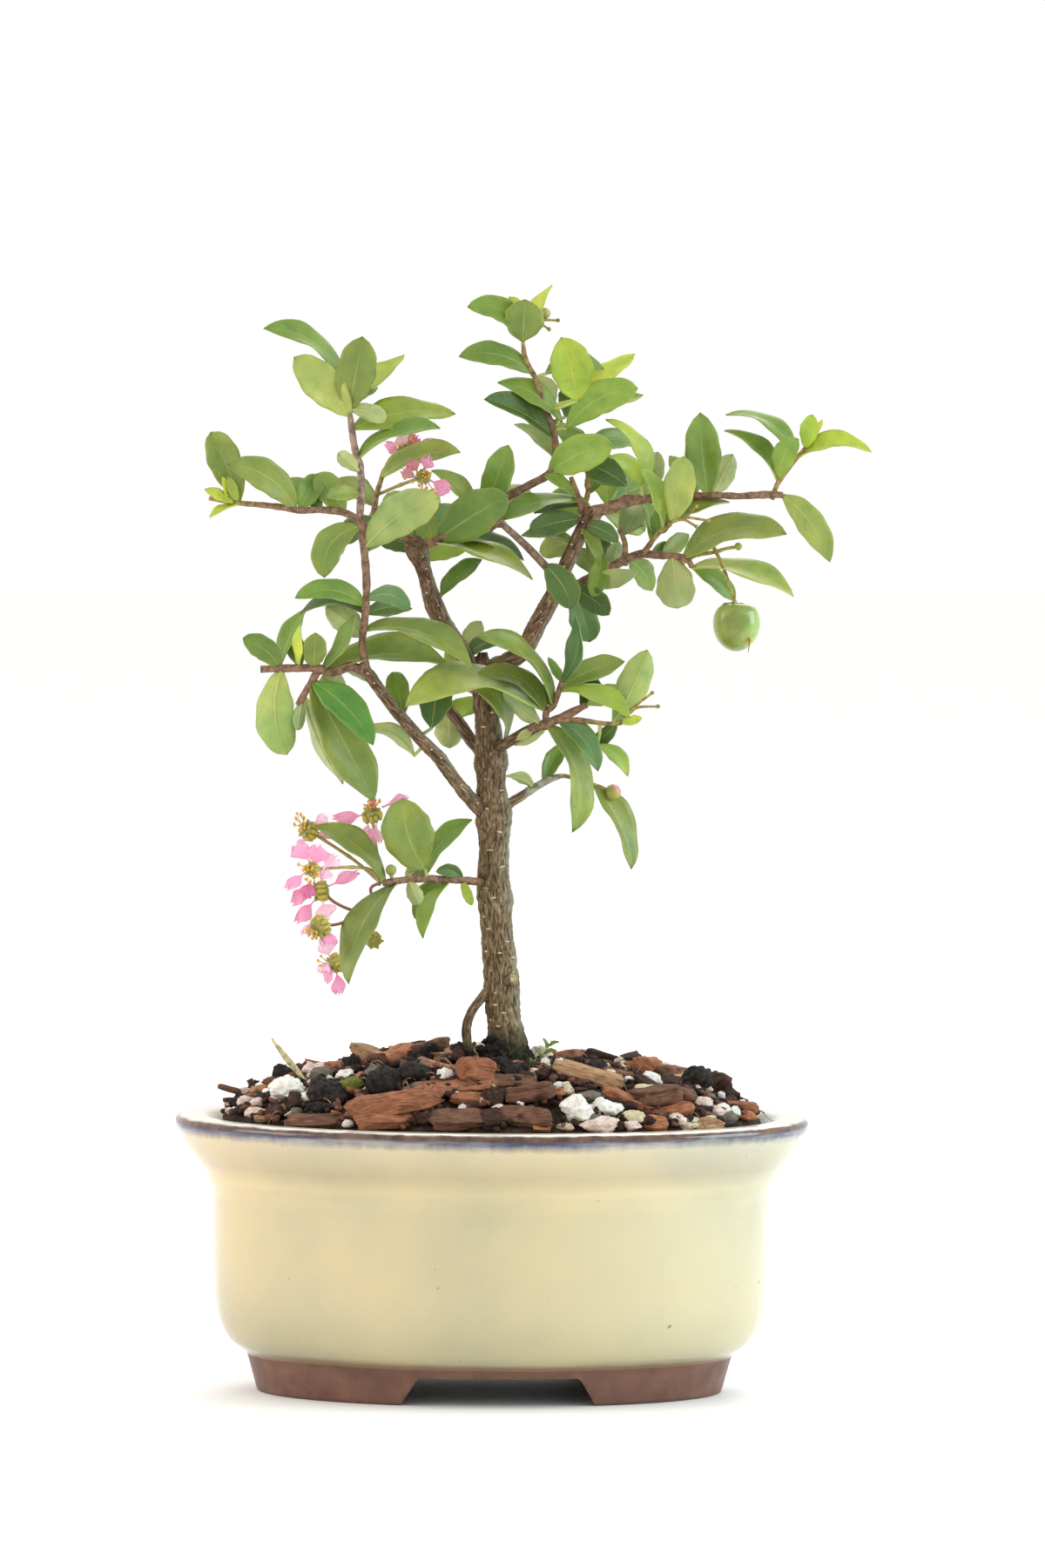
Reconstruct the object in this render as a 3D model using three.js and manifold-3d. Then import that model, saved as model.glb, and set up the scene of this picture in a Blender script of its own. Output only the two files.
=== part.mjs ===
// A Barbados cherry grown as a small bonsai in an oval glazed pot. Millimetres, +Z up.
// The tree is drawn as it is seen from the front, on the upright middle plane of the pot: x to the
// right, z up from the table. A third number says how much nearer to the viewer each point lies.
import * as THREE from "three";
import { mergeVertices } from "three/addons/utils/BufferGeometryUtils.js";
import Module from "manifold-3d";

const wasm = await Module();
wasm.setup();

// Driving dimensions of the pot
const POT_HALF_WIDTH = 80;
const POT_NARROWER_BY = 21;
const LIP_TOP = 69.5;
const FLOOR_TOP = 12;
const RECESS_TOP = 7;
const RECESS_FLARE = 2.3;
const FOOT_WALL = 6;
const CUTOUT_TOP_WIDTH = 39;
const CUTOUT_BOTTOM_WIDTH = 49;
const CUTOUT_HEIGHT = 8;
const DRAIN_HOLE_RADIUS = 6;
const DRAIN_HOLE_X = 30;
const SCREEN_SIDE = 22;
const SCREEN_THICK = 1.2;
const SCREEN_OPENING = 7;
const SCREEN_PITCH = 10;

// Driving dimensions of the soil and the tree
const SOIL_EDGE = 69;
const MOUND_FOOT = 68.4;
const MOUND_HEIGHT = 15.2;
const MOUND_SHAPE = 0.75;
const SEAT_GAP = 0.3;
const BLADE_THICK = 1.2;
const LEAF_SLENDERNESS = 0.38;
const PETAL_LENGTH = 7.4;

// The eye that the drawn points line up for, and its distance in front of the middle plane
const EYE = new THREE.Vector3(-159, -2491, 288);

// A small repeatable source of random numbers
function makeDice(seed) {
  let state = seed;
  return () => {
    state = (state * 1664525 + 1013904223) % 4294967296;
    return state / 4294967296;
  };
}

// A drawn point, slid along the line of sight until it is near mm in front of the middle plane
function seen(x, z, near = 0) {
  return new THREE.Vector3(x, 0, z).lerp(EYE, near / -EYE.y);
}

function signedVolume(geometry) {
  const at = geometry.attributes.position;
  const order = geometry.index;
  const a = new THREE.Vector3();
  const b = new THREE.Vector3();
  const c = new THREE.Vector3();
  let sum = 0;
  for (let i = 0; i < order.count; i += 3) {
    a.fromBufferAttribute(at, order.getX(i));
    b.fromBufferAttribute(at, order.getX(i + 1));
    c.fromBufferAttribute(at, order.getX(i + 2));
    sum += a.dot(b.cross(c));
  }
  return sum / 6;
}

// A closed three.js geometry as a solid that can be joined and cut
function solid(geometry) {
  const plain = geometry.clone();
  plain.deleteAttribute("normal");
  plain.deleteAttribute("uv");
  const merged = mergeVertices(plain, 1e-4);
  const triVerts = Uint32Array.from(merged.index.array);
  if (signedVolume(merged) < 0) {
    for (let i = 0; i < triVerts.length; i += 3) {
      [triVerts[i], triVerts[i + 1]] = [triVerts[i + 1], triVerts[i]];
    }
  }
  const vertProperties = Float32Array.from(merged.attributes.position.array);
  return new wasm.Manifold(new wasm.Mesh({ numProp: 3, vertProperties, triVerts }));
}

function join(solids) {
  return wasm.Manifold.union(solids);
}

// The largest body of a solid, without the loose scraps and needle faces that a cut leaves
const NEEDLE_WIDTH = 0.015;

function mainBody(whole) {
  const bodies = whole.decompose();
  const main = bodies.reduce((best, next) => (next.volume() > best.volume() ? next : best));
  return main.simplify(NEEDLE_WIDTH);
}

function geometryOf(whole) {
  const mesh = whole.getMesh();
  const geometry = new THREE.BufferGeometry();
  geometry.setAttribute("position", new THREE.BufferAttribute(mesh.vertProperties, 3));
  geometry.setIndex(new THREE.BufferAttribute(mesh.triVerts, 1));
  geometry.computeVertexNormals();
  return geometry;
}

// A closed skin over a row of rings with as many points each. A ring of one point is a sharp end.
function loft(rings) {
  const points = [];
  const faces = [];
  const starts = rings.map((ring) => {
    const start = points.length;
    points.push(...ring);
    return start;
  });
  for (let r = 0; r + 1 < rings.length; r += 1) {
    const near = rings[r].length;
    const far = rings[r + 1].length;
    const sides = Math.max(near, far);
    for (let k = 0; k < sides; k += 1) {
      const a = starts[r] + (k % near);
      const b = starts[r] + ((k + 1) % near);
      const c = starts[r + 1] + (k % far);
      const d = starts[r + 1] + ((k + 1) % far);
      if (a !== b) faces.push(a, b, d);
      if (c !== d) faces.push(a, d, c);
    }
  }
  for (const r of [0, rings.length - 1]) {
    if (rings[r].length < 3) continue;
    const middle = points.length;
    const sum = rings[r].reduce((total, p) => total.add(p), new THREE.Vector3());
    points.push(sum.divideScalar(rings[r].length));
    for (let k = 0; k < rings[r].length; k += 1) {
      const a = starts[r] + k;
      const b = starts[r] + ((k + 1) % rings[r].length);
      if (r === 0) faces.push(middle, b, a);
      else faces.push(middle, a, b);
    }
  }
  const geometry = new THREE.BufferGeometry();
  const flat = points.flatMap((p) => [p.x, p.y, p.z]);
  geometry.setAttribute("position", new THREE.Float32BufferAttribute(flat, 3));
  geometry.setIndex(faces);
  return geometry;
}

// Stems

// One stem along drawn points [x, z, near, radius], grown fatter all round by extra
function stem(points, sides = 6, extra = 0) {
  const path = points.map(([x, z, near]) => seen(x, z, near));
  const rings = [];
  let across = null;
  path.forEach((point, i) => {
    const before = path[Math.max(i - 1, 0)];
    const after = path[Math.min(i + 1, path.length - 1)];
    const along = after.clone().sub(before).normalize();
    if (!across) {
      across = new THREE.Vector3(0, 1, 0).cross(along);
      if (across.length() < 0.2) across = new THREE.Vector3(1, 0, 0).cross(along);
    }
    across.addScaledVector(along, -across.dot(along)).normalize();
    const out = along.clone().cross(across);
    const radius = points[i][3] + extra;
    const ends = { 0: -extra, [path.length - 1]: extra };
    const centre = point.clone().addScaledVector(along, ends[i] ?? 0);
    rings.push(Array.from({ length: sides }, (_, k) => {
      const turn = (2 * Math.PI * k) / sides;
      return centre.clone()
        .addScaledVector(across, radius * Math.cos(turn))
        .addScaledVector(out, radius * Math.sin(turn));
    }));
  });
  return loft(rings);
}

// The place on a spray's stems that is nearest to a drawn point: [x, z, near]
function nearestOnStems(stems, x, z) {
  let best = null;
  let least = Infinity;
  for (const points of stems) {
    for (let i = 0; i + 1 < points.length; i += 1) {
      const [ax, az, an] = points[i];
      const [bx, bz, bn] = points[i + 1];
      const span = (bx - ax) ** 2 + (bz - az) ** 2;
      const raw = ((x - ax) * (bx - ax) + (z - az) * (bz - az)) / span;
      const t = Math.min(Math.max(raw, 0), 1);
      const spot = [ax + t * (bx - ax), az + t * (bz - az), an + t * (bn - an)];
      const away = Math.hypot(spot[0] - x, spot[1] - z);
      if (away < least) {
        least = away;
        best = spot;
      }
    }
  }
  return best;
}

// Blades

// Half widths along a blade, as shares of its half width, at shares of its length
const LONG_LEAF = [[0.2, 0.72], [0.5, 1], [0.82, 0.74]];
const SHORT_LEAF = [[0.3, 0.88], [0.72, 0.92]];
const LONG_LEAF_FROM = 23;
const SHORTEST_STALK = 2.2;

// A thin blade on its stalk: it runs from the root by way of the heel to the tip. Its upper face
// looks along up, its midrib stands out below, and the middle of the blade lies rise mm along lift
// from the straight line.
function blade({ root, heel, tip, wide, up, lift, rise, outline }) {
  const stalk = heel.clone().sub(root);
  const stalked = stalk.length() > SHORTEST_STALK;
  const foot = stalked ? heel : root;
  const bend = foot.clone().add(tip).multiplyScalar(0.5).addScaledVector(lift, 2 * rise);
  const curve = new THREE.QuadraticBezierCurve3(foot, bend, tip);
  const ring = (centre, along, half) => {
    const face = up.clone().addScaledVector(along, -up.dot(along)).normalize();
    const side = along.clone().cross(face).normalize();
    const flat = centre.clone().addScaledVector(face, BLADE_THICK / 3);
    return [
      flat.clone().addScaledVector(side, half),
      flat.clone().addScaledVector(side, -half),
      flat.clone().addScaledVector(face, -BLADE_THICK),
    ];
  };
  const rings = [ring(foot, curve.getTangent(0), 0.7)];
  if (stalked) rings.unshift(ring(root, stalk.normalize(), 0.6));
  for (const [t, share] of outline) {
    rings.push(ring(curve.getPoint(t), curve.getTangent(t), (share * wide) / 2));
  }
  rings.push([tip]);
  return loft(rings);
}

// One leaf row: the blade's heel (x, z) and tip (x, z) as drawn, how much nearer than its root the
// tip lies, the width that shows, the rise of its middle, and 1 where the upper face shows or -1
// where the pale underside does. A leaf that shows less than its own width is turned edge on.
function leaf(stems, [x0, z0, x1, z1, out, shows, rise = 0, face = 1]) {
  const [rx, rz, near] = nearestOnStems(stems, x0, z0);
  const stalk = Math.hypot(x0 - rx, z0 - rz);
  const length = Math.hypot(x1 - x0, z1 - z0);
  const root = seen(rx, rz, near);
  const heel = seen(x0, z0, near + (out * stalk) / (stalk + length));
  const tip = seen(x1, z1, near + out);
  const chord = tip.clone().sub(heel);
  const wide = Math.max(shows, LEAF_SLENDERNESS * chord.length());
  const turn = Math.acos(shows / wide);
  chord.normalize();
  const toEye = EYE.clone().sub(heel).normalize();
  toEye.addScaledVector(chord, -toEye.dot(chord)).normalize();
  const skyward = toEye.clone().cross(chord).normalize();
  if (skyward.z < 0) skyward.negate();
  const up = toEye.clone().multiplyScalar(face * Math.cos(turn));
  up.addScaledVector(skyward, Math.max(Math.sin(turn), 0.05));
  const outline = length > LONG_LEAF_FROM ? LONG_LEAF : SHORT_LEAF;
  return blade({ root, heel, tip, wide, up, lift: skyward, rise, outline });
}

// The plan of the wood: drawn points [x, z, near, radius], from the ground up

const TRUNK = [
  [4.4, 50, 0, 2.5], [4.3, 62, 0, 5], [4.2, 74, 0, 7.4], [4.1, 80, 0, 7.6], [3.8, 84, 0, 6.4],
  [3.5, 87, 0, 5.3], [3.3, 90.5, 0, 4.6], [2.6, 95, 0, 4.3], [1.85, 105, 0, 4.35],
  [0.9, 114, 0, 4.0], [0.4, 120.5, 0, 4.0], [0.1, 125, 0, 4.4], [-0.3, 130, 0, 3.9],
  [-0.3, 139, 0, 3.8], [-0.4, 145, 0, 4.6], [-0.8, 150, 0, 3.8], [-1.2, 155, 0, 3.6],
  [-1.2, 159, 0, 4.3], [-1.8, 165, 0, 3.3], [-2.8, 173, 0, 3.0], [-3.1, 180, 0, 2.8],
  [-3.2, 184, -1, 2.2],
];
const AERIAL_ROOT = [
  [-1.2, 101, 1, 1.4], [-3.4, 98.5, 2, 1.2], [-5.5, 95.5, 3, 1.2], [-6.7, 91.6, 3.5, 1.2],
  [-6.5, 88, 3.8, 1.2], [-5.6, 84, 4, 1.3], [-5.3, 76, 4, 1.0],
];
const LEFT_LIMB = [
  [-3.4, 179.5, 0, 2.4], [-6, 181.3, -1, 2.3], [-9, 187, -1.5, 2.2], [-12.5, 192, -2, 2.1],
  [-15.5, 197, -2.5, 2.4], [-17.5, 203, -3, 2.0], [-19, 208, -3.5, 2.1], [-20.5, 212, -4, 2.9],
  [-22, 214.5, -4, 1.9],
];
const RIGHT_LIMB = [
  [-2.2, 181, 0, 2.4], [3, 184, -0.5, 2.3], [7, 187, -0.5, 2.3], [10, 193, 0, 2.3],
  [13, 198.5, 0.5, 2.2], [16, 205, 1, 1.9], [17.5, 209, 1, 1.9], [20, 214.5, 1.5, 1.8],
  [22.5, 220, 2, 1.8], [24, 222.4, 2, 1.6],
];
const LOW_LEFT_LIMB = [
  [-1, 144.5, 1, 1.9], [-4.8, 147.7, 2, 1.9], [-9.3, 152.8, 4, 1.7], [-14.4, 159.6, 6.5, 1.7],
  [-18.8, 164, 8.5, 1.6], [-26.4, 172.7, 11.5, 1.5], [-32.8, 181.3, 13.5, 1.4],
  [-33.3, 183.6, 14, 1.2],
];
const TRUNK_SPUR = [
  [-2.2, 159.5, -1.5, 1.6], [-5.9, 163.5, -4, 1.6], [-9.4, 168.6, -6.5, 1.5],
  [-12.1, 171.9, -8, 1.4],
];
const LOW_RIGHT_LIMB = [
  [-1, 161.8, 1.5, 1.5], [2.5, 163.3, 4, 1.4], [7, 166, 6, 1.3], [11, 167.8, 7.5, 1.3],
];
const GREY_LIMB = [[0.5, 146, -1, 1.1], [3.5, 148.1, -2, 0.95], [7.5, 150.6, -3, 0.9]];
const FLOWERING_LIMB = [[-1, 128.2, 1.5, 1.0], [-6, 128.5, 4, 0.85]];
const FRUIT_LIMB = [[13.2, 199.6, 0, 1.6], [17, 201.6, -2.5, 1.5]];
const DEAD_STUB = [[-3.2, 182, -1, 1.6], [-3.6, 186.2, -1.5, 1.2]];
const BARK_KNOT = [[2.6, 103.2, 2.5, 1.7], [4.6, 103.8, 4.5, 1.2]];

const WOOD = [
  [TRUNK, 8], [AERIAL_ROOT, 5], [LEFT_LIMB, 6], [RIGHT_LIMB, 6], [LOW_LEFT_LIMB, 6],
  [TRUNK_SPUR, 5], [LOW_RIGHT_LIMB, 5], [GREY_LIMB, 5], [FLOWERING_LIMB, 5], [FRUIT_LIMB, 5],
  [DEAD_STUB, 5], [BARK_KNOT, 5],
];

// The plan of the leafy sprays. Each has its own twigs, its leaves, and at times round buds
// [x, z, nearer than the twig, radius].

const SPRAYS = {
  spray_left_riser: {
    twigs: [[
      [-33.2, 183.2, 13.9, 1.1], [-34, 188, 13.6, 1.0], [-33.3, 195, 13, 1.0],
      [-33, 203, 12, 1.0], [-33.5, 210, 11, 1.0], [-34.1, 215, 10.5, 1.0], [-34.8, 220.4, 10, 0.95],
    ]],
    leaves: [
      [-33.6, 212, -14.8, 224.8, 7, 10.5, 2, -1], [-33, 211, -25, 216.5, -4, 3, 0.5],
      [-33.4, 199, -22.1, 196.7, 6, 5, 2.7], [-33.2, 195.5, -21.5, 197, -6, 4.5, 1],
      [-33.2, 191.5, -6.3, 181.8, 5, 5.5, 4.2], [-34.4, 197.5, -51, 199.4, 4, 5.4, 3],
      [-35, 195.8, -49.5, 195.5, -6, 3, 2.5], [-35, 190, -43.3, 197.3, -5, 7, 0.5, -1],
      [-35.6, 217.6, -43.6, 204.6, 5, 7.8, 3.6],
    ],
  },
  spray_left_tip: {
    twigs: [[
      [-34.4, 218.4, 10, 0.9], [-36.6, 220.1, 10.5, 0.95], [-40, 221.3, 11.2, 0.95],
      [-45, 221.7, 12.2, 0.9], [-50, 221.5, 13, 0.85], [-55, 222.3, 14, 0.8],
      [-60, 222.8, 14.6, 0.75], [-65, 223.2, 15.3, 0.7], [-72.8, 224.3, 16, 0.5],
    ]],
    leaves: [
      [-51.3, 220.6, -68.5, 232.8, 6, 8, 3], [-65, 224, -72.5, 241, -5, 8.4, 0.5],
      [-66, 223.6, -74, 226.6, 3, 2.8], [-50, 222, -45.5, 230.5, -5, 6],
      [-38.5, 221.6, -46, 230.7, -1, 7, 0.5],
      [-44.5, 221.4, -54.5, 229, -9, 5.5, 1],
    ],
  },
  spray_top_left: {
    twigs: [[
      [-34.8, 221.1, 10, 0.95], [-34.6, 226, 9.8, 1.0], [-34.8, 231.5, 9.4, 1.0],
      [-36, 236, 9, 0.9], [-36.8, 240, 8.6, 0.85], [-37.5, 245, 8.2, 0.8], [-38.6, 250, 8, 0.6],
      [-39.8, 255, 8, 0.45],
    ]],
    leaves: [
      [-40.5, 255.8, -59.5, 267, 3, 5, 3.6], [-37, 246.8, -34.6, 265.3, 8, 10, 0],
      [-38.2, 245, -51.8, 260, 6, 9.5, 0.6], [-38.5, 246, -46, 250, -4, 4, 0.5, -1],
      [-38, 250.5, -24, 260.7, -8, 4.5, -0.4], [-36.4, 247.2, -28.6, 244, 5, 4.6, 1, -1],
      [-36, 242, -11, 246, -5, 7, 2.2], [-34.8, 234.8, -14.8, 242.4, 6, 3.6, 2.5],
      [-35.3, 231.3, -40.5, 236, 5, 4, 0, -1], [-35.6, 226, -43.5, 224.9, 9, 4, 0.4],
      [-38.3, 249, -31.5, 254, -11, 6, 0.6],
    ],
  },
  spray_left_cluster: {
    twigs: [
      [
        [-33.4, 181.2, 13.3, 1.2], [-37, 182.4, 13, 1.2], [-41, 181, 12.5, 1.15],
        [-46.2, 181.9, 12.3, 1.1], [-53, 181.8, 12.2, 1.0], [-59.5, 181.5, 12, 0.9],
      ],
      [[-45, 181.2, 12.4, 0.95], [-47.5, 177, 13.6, 0.9], [-49.9, 172.5, 14.6, 0.9]],
    ],
    leaves: [
      [-54.8, 183.6, -48, 197, -9, 4, 0.8], [-43.8, 182, -35.8, 195.5, 4, 3.5, -1],
      [-46, 182.8, -45.7, 190.8, 6, 6], [-54.5, 183, -64, 189.3, 3, 6, 1.2],
      [-54, 181, -52.6, 160, 6, 10, -2.4, -1], [-46.3, 178, -30.6, 148.4, 5, 11, 0.2],
      [-46.2, 178.4, -30.9, 162.6, 11, 8, 1.6], [-47.5, 174.5, -38.4, 152.8, -6, 5.5, -1.2, -1],
      [-48.4, 173.6, -50, 166.2, 3, 3.2, 0, -1], [-40, 181.8, -42.5, 171, -4, 8, 0.5, -1],
      [-38, 181.6, -29.5, 178, -6, 3.6, 0.6, -1], [-42.5, 181.2, -11.3, 181.8, -9, 6.5, 3.8],
      [-49.5, 182, -53, 191, -9, 5, 0.5],
    ],
  },
  spray_left_fork: {
    twigs: [[
      [-21, 213.6, -4, 1.2], [-25, 216, -3.2, 1.15], [-28.5, 217.5, -2.6, 1.05],
      [-31, 220, -2.4, 0.95], [-30.8, 225, -2.6, 0.75], [-29.4, 230, -3, 0.6],
    ]],
    leaves: [
      [-23, 215.8, -27.5, 221.5, -5, 4, 0.3], [-29.2, 230.2, -9.7, 236.4, 5, 5.5, 2],
      [-30.2, 219, -39, 213.5, -9, 6, 1.5],
      [-31, 222.5, -40.5, 229.5, -10, 5.5, 1],
    ],
  },
  spray_leader: {
    twigs: [[
      [-18.6, 213, -3.6, 1.2], [-14, 214.9, -2, 1.2], [-9, 218, -1.2, 1.15], [-5, 220.6, -0.6, 1.1],
      [2, 225.3, 0, 1.1], [8, 228.5, 0.3, 1.05], [13, 231.5, 0.3, 1.05], [14.4, 236, 0.2, 1.0],
    ]],
    leaves: [
      [-16, 215.4, 2.4, 225.6, 12, 11.4, 0.4], [-2, 224, 8.8, 225.8, -6, 7, 0.5, -1],
      [-4.6, 222.6, 2.4, 238.4, 5, 7.5, -0.2], [-6, 222, -17, 231.8, 4, 4, 1.4],
      [-16.6, 213.2, 8.8, 204.6, 8, 3.8, 2.2], [-12.5, 214.8, 6.5, 209.4, -7, 4.5, 1.5],
      [13.6, 229.6, 28.8, 238.6, 8, 9.5, 1.4], [14.2, 235, 3.8, 243.5, -5, 3.4, 1],
      [-16.8, 214.6, -19.3, 221.6, 5, 4.6, 0.4],
    ],
  },
  spray_apex: {
    twigs: [[
      [14.5, 236.6, 0.2, 0.95], [13.5, 243, 0.8, 0.9], [12, 246, 1.2, 0.9], [10.7, 249.5, 1.6, 0.8],
      [9.4, 254.4, 2, 0.7], [7.5, 257.8, 2.2, 0.65], [6.2, 261, 2.4, 0.6], [5.7, 264.4, 2.5, 0.5],
    ]],
    leaves: [
      [5.7, 264.4, 6.2, 275, 4, 10], [4.6, 265, -8.4, 272.9, 2, 6, 4],
      [4.4, 264.8, 2.2, 275.6, -5, 5, 0.5], [6, 265, 13, 278.6, -3, 3, 0.6],
      [11.6, 256.4, 26.2, 257.6, -6, 5.5, 2.4], [7.2, 255.8, -10.4, 260.4, 4, 6, 2.6],
      [15.8, 244.2, -0.6, 254, 3, 5, 2.4], [14, 240, -3.9, 249.8, 8, 6, 1.6],
      [19.6, 249.6, 15.4, 265.6, 9, 10.5, 0.5], [19, 250, 34, 261.5, -8, 5.5, 0.4],
      [17, 242.6, 34.9, 252.9, 6, 8.5, 2.6], [17.5, 243.4, 36.2, 251.2, -7, 4.5, 0.6],
      [16.6, 245.6, 19.4, 254, -9, 7, 0], [13.2, 247.6, 9.6, 255, -8, 6, 0.6],
    ],
    buds: [[11.2, 271.5, 0, 1.3]],
  },
  spray_right_fork: {
    twigs: [
      [[20.8, 218.4, 1.8, 1.0], [20.9, 222.5, 1.2, 0.85], [19.8, 226, 0.8, 0.75],
        [18.2, 230.5, 0.4, 0.65]],
      [[21, 221.5, 1.4, 0.7], [22.5, 226.5, -1, 0.65], [22.4, 232.5, -2, 0.6],
        [22, 237.4, -2, 0.5]],
    ],
    leaves: [
      [20.5, 238, 33.8, 238.4, -9, 5, 2], [22.8, 226, 25, 231.5, -5, 4.5],
      [20, 225, 11.5, 230.6, 4, 3, 1], [20.4, 224.6, 0.8, 219.3, 7, 4.5, 2],
      [20.2, 223, 9, 221.2, -5, 3.4, 1], [20.4, 220, 7.8, 216.8, 3, 6.5, 0.5],
      [21.2, 218.6, 30.3, 214.3, 6, 4.5, 1], [20.6, 217.6, 25.5, 209.6, 8, 3.4, 0.5],
      [22.2, 235, 14, 244, -10, 5.5, 0.8],
    ],
  },
  spray_right_upper: {
    twigs: [[
      [23.4, 221.7, 2, 1.6], [28, 222.8, 2.6, 1.6], [32, 224.5, 3.2, 1.55], [36, 225, 3.6, 1.3],
      [40, 225.3, 4, 1.15], [48, 226, 4.8, 1.0], [55, 226.2, 5.4, 0.9], [61, 226, 5.8, 0.8],
    ]],
    leaves: [
      [38, 226.8, 40, 237, -5, 5], [37.4, 228.5, 26.8, 245, -2, 3.8, 3.2],
      [47.5, 227, 49, 237, -6, 4.4, 0, -1], [53, 227.2, 50.7, 247, 8, 9, -0.6],
      [54, 227.4, 59, 236.6, -6, 6, 0, -1], [32.2, 228.4, 21, 234, -3, 7.2, 0.8],
      [36, 228.6, 28.5, 236, 8, 4.4, 1.4], [44, 226, 40.5, 216.5, -9, 5.5, 0.5],
      [50, 226.4, 43, 236, -10, 5.5, 0.5],
    ],
  },
  spray_right_tip: {
    twigs: [
      [[61.7, 226.1, 5.9, 0.8], [68, 226.5, 6.2, 0.95], [71.8, 226.4, 6.4, 0.9]],
      [[69.4, 226.6, 6.3, 0.7], [70.6, 229.6, 6.4, 0.65], [74.2, 234.6, 6.6, 0.65],
        [77.3, 238.2, 6.8, 0.6]],
    ],
    leaves: [
      [73.2, 236, 57.1, 246.4, -6, 3.2, 4.4], [69.6, 230.4, 56.8, 242.5, -4, 3.4, 2.2],
      [70, 230.6, 75.6, 240.6, 4, 6, 1.6], [77.4, 238.4, 79, 246.8, 3, 4.6],
      [77, 238.6, 81.6, 245.4, -4, 2.4], [75.4, 236, 94, 237.4, 4, 3.8, 2.7],
      [71.4, 224.4, 83.9, 209.6, 3, 7.2, 1.8],
    ],
  },
  spray_fruiting: {
    twigs: [
      [[15.6, 200.9, -1.6, 1.5], [19, 202.5, -3.4, 1.45], [23, 204.8, -5, 1.3],
        [28, 207.5, -6, 1.25], [32, 209.7, -6.4, 1.15], [36, 211.3, -6, 1.1], [40, 211, -5, 1.0],
        [45, 210.8, -4, 0.9], [48, 209.8, -3.4, 0.8], [49, 208, -3, 0.7]],
      [[36.6, 211.3, -5.8, 0.8], [40, 216, 1, 0.65], [43.5, 219.5, 7, 0.6]],
      [[32, 209.7, -6.4, 0.8], [32, 214, -6, 0.7], [30.5, 217.5, -5.4, 0.6]],
      [[47.6, 209.8, -3.4, 0.6], [50, 211, -2.6, 0.5], [55, 212, -1, 0.5], [57.5, 212.8, 0, 0.45],
        [60.5, 213.3, 0.6, 0.4]],
      [[55, 212, -1, 0.5], [56.5, 209, 0.6, 0.45], [58, 205, 2.6, 0.45], [60.3, 198.5, 4, 0.5]],
    ],
    leaves: [
      [26.2, 211.6, 24, 200.2, 6, 5.2, -0.4], [24, 203.2, 35.2, 206.9, 8, 5, -1],
      [28.4, 208.6, 30.4, 214.4, -5, 4.5, 0, -1], [19.4, 200.4, 28.2, 195.8, 5, 6.2, 1],
      [19.6, 200.6, 23.4, 189, -5, 7.4, 0.4], [38.5, 211.8, 45.6, 214.2, -6, 3.5],
      [41.5, 211.6, 48, 216.4, -9, 4.5], [47, 211.4, 72.9, 216.5, 9, 7.5, 4.2],
      [44, 210, 45.4, 197.6, 5, 9.8, 0, -1], [50, 207.6, 59.9, 199.5, -6, 5, 1.2],
      [50.5, 207, 74.8, 200.9, 6, 4.6, 2.6], [32.6, 216.4, 36, 223.8, -8, 7.2, 0],
      [43.6, 219.4, 46.5, 236, 8, 8, -0.6], [41.8, 217.6, 35.6, 232.8, 12, 3.6, 1],
      [38.6, 214.2, 35.6, 227, -9, 3, 0.6], [43.6, 219.4, 58.3, 224.5, -2, 3, 1],
      [33, 210.4, 39, 202, -12, 6, 0.8], [25, 206, 17.5, 212, -12, 5, 0.8],
    ],
    buds: [[60.6, 213.4, 0, 0.9]],
  },
  spray_low_right: {
    twigs: [
      [[9.8, 167.3, 7.2, 1.25], [15, 169.3, 8.4, 1.2], [19, 171.2, 9.4, 1.0],
        [22.8, 173.2, 10.4, 0.85]],
      [[14, 169, 8.3, 0.8], [20.7, 169.3, 10, 0.7], [27.2, 168.5, 11.4, 0.6],
        [31.7, 168.6, 12.2, 0.5]],
      [[12.6, 168.2, 8, 0.9], [12.6, 171.4, 7.6, 0.9], [14.4, 173, 7.4, 0.8],
        [16.5, 178.8, 6.6, 0.7]],
    ],
    leaves: [
      [12, 171.4, -23, 172.4, 10, 7.6, 7.6], [12, 171, -5.2, 180.5, 3, 5, 4.2],
      [11, 169.2, 1.5, 176.8, 1.5, 4.5, -0.4, -1], [13.8, 173.4, -5, 190.2, 8, 4.2, 4.4],
      [16.6, 178.6, 19.6, 195.6, 3, 4, -2.4], [16.3, 178.8, 12.9, 185, -3, 2.4],
      [17, 177.2, 32.3, 184.1, -4, 6, 1], [29.5, 169.2, 38, 187.2, -4, 8, -0.6, -1],
      [17, 176.2, 33.7, 169.8, 9, 4.5, 2.6], [21, 173.2, 25, 180, -7, 5],
      [15.6, 169.2, 25.8, 156.4, 8, 5.5, 2], [13.4, 167.6, 19.5, 141, 4, 6.4, 4.4],
      [25.6, 163, 33.4, 155.2, -2, 3.8, 1.6], [30.5, 168, 25, 164, -4, 4, -0.5],
      [13.4, 167.4, 4.7, 162.8, -5, 3.5, -0.5, -1], [31.6, 168.8, 36.8, 170, 2, 2.4],
      [14.4, 173, 6, 177.5, -7, 5, 1],
      [22.6, 173.4, 33, 176, -9, 5.5, 1],
    ],
  },
  spray_grey_limb: {
    twigs: [[
      [6.2, 149.9, -2.7, 0.85], [11.5, 153.2, -4, 0.8], [15.6, 155, -4.6, 0.65],
      [18.5, 155, -4.8, 0.5], [25, 153, -5, 0.5], [28.2, 151.7, -5, 0.55],
    ]],
    leaves: [
      [12, 153.6, 17, 162.9, -5, 4.5, 0.5], [9.6, 152.2, 2.6, 155, 5, 2.6, 1, -1],
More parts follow.
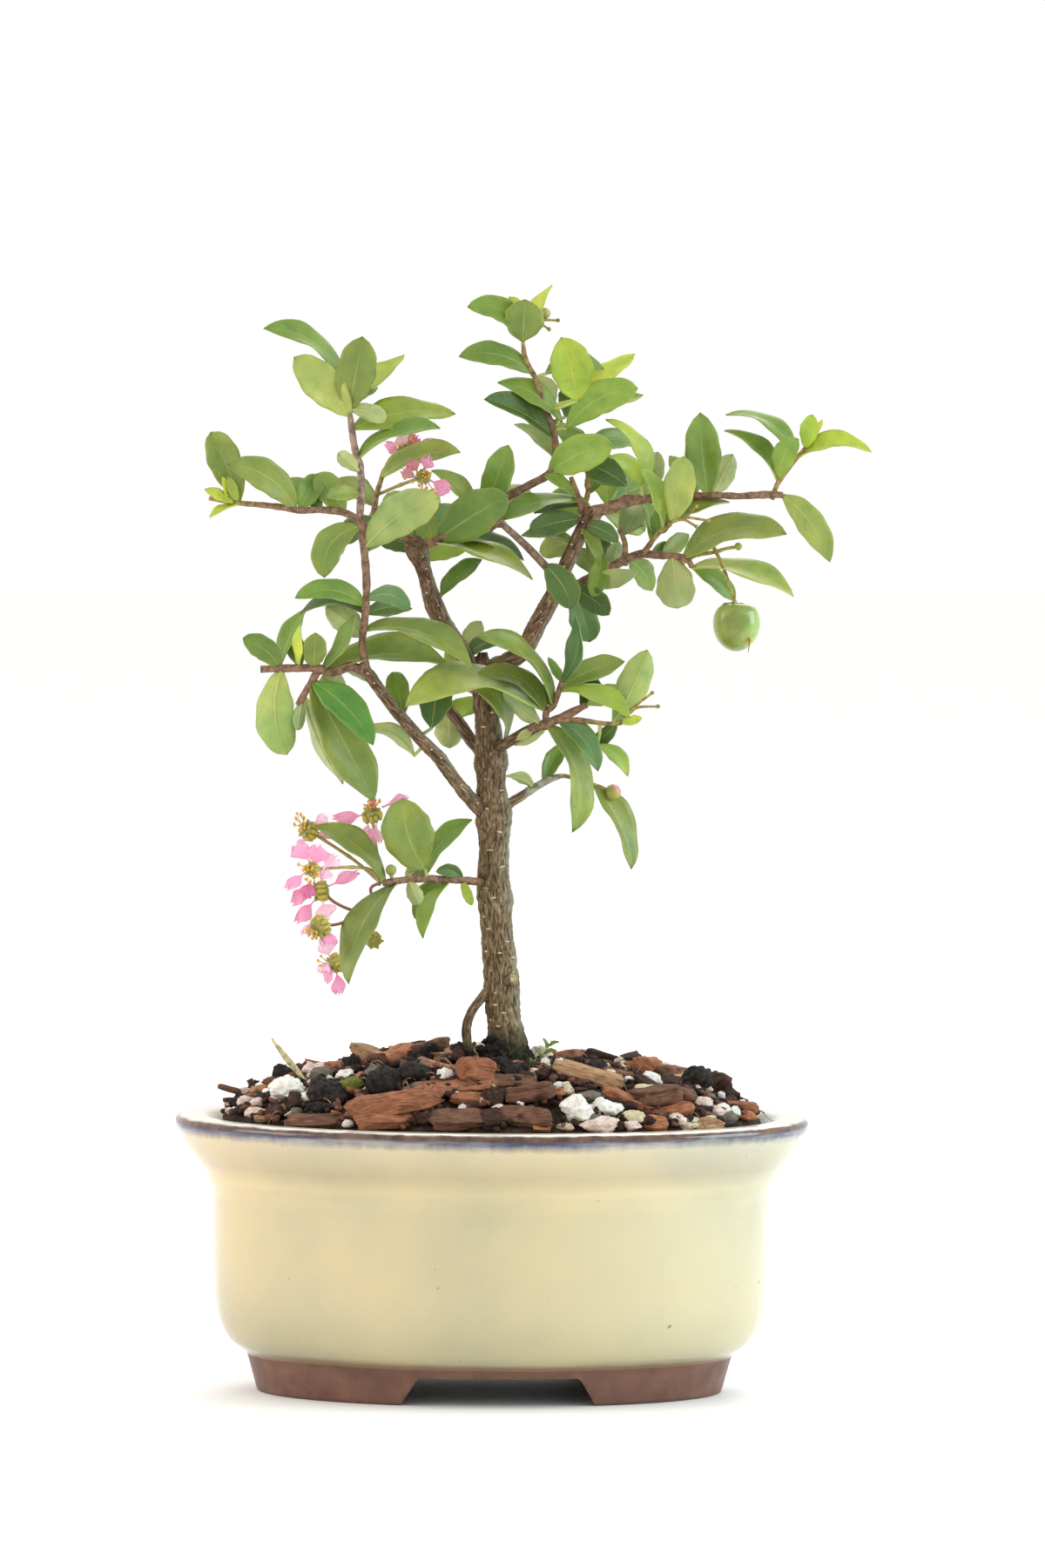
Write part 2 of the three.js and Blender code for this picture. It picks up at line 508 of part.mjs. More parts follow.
      [24.5, 153, 34.5, 131.8, 4, 5.6, 1.9], [20.5, 154.4, 21.5, 146, -11, 5.5, 0.5],
    ],
    buds: [[29.6, 151.1, 0, 1.9]],
  },
  spray_flowering: {
    twigs: [[
      [-4.4, 128.4, 3.2, 0.85], [-9, 128.8, 5.4, 0.8], [-15.1, 129, 8, 0.8],
      [-21.1, 128.9, 10.4, 0.75], [-28.1, 127.9, 12.6, 0.75],
    ]],
    leaves: [
      [-17.5, 131.4, -23.3, 149.4, 7, 13, -1.6], [-27.8, 128.8, -45.8, 142, 2, 5.5, 2.7],
      [-24, 127, -36.6, 102.4, 12, 6.6, 3.2], [-18, 131, -5.8, 144, -6, 5, 2.2],
      [-8, 129.4, -14.8, 130.8, 4, 3.4, 1.4], [-11, 127.6, -17.9, 114, 4, 3.6, 2.3],
      [-21.5, 127.6, -19, 122.4, 2, 4, 0, -1], [-8.4, 127.8, -5.6, 122.4, 2, 2.6],
      [-22.4, 129.4, -15, 134.6, -9, 5, 0.6, -1], [-13, 128.4, -20, 119, -10, 5.5, 0.8],
    ],
    buds: [[-26.2, 131.2, 0, 1.3]],
  },
  spray_back_left: {
    twigs: [[
      [-16.6, 198.6, -4.4, 1.2], [-18, 203, -13, 1.15], [-19.5, 209, -23, 1.0],
      [-21, 215, -33, 0.8],
    ]],
    leaves: [
      [-21.4, 215.4, -33, 219.5, -8, 8, 1], [-21.2, 215.4, -28, 226, -7, 8, 0.6],
      [-20.2, 213.5, -9, 222, -7, 8, 0.6], [-20.2, 211.6, -31, 214.8, 1, 6, 1],
      [-19.4, 209, -7, 213.5, -6, 6, 1], [-21, 215, -17, 227, -12, 7, -0.5],
    ],
  },
  spray_back_right: {
    twigs: [[
      [17.8, 209.8, -1.2, 1.2], [20.5, 214, -11, 1.1], [24, 219, -22, 0.95],
      [27.5, 223.5, -32, 0.8],
    ]],
    leaves: [
      [27.5, 224, 40, 229, -7, 8, 1], [27, 224, 25, 237, -7, 8, 0.5],
      [26, 222, 37, 217, -6, 7, 1], [24, 219.6, 13, 226, -5, 7, 0.6],
      [22, 216.4, 30, 208.5, -7, 7, -0.6], [20.5, 214, 10.5, 211.5, -9, 6, 0.6],
      [27.5, 223.5, 32.5, 233, -13, 7, 0.4],
    ],
  },
  spray_back_low: {
    twigs: [[
      [-1.4, 167.5, -2.4, 1.2], [0, 171, -12, 1.1], [-3, 174.4, -22, 0.95], [-7, 177, -31, 0.8],
    ]],
    leaves: [
      [-7, 177.4, -19, 178, -6, 7, 1.5], [-7, 177, -12, 188.5, -6, 7, 0.5],
      [-5, 176, 3, 184.5, -6, 7, 0.4], [-1, 172.6, 9, 176.4, -6, 6, 1],
      [-1.5, 173, -13, 170.4, -4, 5, 1],
    ],
  },
};

// Single leaves that grow straight from the thick wood: [carrier, leaf row]
const LONE_LEAVES = {
  leaf_under_low_limb: [LOW_LEFT_LIMB, [-20.6, 160, -33, 166.8, -5, 3.8, 2.4, -1]],
  leaf_above_low_limb: [LOW_LEFT_LIMB, [-16.3, 167, -14.6, 180.4, -3, 8.6, 0]],
  leaf_behind_low_limb: [LOW_LEFT_LIMB, [-22.4, 170.8, -26.4, 181, -7, 6, 0.5]],
  leaf_on_spur: [TRUNK_SPUR, [-10.6, 172.6, -11.6, 162, -5, 7.6, 0, -1]],
  leaf_on_trunk: [TRUNK, [2.2, 163.8, -6, 177.2, 12, 4.6, 4]],
  leaf_on_left_limb: [LEFT_LIMB, [-7.2, 185.2, 3.3, 189.2, 4, 4, 1.6]],
  leaf_behind_left_limb: [LEFT_LIMB, [-8, 185.6, -4, 194, -5, 5, 0.4, -1]],
  leaf_fan_on_left_limb: [LEFT_LIMB, [-14.2, 200.4, -4, 209.5, -5, 4.6, 0.8]],
};

// Blossoms: the middle of the calyx [x, z, near], the way it faces [right, up, towards the eye],
// and its stalk from the twig

const STALK_FORK = [-31, 123.4, 7];
const BLOSSOMS = [
  { at: [-46.6, 140.4, 11], faces: [-0.72, 0.35, 0.4], stalk: [[-28.8, 128, 12], [-36, 134, 10.4]] },
  { at: [-45.8, 131.2, 21], faces: [-0.8, 0.1, 0.6], stalk: [[-28.8, 128, 12.4], [-33, 130.4, 16]] },
  { at: [-43, 125.2, 9.5], faces: [-0.85, -0.15, -0.2],
    stalk: [[-28.8, 128, 12], [-31.2, 126.6, 9.2], STALK_FORK, [-34.6, 120.9, 8], [-40, 122.3, 9]] },
  { at: [-43.4, 116.6, 19], faces: [-0.6, -0.45, 0.6],
    stalk: [STALK_FORK, [-34, 120.2, 7.5], [-39, 117.4, 14]] },
  { at: [-39.4, 107.8, 9], faces: [-0.7, -0.45, 0.1],
    stalk: [STALK_FORK, [-32.6, 116, 7.6], [-36.4, 110, 8]] },
  { at: [-30.8, 145.4, 6], faces: [-0.25, 0.8, 0.4],
    stalk: [[-28.8, 128, 12], [-29.2, 127.8, 9], [-29.4, 133, 5.6]] },
];
const UPPER_BLOSSOMS = [
  { at: [-23.6, 238, -6], faces: [-0.5, 0.6, 0.5], stalk: [[-30.6, 226, -3.4], [-28.8, 232, -8]] },
  { at: [-18.4, 229.4, 3], faces: [0.2, 0.3, 0.9], stalk: [[-30.4, 225.6, -3.4], [-25, 227, -1]] },
];

// Loose pieces on the soil: where each lies (x, nearer than the middle), its size along, across
// and up, and its turn about the vertical and tilt, in degrees

const BARK_CHIPS = [
  { name: "bark_chip_red", x: -27, near: 37.5, size: [22, 9, 5], turn: 6, tilt: 8, seed: 11 },
  { name: "bark_chip_block", x: -6, near: 25, size: [9, 8, 6], turn: 20, tilt: -6, seed: 12 },
  { name: "bark_chip_flat", x: 7, near: 36, size: [12, 8, 4], turn: -8, tilt: 10, seed: 13 },
  { name: "bark_chip_long", x: 23, near: 21, size: [17, 8, 3.6], turn: -12, tilt: -14, seed: 14 },
  { name: "bark_chip_right", x: 39, near: 28.5, size: [12, 9, 4.5], turn: 25, tilt: 6, seed: 15 },
  { name: "bark_chip_back", x: -12, near: -28, size: [18, 9, 4.5], turn: -30, tilt: 5, seed: 16 },
];
const STONES = [
  { name: "pumice_front", x: 18.5, near: 41.6, size: [7.6, 6.6, 6], seed: 21 },
  { name: "pumice_left", x: -52.5, near: 16, size: [8.5, 7.5, 6], seed: 22 },
  { name: "lava_right", x: 51, near: 4, size: [8, 7.5, 7], seed: 23 },
  { name: "lava_left", x: -43, near: 25, size: [9, 8, 7], seed: 24 },
];

// Pot

// A level ellipse whose half width is a, as round the pot
function oval(a, z, sides) {
  return Array.from({ length: sides }, (_, k) => {
    const turn = (2 * Math.PI * k) / sides;
    return new THREE.Vector3(a * Math.cos(turn), (a - POT_NARROWER_BY) * Math.sin(turn), z);
  });
}

const POT_SIDES = 28;

function ovalStack(profile) {
  return solid(loft(profile.map(([a, z]) => oval(a, z, POT_SIDES))));
}

// Half width and height up the outside, from the foot to the lip
const FOOT_HALF_WIDTH = 58.7;
const POT_OUTSIDE = [
  [FOOT_HALF_WIDTH, 0], [61.5, 9.6], [65, 12], [67.5, 15.5], [69.4, 22], [70.2, 47],
  [71.6, 53], [78.1, 62.6], [POT_HALF_WIDTH, 67.2], [79.4, 69], [76, LIP_TOP],
];
const POT_INSIDE = [
  [57, FLOOR_TOP], [62.4, 19], [64.5, 50], [SOIL_EDGE, 65], [70, 68.6], [71.5, LIP_TOP + 0.5],
];

function block(width, depth, height, x, y, z) {
  return solid(new THREE.BoxGeometry(width, depth, height).translate(x, y, z));
}

function round(radius, height, x, y, z) {
  const drum = new THREE.CylinderGeometry(radius, radius, height, 12).rotateX(Math.PI / 2);
  return solid(drum.translate(x, y, z));
}

function buildPot() {
  const recess = [
    [FOOT_HALF_WIDTH - FOOT_WALL, -1],
    [FOOT_HALF_WIDTH - FOOT_WALL + RECESS_FLARE, RECESS_TOP],
  ];
  const outline = new THREE.Shape([
    new THREE.Vector2(-CUTOUT_BOTTOM_WIDTH / 2, -0.5),
    new THREE.Vector2(CUTOUT_BOTTOM_WIDTH / 2, -0.5),
    new THREE.Vector2(CUTOUT_TOP_WIDTH / 2, CUTOUT_HEIGHT),
    new THREE.Vector2(-CUTOUT_TOP_WIDTH / 2, CUTOUT_HEIGHT),
  ]);
  const through = 2 * POT_HALF_WIDTH;
  const arch = new THREE.ExtrudeGeometry(outline, { depth: through, bevelEnabled: false });
  arch.rotateX(Math.PI / 2).translate(0, through / 2, 0);
  // The arch stops under the floor, so that it only parts the foot ring
  const footZone = block(200, 200, RECESS_TOP + 1, 0, 0, (RECESS_TOP + 1) / 2 - 1);
  let pot = ovalStack(POT_OUTSIDE).subtract(ovalStack(POT_INSIDE)).subtract(ovalStack(recess));
  pot = pot.subtract(solid(arch).intersect(footZone));
  for (const x of [-DRAIN_HOLE_X, DRAIN_HOLE_X]) {
    pot = pot.subtract(round(DRAIN_HOLE_RADIUS, 30, x, 0, FLOOR_TOP));
  }
  return pot;
}

// A square plastic net over a drainage hole
function buildScreen(x) {
  const z = FLOOR_TOP + SEAT_GAP + SCREEN_THICK / 2;
  const height = 3 * SCREEN_THICK;
  let screen = block(SCREEN_SIDE, SCREEN_SIDE, SCREEN_THICK, x, 0, z);
  for (const i of [-SCREEN_PITCH / 2, SCREEN_PITCH / 2]) {
    for (const j of [-SCREEN_PITCH / 2, SCREEN_PITCH / 2]) {
      screen = screen.subtract(block(SCREEN_OPENING, SCREEN_OPENING, height, x + i, j, z));
    }
  }
  return screen;
}

// Soil

// Height of one layer of rounded granules, at most tall mm, laid on a jittered grid
function granules(x, y, pitch, tall) {
  const column = Math.round(x / pitch);
  const row = Math.round(y / pitch);
  let top = 0;
  for (let i = column - 1; i <= column + 1; i += 1) {
    for (let j = row - 1; j <= row + 1; j += 1) {
      const dice = makeDice(7919 * (i + 60) + 104729 * (j + 60));
      dice();
      const cx = (i + 0.7 * (dice() - 0.5)) * pitch;
      const cy = (j + 0.7 * (dice() - 0.5)) * pitch;
      const radius = pitch * (0.45 + 0.25 * dice());
      const away = Math.hypot(x - cx, y - cy) / radius;
      if (away < 1) top = Math.max(top, tall * (0.5 + 0.5 * dice()) * Math.sqrt(1 - away * away));
    }
  }
  return top;
}

function mound(x, y) {
  const rim = (x / SOIL_EDGE) ** 2 + (y / (SOIL_EDGE - POT_NARROWER_BY)) ** 2;
  return MOUND_FOOT + MOUND_HEIGHT * Math.max(1 - rim, 0) ** MOUND_SHAPE;
}

const SOIL_SIDES = POT_SIDES;
const SOIL_RINGS = 7;

function buildSoil() {
  const inside = POT_INSIDE.slice(0, -3).map(([a, z], i) => [
    a - SEAT_GAP - 0.15, i === 0 ? z + SEAT_GAP : z,
  ]);
  const rings = inside.map(([a, z]) => oval(a, z, SOIL_SIDES));
  rings.push(oval(SOIL_EDGE - 0.8, 65, SOIL_SIDES));
  for (let r = SOIL_RINGS; r >= 1; r -= 1) {
    const reach = (r / SOIL_RINGS) ** 0.8;
    const ring = oval(SOIL_EDGE - 0.8, 0, SOIL_SIDES);
    ring.forEach((p, k) => {
      const sway = r === SOIL_RINGS ? 0 : 0.5 * Math.sin(2.1 * k + 3 * r);
      p.x = p.x * reach + sway;
      p.y = p.y * reach;
      const tall = r === SOIL_RINGS ? 0.4 : 3;
      p.z = mound(p.x, p.y) + granules(p.x, p.y, 9, tall) - 0.6;
    });
    rings.push(ring);
  }
  return solid(loft(rings));
}

// An irregular flat chip: a rough outline with a slightly smaller top
function chipSolid({ x, near, size, turn, tilt, seed }, extra) {
  const dice = makeDice(seed);
  const corners = 7;
  const reach = Array.from({ length: corners }, () => 0.82 + 0.3 * dice());
  const ringAt = (share, z) => Array.from({ length: corners }, (_, k) => {
    const angle = (2 * Math.PI * (k + 0.3)) / corners;
    const square = 1 / Math.max(Math.abs(Math.cos(angle)), Math.abs(Math.sin(angle))) ** 0.7;
    const far = reach[k] * share * square;
    return new THREE.Vector3(
      (size[0] / 2 + extra) * far * Math.cos(angle),
      (size[1] / 2 + extra) * far * Math.sin(angle),
      z,
    );
  });
  const half = size[2] / 2 + extra;
  const skin = loft([ringAt(0.82, -half), ringAt(1, -half * 0.3), ringAt(0.86, half)]);
  skin.rotateY(THREE.MathUtils.degToRad(tilt)).rotateZ(THREE.MathUtils.degToRad(turn));
  return solid(skin.translate(x, -near, mound(x, -near) + size[2] * 0.42));
}

// A rough stone: a round body whose corners are pushed in and out
function stoneSolid({ x, near, size, seed }, extra) {
  const dice = makeDice(seed);
  const ball = new THREE.DodecahedronGeometry(1.08, 0);
  ball.deleteAttribute("normal");
  ball.deleteAttribute("uv");
  const body = mergeVertices(ball, 1e-4);
  const at = body.attributes.position;
  for (let i = 0; i < at.count; i += 1) {
    const push = 0.86 + 0.26 * dice();
    at.setXYZ(
      i,
      at.getX(i) * (size[0] / 2 + extra) * push,
      at.getY(i) * (size[1] / 2 + extra) * push,
      at.getZ(i) * (size[2] / 2 + extra) * push,
    );
  }
  return solid(body.translate(x, -near, mound(x, -near) + size[2] * 0.34));
}

// Wood and sprays

function woodSolid(extra) {
  return join(WOOD.map(([points, sides]) => solid(stem(points, sides, extra))));
}

function bud(twigs, [x, z, out, radius]) {
  const near = nearestOnStems(twigs, x, z)[2] + out;
  const ball = new THREE.IcosahedronGeometry(1.1 * radius, 0);
  const centre = seen(x, z, near);
  return solid(ball.translate(centre.x, centre.y, centre.z));
}

function twigSolids({ twigs }, extra = 0) {
  return twigs.map((points) => solid(stem(points, 4, extra)));
}

function budStalk(twigs, [x, z, out, radius]) {
  const [rx, rz, near] = nearestOnStems(twigs, x, z);
  return solid(stem([[rx, rz, near, 0.5], [x, z, near + out, radius * 0.5]], 5));
}

function spraySolid(plan) {
  const leaves = plan.leaves.map((row) => solid(leaf(plan.twigs, row)));
  const buds = plan.buds ?? [];
  const round = buds.map((row) => bud(plan.twigs, row));
  const stalks = buds.map((row) => budStalk(plan.twigs, row));
  return join([...twigSolids(plan), ...leaves, ...round, ...stalks]);
}

// Fruit: a ripening cherry with three shallow lobes and a dimple at the stalk
const FRUIT_AT = seen(60.4, 193.1, 4);
const FRUIT_RADIUS = 5.95;

function buildFruit() {
  const ball = new THREE.SphereGeometry(FRUIT_RADIUS, 12, 8).rotateX(Math.PI / 2);
  const at = ball.attributes.position;
  for (let i = 0; i < at.count; i += 1) {
    const turn = Math.atan2(at.getY(i), at.getX(i));
    const level = at.getZ(i) / FRUIT_RADIUS;
    const lobes = 1 + 0.045 * Math.cos(3 * turn + 0.6) * Math.sqrt(Math.max(1 - level * level, 0));
    const dimple = level > 0 ? 1 - 0.16 * level ** 8 : 1 - 0.05 * level ** 8;
    at.setXYZ(i, at.getX(i) * lobes, at.getY(i) * lobes, at.getZ(i) * dimple);
  }
  return solid(ball.translate(FRUIT_AT.x, FRUIT_AT.y, FRUIT_AT.z));
}

// Blossoms

function blossomFrame({ at, faces }) {
  const [x, z, near] = at;
  const axis = new THREE.Vector3(faces[0], -faces[2], faces[1]).normalize();
  const side = new THREE.Vector3(0, 0, 1).cross(axis).normalize();
  const upright = axis.clone().cross(side);
  return { centre: seen(x, z, near), axis, side, upright };
}

function aroundAxis(frame, angle, radius, height) {
  return frame.centre.clone()
    .addScaledVector(frame.side, radius * Math.cos(angle))
    .addScaledVector(frame.upright, radius * Math.sin(angle))
    .addScaledVector(frame.axis, height);
}

const CALYX_RADIUS = 2.5;
const CALYX_HEIGHT = 2.6;

// The calyx: a knobbly cup, its oil glands standing out in five pairs
function calyxSolid(plan) {
  const frame = blossomFrame(plan);
  const levels = [[0.55, -0.5], [1, 0.5]];
  const rings = levels.map(([share, level]) => Array.from({ length: 10 }, (_, k) => {
    const gland = k % 2 === 0 ? 1 : 0.78;
    return aroundAxis(
      frame, (2 * Math.PI * k) / 10, CALYX_RADIUS * share * gland, level * CALYX_HEIGHT,
    );
  }));
  return solid(loft(rings));
}

function stalkSolid(plan) {
  const [x, z, near] = plan.at;
  const points = [...plan.stalk, [x, z, near]].map(([px, pz, pn]) => [px, pz, pn, 0.5]);
  return solid(stem(points, 3));
}

// Five petals in one thin cupped plate: for each a gap, a shoulder, a tip and a shoulder
const PETAL_OUTLINE = [[0.32, 0], [0.86, 0.8], [1, 1.3], [0.86, 0.8]];
const PETAL_THICK = 0.8;

function petalsSolid(plan) {
  const frame = blossomFrame(plan);
  const foot = 0.5 * CALYX_HEIGHT + SEAT_GAP;
  const corners = 5 * PETAL_OUTLINE.length;
  const ring = (lift) => Array.from({ length: corners }, (_, k) => {
    const [share, cup] = PETAL_OUTLINE[k % PETAL_OUTLINE.length];
    return aroundAxis(frame, (2 * Math.PI * k) / corners, share * PETAL_LENGTH, foot + lift + cup);
  });
  return solid(loft([ring(0), ring(PETAL_THICK)]));
}

// The tuft of stamens, as a small crown with a tooth for each
function stamensSolid(plan) {
  const frame = blossomFrame(plan);
  const foot = 0.5 * CALYX_HEIGHT + PETAL_THICK + 3 * SEAT_GAP + 0.4;
  const ring = (radius, height, tooth) => Array.from({ length: 10 }, (_, k) => {
    const stands = k % 2 === 0;
    const out = radius * (stands ? 1 : 0.6);
    return aroundAxis(frame, (2 * Math.PI * k) / 10, out, height + (stands ? tooth : 0));
  });
  return solid(loft([ring(1.1, foot, 0), ring(1.7, foot + 2, 0.9)]));
}

// Assembly

function finish(colour, roughness, metalness = 0) {
  return new THREE.MeshStandardMaterial({ color: colour, roughness, metalness });
}

const GLAZE = finish(0xdedcbe, 0.25);
const NETTING = finish(0x2b2b29, 0.6);
const SOIL_MIX = finish(0x54463a, 0.95);
const BARK = finish(0x7c6752, 0.9);
const BARK_CHIP = finish(0x8d5f49, 0.9);
const PUMICE = finish(0xcfc4b0, 0.95);
const LAVA = finish(0x3d3a38, 0.95);
const LEAF = finish(0x86a34a, 0.5);
const FRUIT_SKIN = finish(0x9db85a, 0.35);
const PETAL = finish(0xeea6c2, 0.6);
const STAMEN = finish(0xe0a83c, 0.6);
const CALYX = finish(0xa3a243, 0.6);

const bonsai = new THREE.Group();

function addPiece(name, whole, material) {
  const mesh = new THREE.Mesh(geometryOf(mainBody(whole)), material);
  mesh.name = name;
  bonsai.add(mesh);
}

const wood = woodSolid(0);
const woodAndGap = woodSolid(SEAT_GAP);

addPiece("pot", buildPot(), GLAZE);
addPiece("drain_screen_left", buildScreen(-DRAIN_HOLE_X), NETTING);
addPiece("drain_screen_right", buildScreen(DRAIN_HOLE_X), NETTING);

let soil = buildSoil().subtract(woodAndGap);
for (const x of [-DRAIN_HOLE_X, DRAIN_HOLE_X]) {
  const side = SCREEN_SIDE + 2 * SEAT_GAP;
  const height = SCREEN_THICK + 2 * SEAT_GAP;
  soil = soil.subtract(block(side, side, height, x, 0, FLOOR_TOP + SEAT_GAP + SCREEN_THICK / 2));
}
for (const plan of BARK_CHIPS) {
  soil = soil.subtract(chipSolid(plan, SEAT_GAP));
  addPiece(plan.name, chipSolid(plan, 0), BARK_CHIP);
}
for (const plan of STONES) {
  soil = soil.subtract(stoneSolid(plan, SEAT_GAP));
  addPiece(plan.name, stoneSolid(plan, 0), plan.name.startsWith("pumice") ? PUMICE : LAVA);
}
addPiece("soil", soil, SOIL_MIX);
addPiece("trunk_and_limbs", wood, BARK);

const riserAndGap = join(twigSolids(SPRAYS.spray_left_riser, SEAT_GAP));
for (const [name, plan] of Object.entries(SPRAYS)) {
  let spray = spraySolid(plan).subtract(woodAndGap);
  if (name === "spray_left_tip" || name === "spray_top_left") spray = spray.subtract(riserAndGap);
  addPiece(name, spray, LEAF);
}
for (const [name, [carrier, row]] of Object.entries(LONE_LEAVES)) {
  addPiece(name, solid(leaf([carrier], row)).subtract(woodAndGap), LEAF);
}

addPiece("fruit", buildFruit(), FRUIT_SKIN);

const floweringTwig = join(twigSolids(SPRAYS.spray_flowering, SEAT_GAP));
const forkTwig = join(twigSolids(SPRAYS.spray_left_fork, SEAT_GAP));
for (const [place, plans, carrier] of [
  ["low", BLOSSOMS, floweringTwig], ["upper", UPPER_BLOSSOMS, forkTwig],
]) {
  const stalks = join(plans.flatMap((plan) => [stalkSolid(plan), calyxSolid(plan)]));
  addPiece(`flower_stalks_${place}`, stalks.subtract(carrier), CALYX);
  plans.forEach((plan, i) => {
    addPiece(`petals_${place}_${i + 1}`, petalsSolid(plan), PETAL);
    addPiece(`stamens_${place}_${i + 1}`, stamensSolid(plan), STAMEN);
  });
}

// The origin is under the middle of the whole plant, on the table
const box = new THREE.Box3().setFromObject(bonsai);
bonsai.position.set(-(box.min.x + box.max.x) / 2, -(box.min.y + box.max.y) / 2, -box.min.z);
bonsai.updateMatrixWorld(true);

export default bonsai;
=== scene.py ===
# %% [markdown]
# # A Barbados cherry grown as a bonsai
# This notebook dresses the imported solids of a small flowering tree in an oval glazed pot. The solids
# give every piece its place and size. Here each of them gets a finer shape and a real finish: the
# leaves their veins and folds, the bark its cracks, and the soil its chips and stones.

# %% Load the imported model
import math
import random

import bpy
import numpy as np
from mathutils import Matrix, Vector, noise


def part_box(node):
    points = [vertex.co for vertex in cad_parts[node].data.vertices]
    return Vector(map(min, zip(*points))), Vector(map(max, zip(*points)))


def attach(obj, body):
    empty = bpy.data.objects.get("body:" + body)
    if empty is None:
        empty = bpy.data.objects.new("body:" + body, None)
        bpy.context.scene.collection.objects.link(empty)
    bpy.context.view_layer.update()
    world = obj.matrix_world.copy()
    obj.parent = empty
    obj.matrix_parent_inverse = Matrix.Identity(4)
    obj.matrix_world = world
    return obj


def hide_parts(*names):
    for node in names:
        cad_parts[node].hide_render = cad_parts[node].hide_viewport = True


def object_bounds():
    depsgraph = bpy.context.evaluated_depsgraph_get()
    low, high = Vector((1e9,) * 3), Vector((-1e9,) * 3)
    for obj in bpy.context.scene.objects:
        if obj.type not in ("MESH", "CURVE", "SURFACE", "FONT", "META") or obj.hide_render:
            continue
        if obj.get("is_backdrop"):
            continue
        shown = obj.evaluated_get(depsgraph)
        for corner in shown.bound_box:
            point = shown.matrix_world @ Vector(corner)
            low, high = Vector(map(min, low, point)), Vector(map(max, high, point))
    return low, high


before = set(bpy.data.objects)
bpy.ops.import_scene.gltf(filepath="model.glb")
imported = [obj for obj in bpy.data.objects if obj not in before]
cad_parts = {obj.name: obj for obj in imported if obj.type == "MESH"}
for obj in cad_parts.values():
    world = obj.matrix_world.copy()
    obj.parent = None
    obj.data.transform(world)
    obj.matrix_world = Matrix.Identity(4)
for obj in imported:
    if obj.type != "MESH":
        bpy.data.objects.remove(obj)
packed_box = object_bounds()
print("solids in the packed model:", len(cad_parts))

# %% [markdown]
# ## One way to measure
# The tree was drawn as the eye sees it from the front, in millimetres from the middle of the pot:
# x to the right and z up from the table. A third number says how much nearer to the eye a point lies.
# A point that comes nearer slides along the line of sight, so it stays on its place in the view.

# %% The drawing board
MM = 0.001
pot_low, pot_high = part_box("pot")
POT_MIDDLE = np.array([(pot_low.x + pot_high.x) / 2 / MM, 0.0, 0.0])
EYE = np.array([-159.0, -2491.0, 288.0])


def seen(x, z, near=0.0):
    """A drawn point in space, near millimetres in front of the pot's middle plane."""
    share = near / -EYE[1]
    return np.array([x, 0.0, z]) * (1 - share) + EYE * share


print("middle of the pot, mm:", POT_MIDDLE.round(2))

# %% [markdown]
# ## The camera
# A long lens far away keeps the upright lines of the pot nearly parallel, as product photographers
# like it. The camera stands a little left of the middle and looks down by three degrees.

# %% Camera
AIM = np.array([6.8, 0.0, 153.1])
FOCAL_LENGTH = 228
ROLL = math.radians(0.6)

camera = bpy.data.objects.new("camera", bpy.data.cameras.new("camera"))
bpy.context.scene.collection.objects.link(camera)
camera.data.lens = FOCAL_LENGTH
camera.data.clip_end = 20
camera.location = Vector((EYE + POT_MIDDLE) * MM)
look = Vector((AIM - EYE) * MM)
camera.rotation_euler = look.to_track_quat("-Z", "Y").to_euler()
camera.rotation_euler.rotate_axis("Z", ROLL)
bpy.context.scene.camera = camera
print("camera stands off, m:", round(look.length, 2))

# %% [markdown]
# ## A bench to build on
# Most pieces here are many small shapes in one mesh: a spray has a dozen leaves, the soil has
# hundreds of crumbs. A bench gathers points and faces, with a colour and a place on the surface for
# each point, and makes one mesh of them at the end. The colours and places feed the finishes.

# %% The bench
class Bench:
    """Shapes gathered for one piece, in millimetres from the middle of the pot."""

    PLAIN_PLACE = 0.7

    def __init__(self):
        self.points, self.faces, self.tones, self.places = [], [], [], []
        self.count = 0

    def add(self, points, faces, tone=(1, 1, 1), places=None):
        """Lays one more shape on the bench, in one tone or a tone for each point."""
        points = np.asarray(points, float)
        self.faces += [[i + self.count for i in face] for face in faces]
        self.points.append(points)
        self.tones.append(np.broadcast_to(np.asarray(tone, float), (len(points), 3)))
        self.places.append(np.full((len(points), 2), self.PLAIN_PLACE) if places is None else places)
        self.count += len(points)

    def mesh(self, name):
        """One mesh of all that lies on the bench, in metres."""
        mesh = bpy.data.meshes.new(name)
        points = (np.vstack(self.points) + POT_MIDDLE) * MM
        mesh.from_pydata(points.tolist(), [], self.faces)
        tones = np.ones((self.count, 4))
        tones[:, :3] = np.vstack(self.tones)
        mesh.color_attributes.new("tone", "FLOAT_COLOR", "POINT").data.foreach_set(
            "color", tones.ravel()
        )
        corners = np.zeros(len(mesh.loops), int)
        mesh.loops.foreach_get("vertex_index", corners)
        mesh.uv_layers.new(name="place").data.foreach_set(
            "uv", np.vstack(self.places)[corners].ravel()
        )
        return mesh


def set_out(name, mesh, finish, nodes):
    """Puts a mesh on show in place of its plain solids."""
    mesh.polygons.foreach_set("use_smooth", [True] * len(mesh.polygons))
    mesh.materials.clear()
    mesh.materials.append(finish)
    piece = bpy.data.objects.new(name, mesh)
    bpy.context.scene.collection.objects.link(piece)
    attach(piece, "root")
    if nodes:
        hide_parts(*nodes)
    return piece


print("points on an empty bench:", Bench().count)

# %% [markdown]
# ## Tubes along a curve
# Trunk, limbs, twigs and stalks are all round in section. Each is drawn with a few points and a
# radius, smoothed with a curve that passes through every point, and wrapped in rings.

# %% Tubes
def unit(vector):
    """The same direction with a length of 1."""
    return vector / np.linalg.norm(vector, axis=-1, keepdims=True)


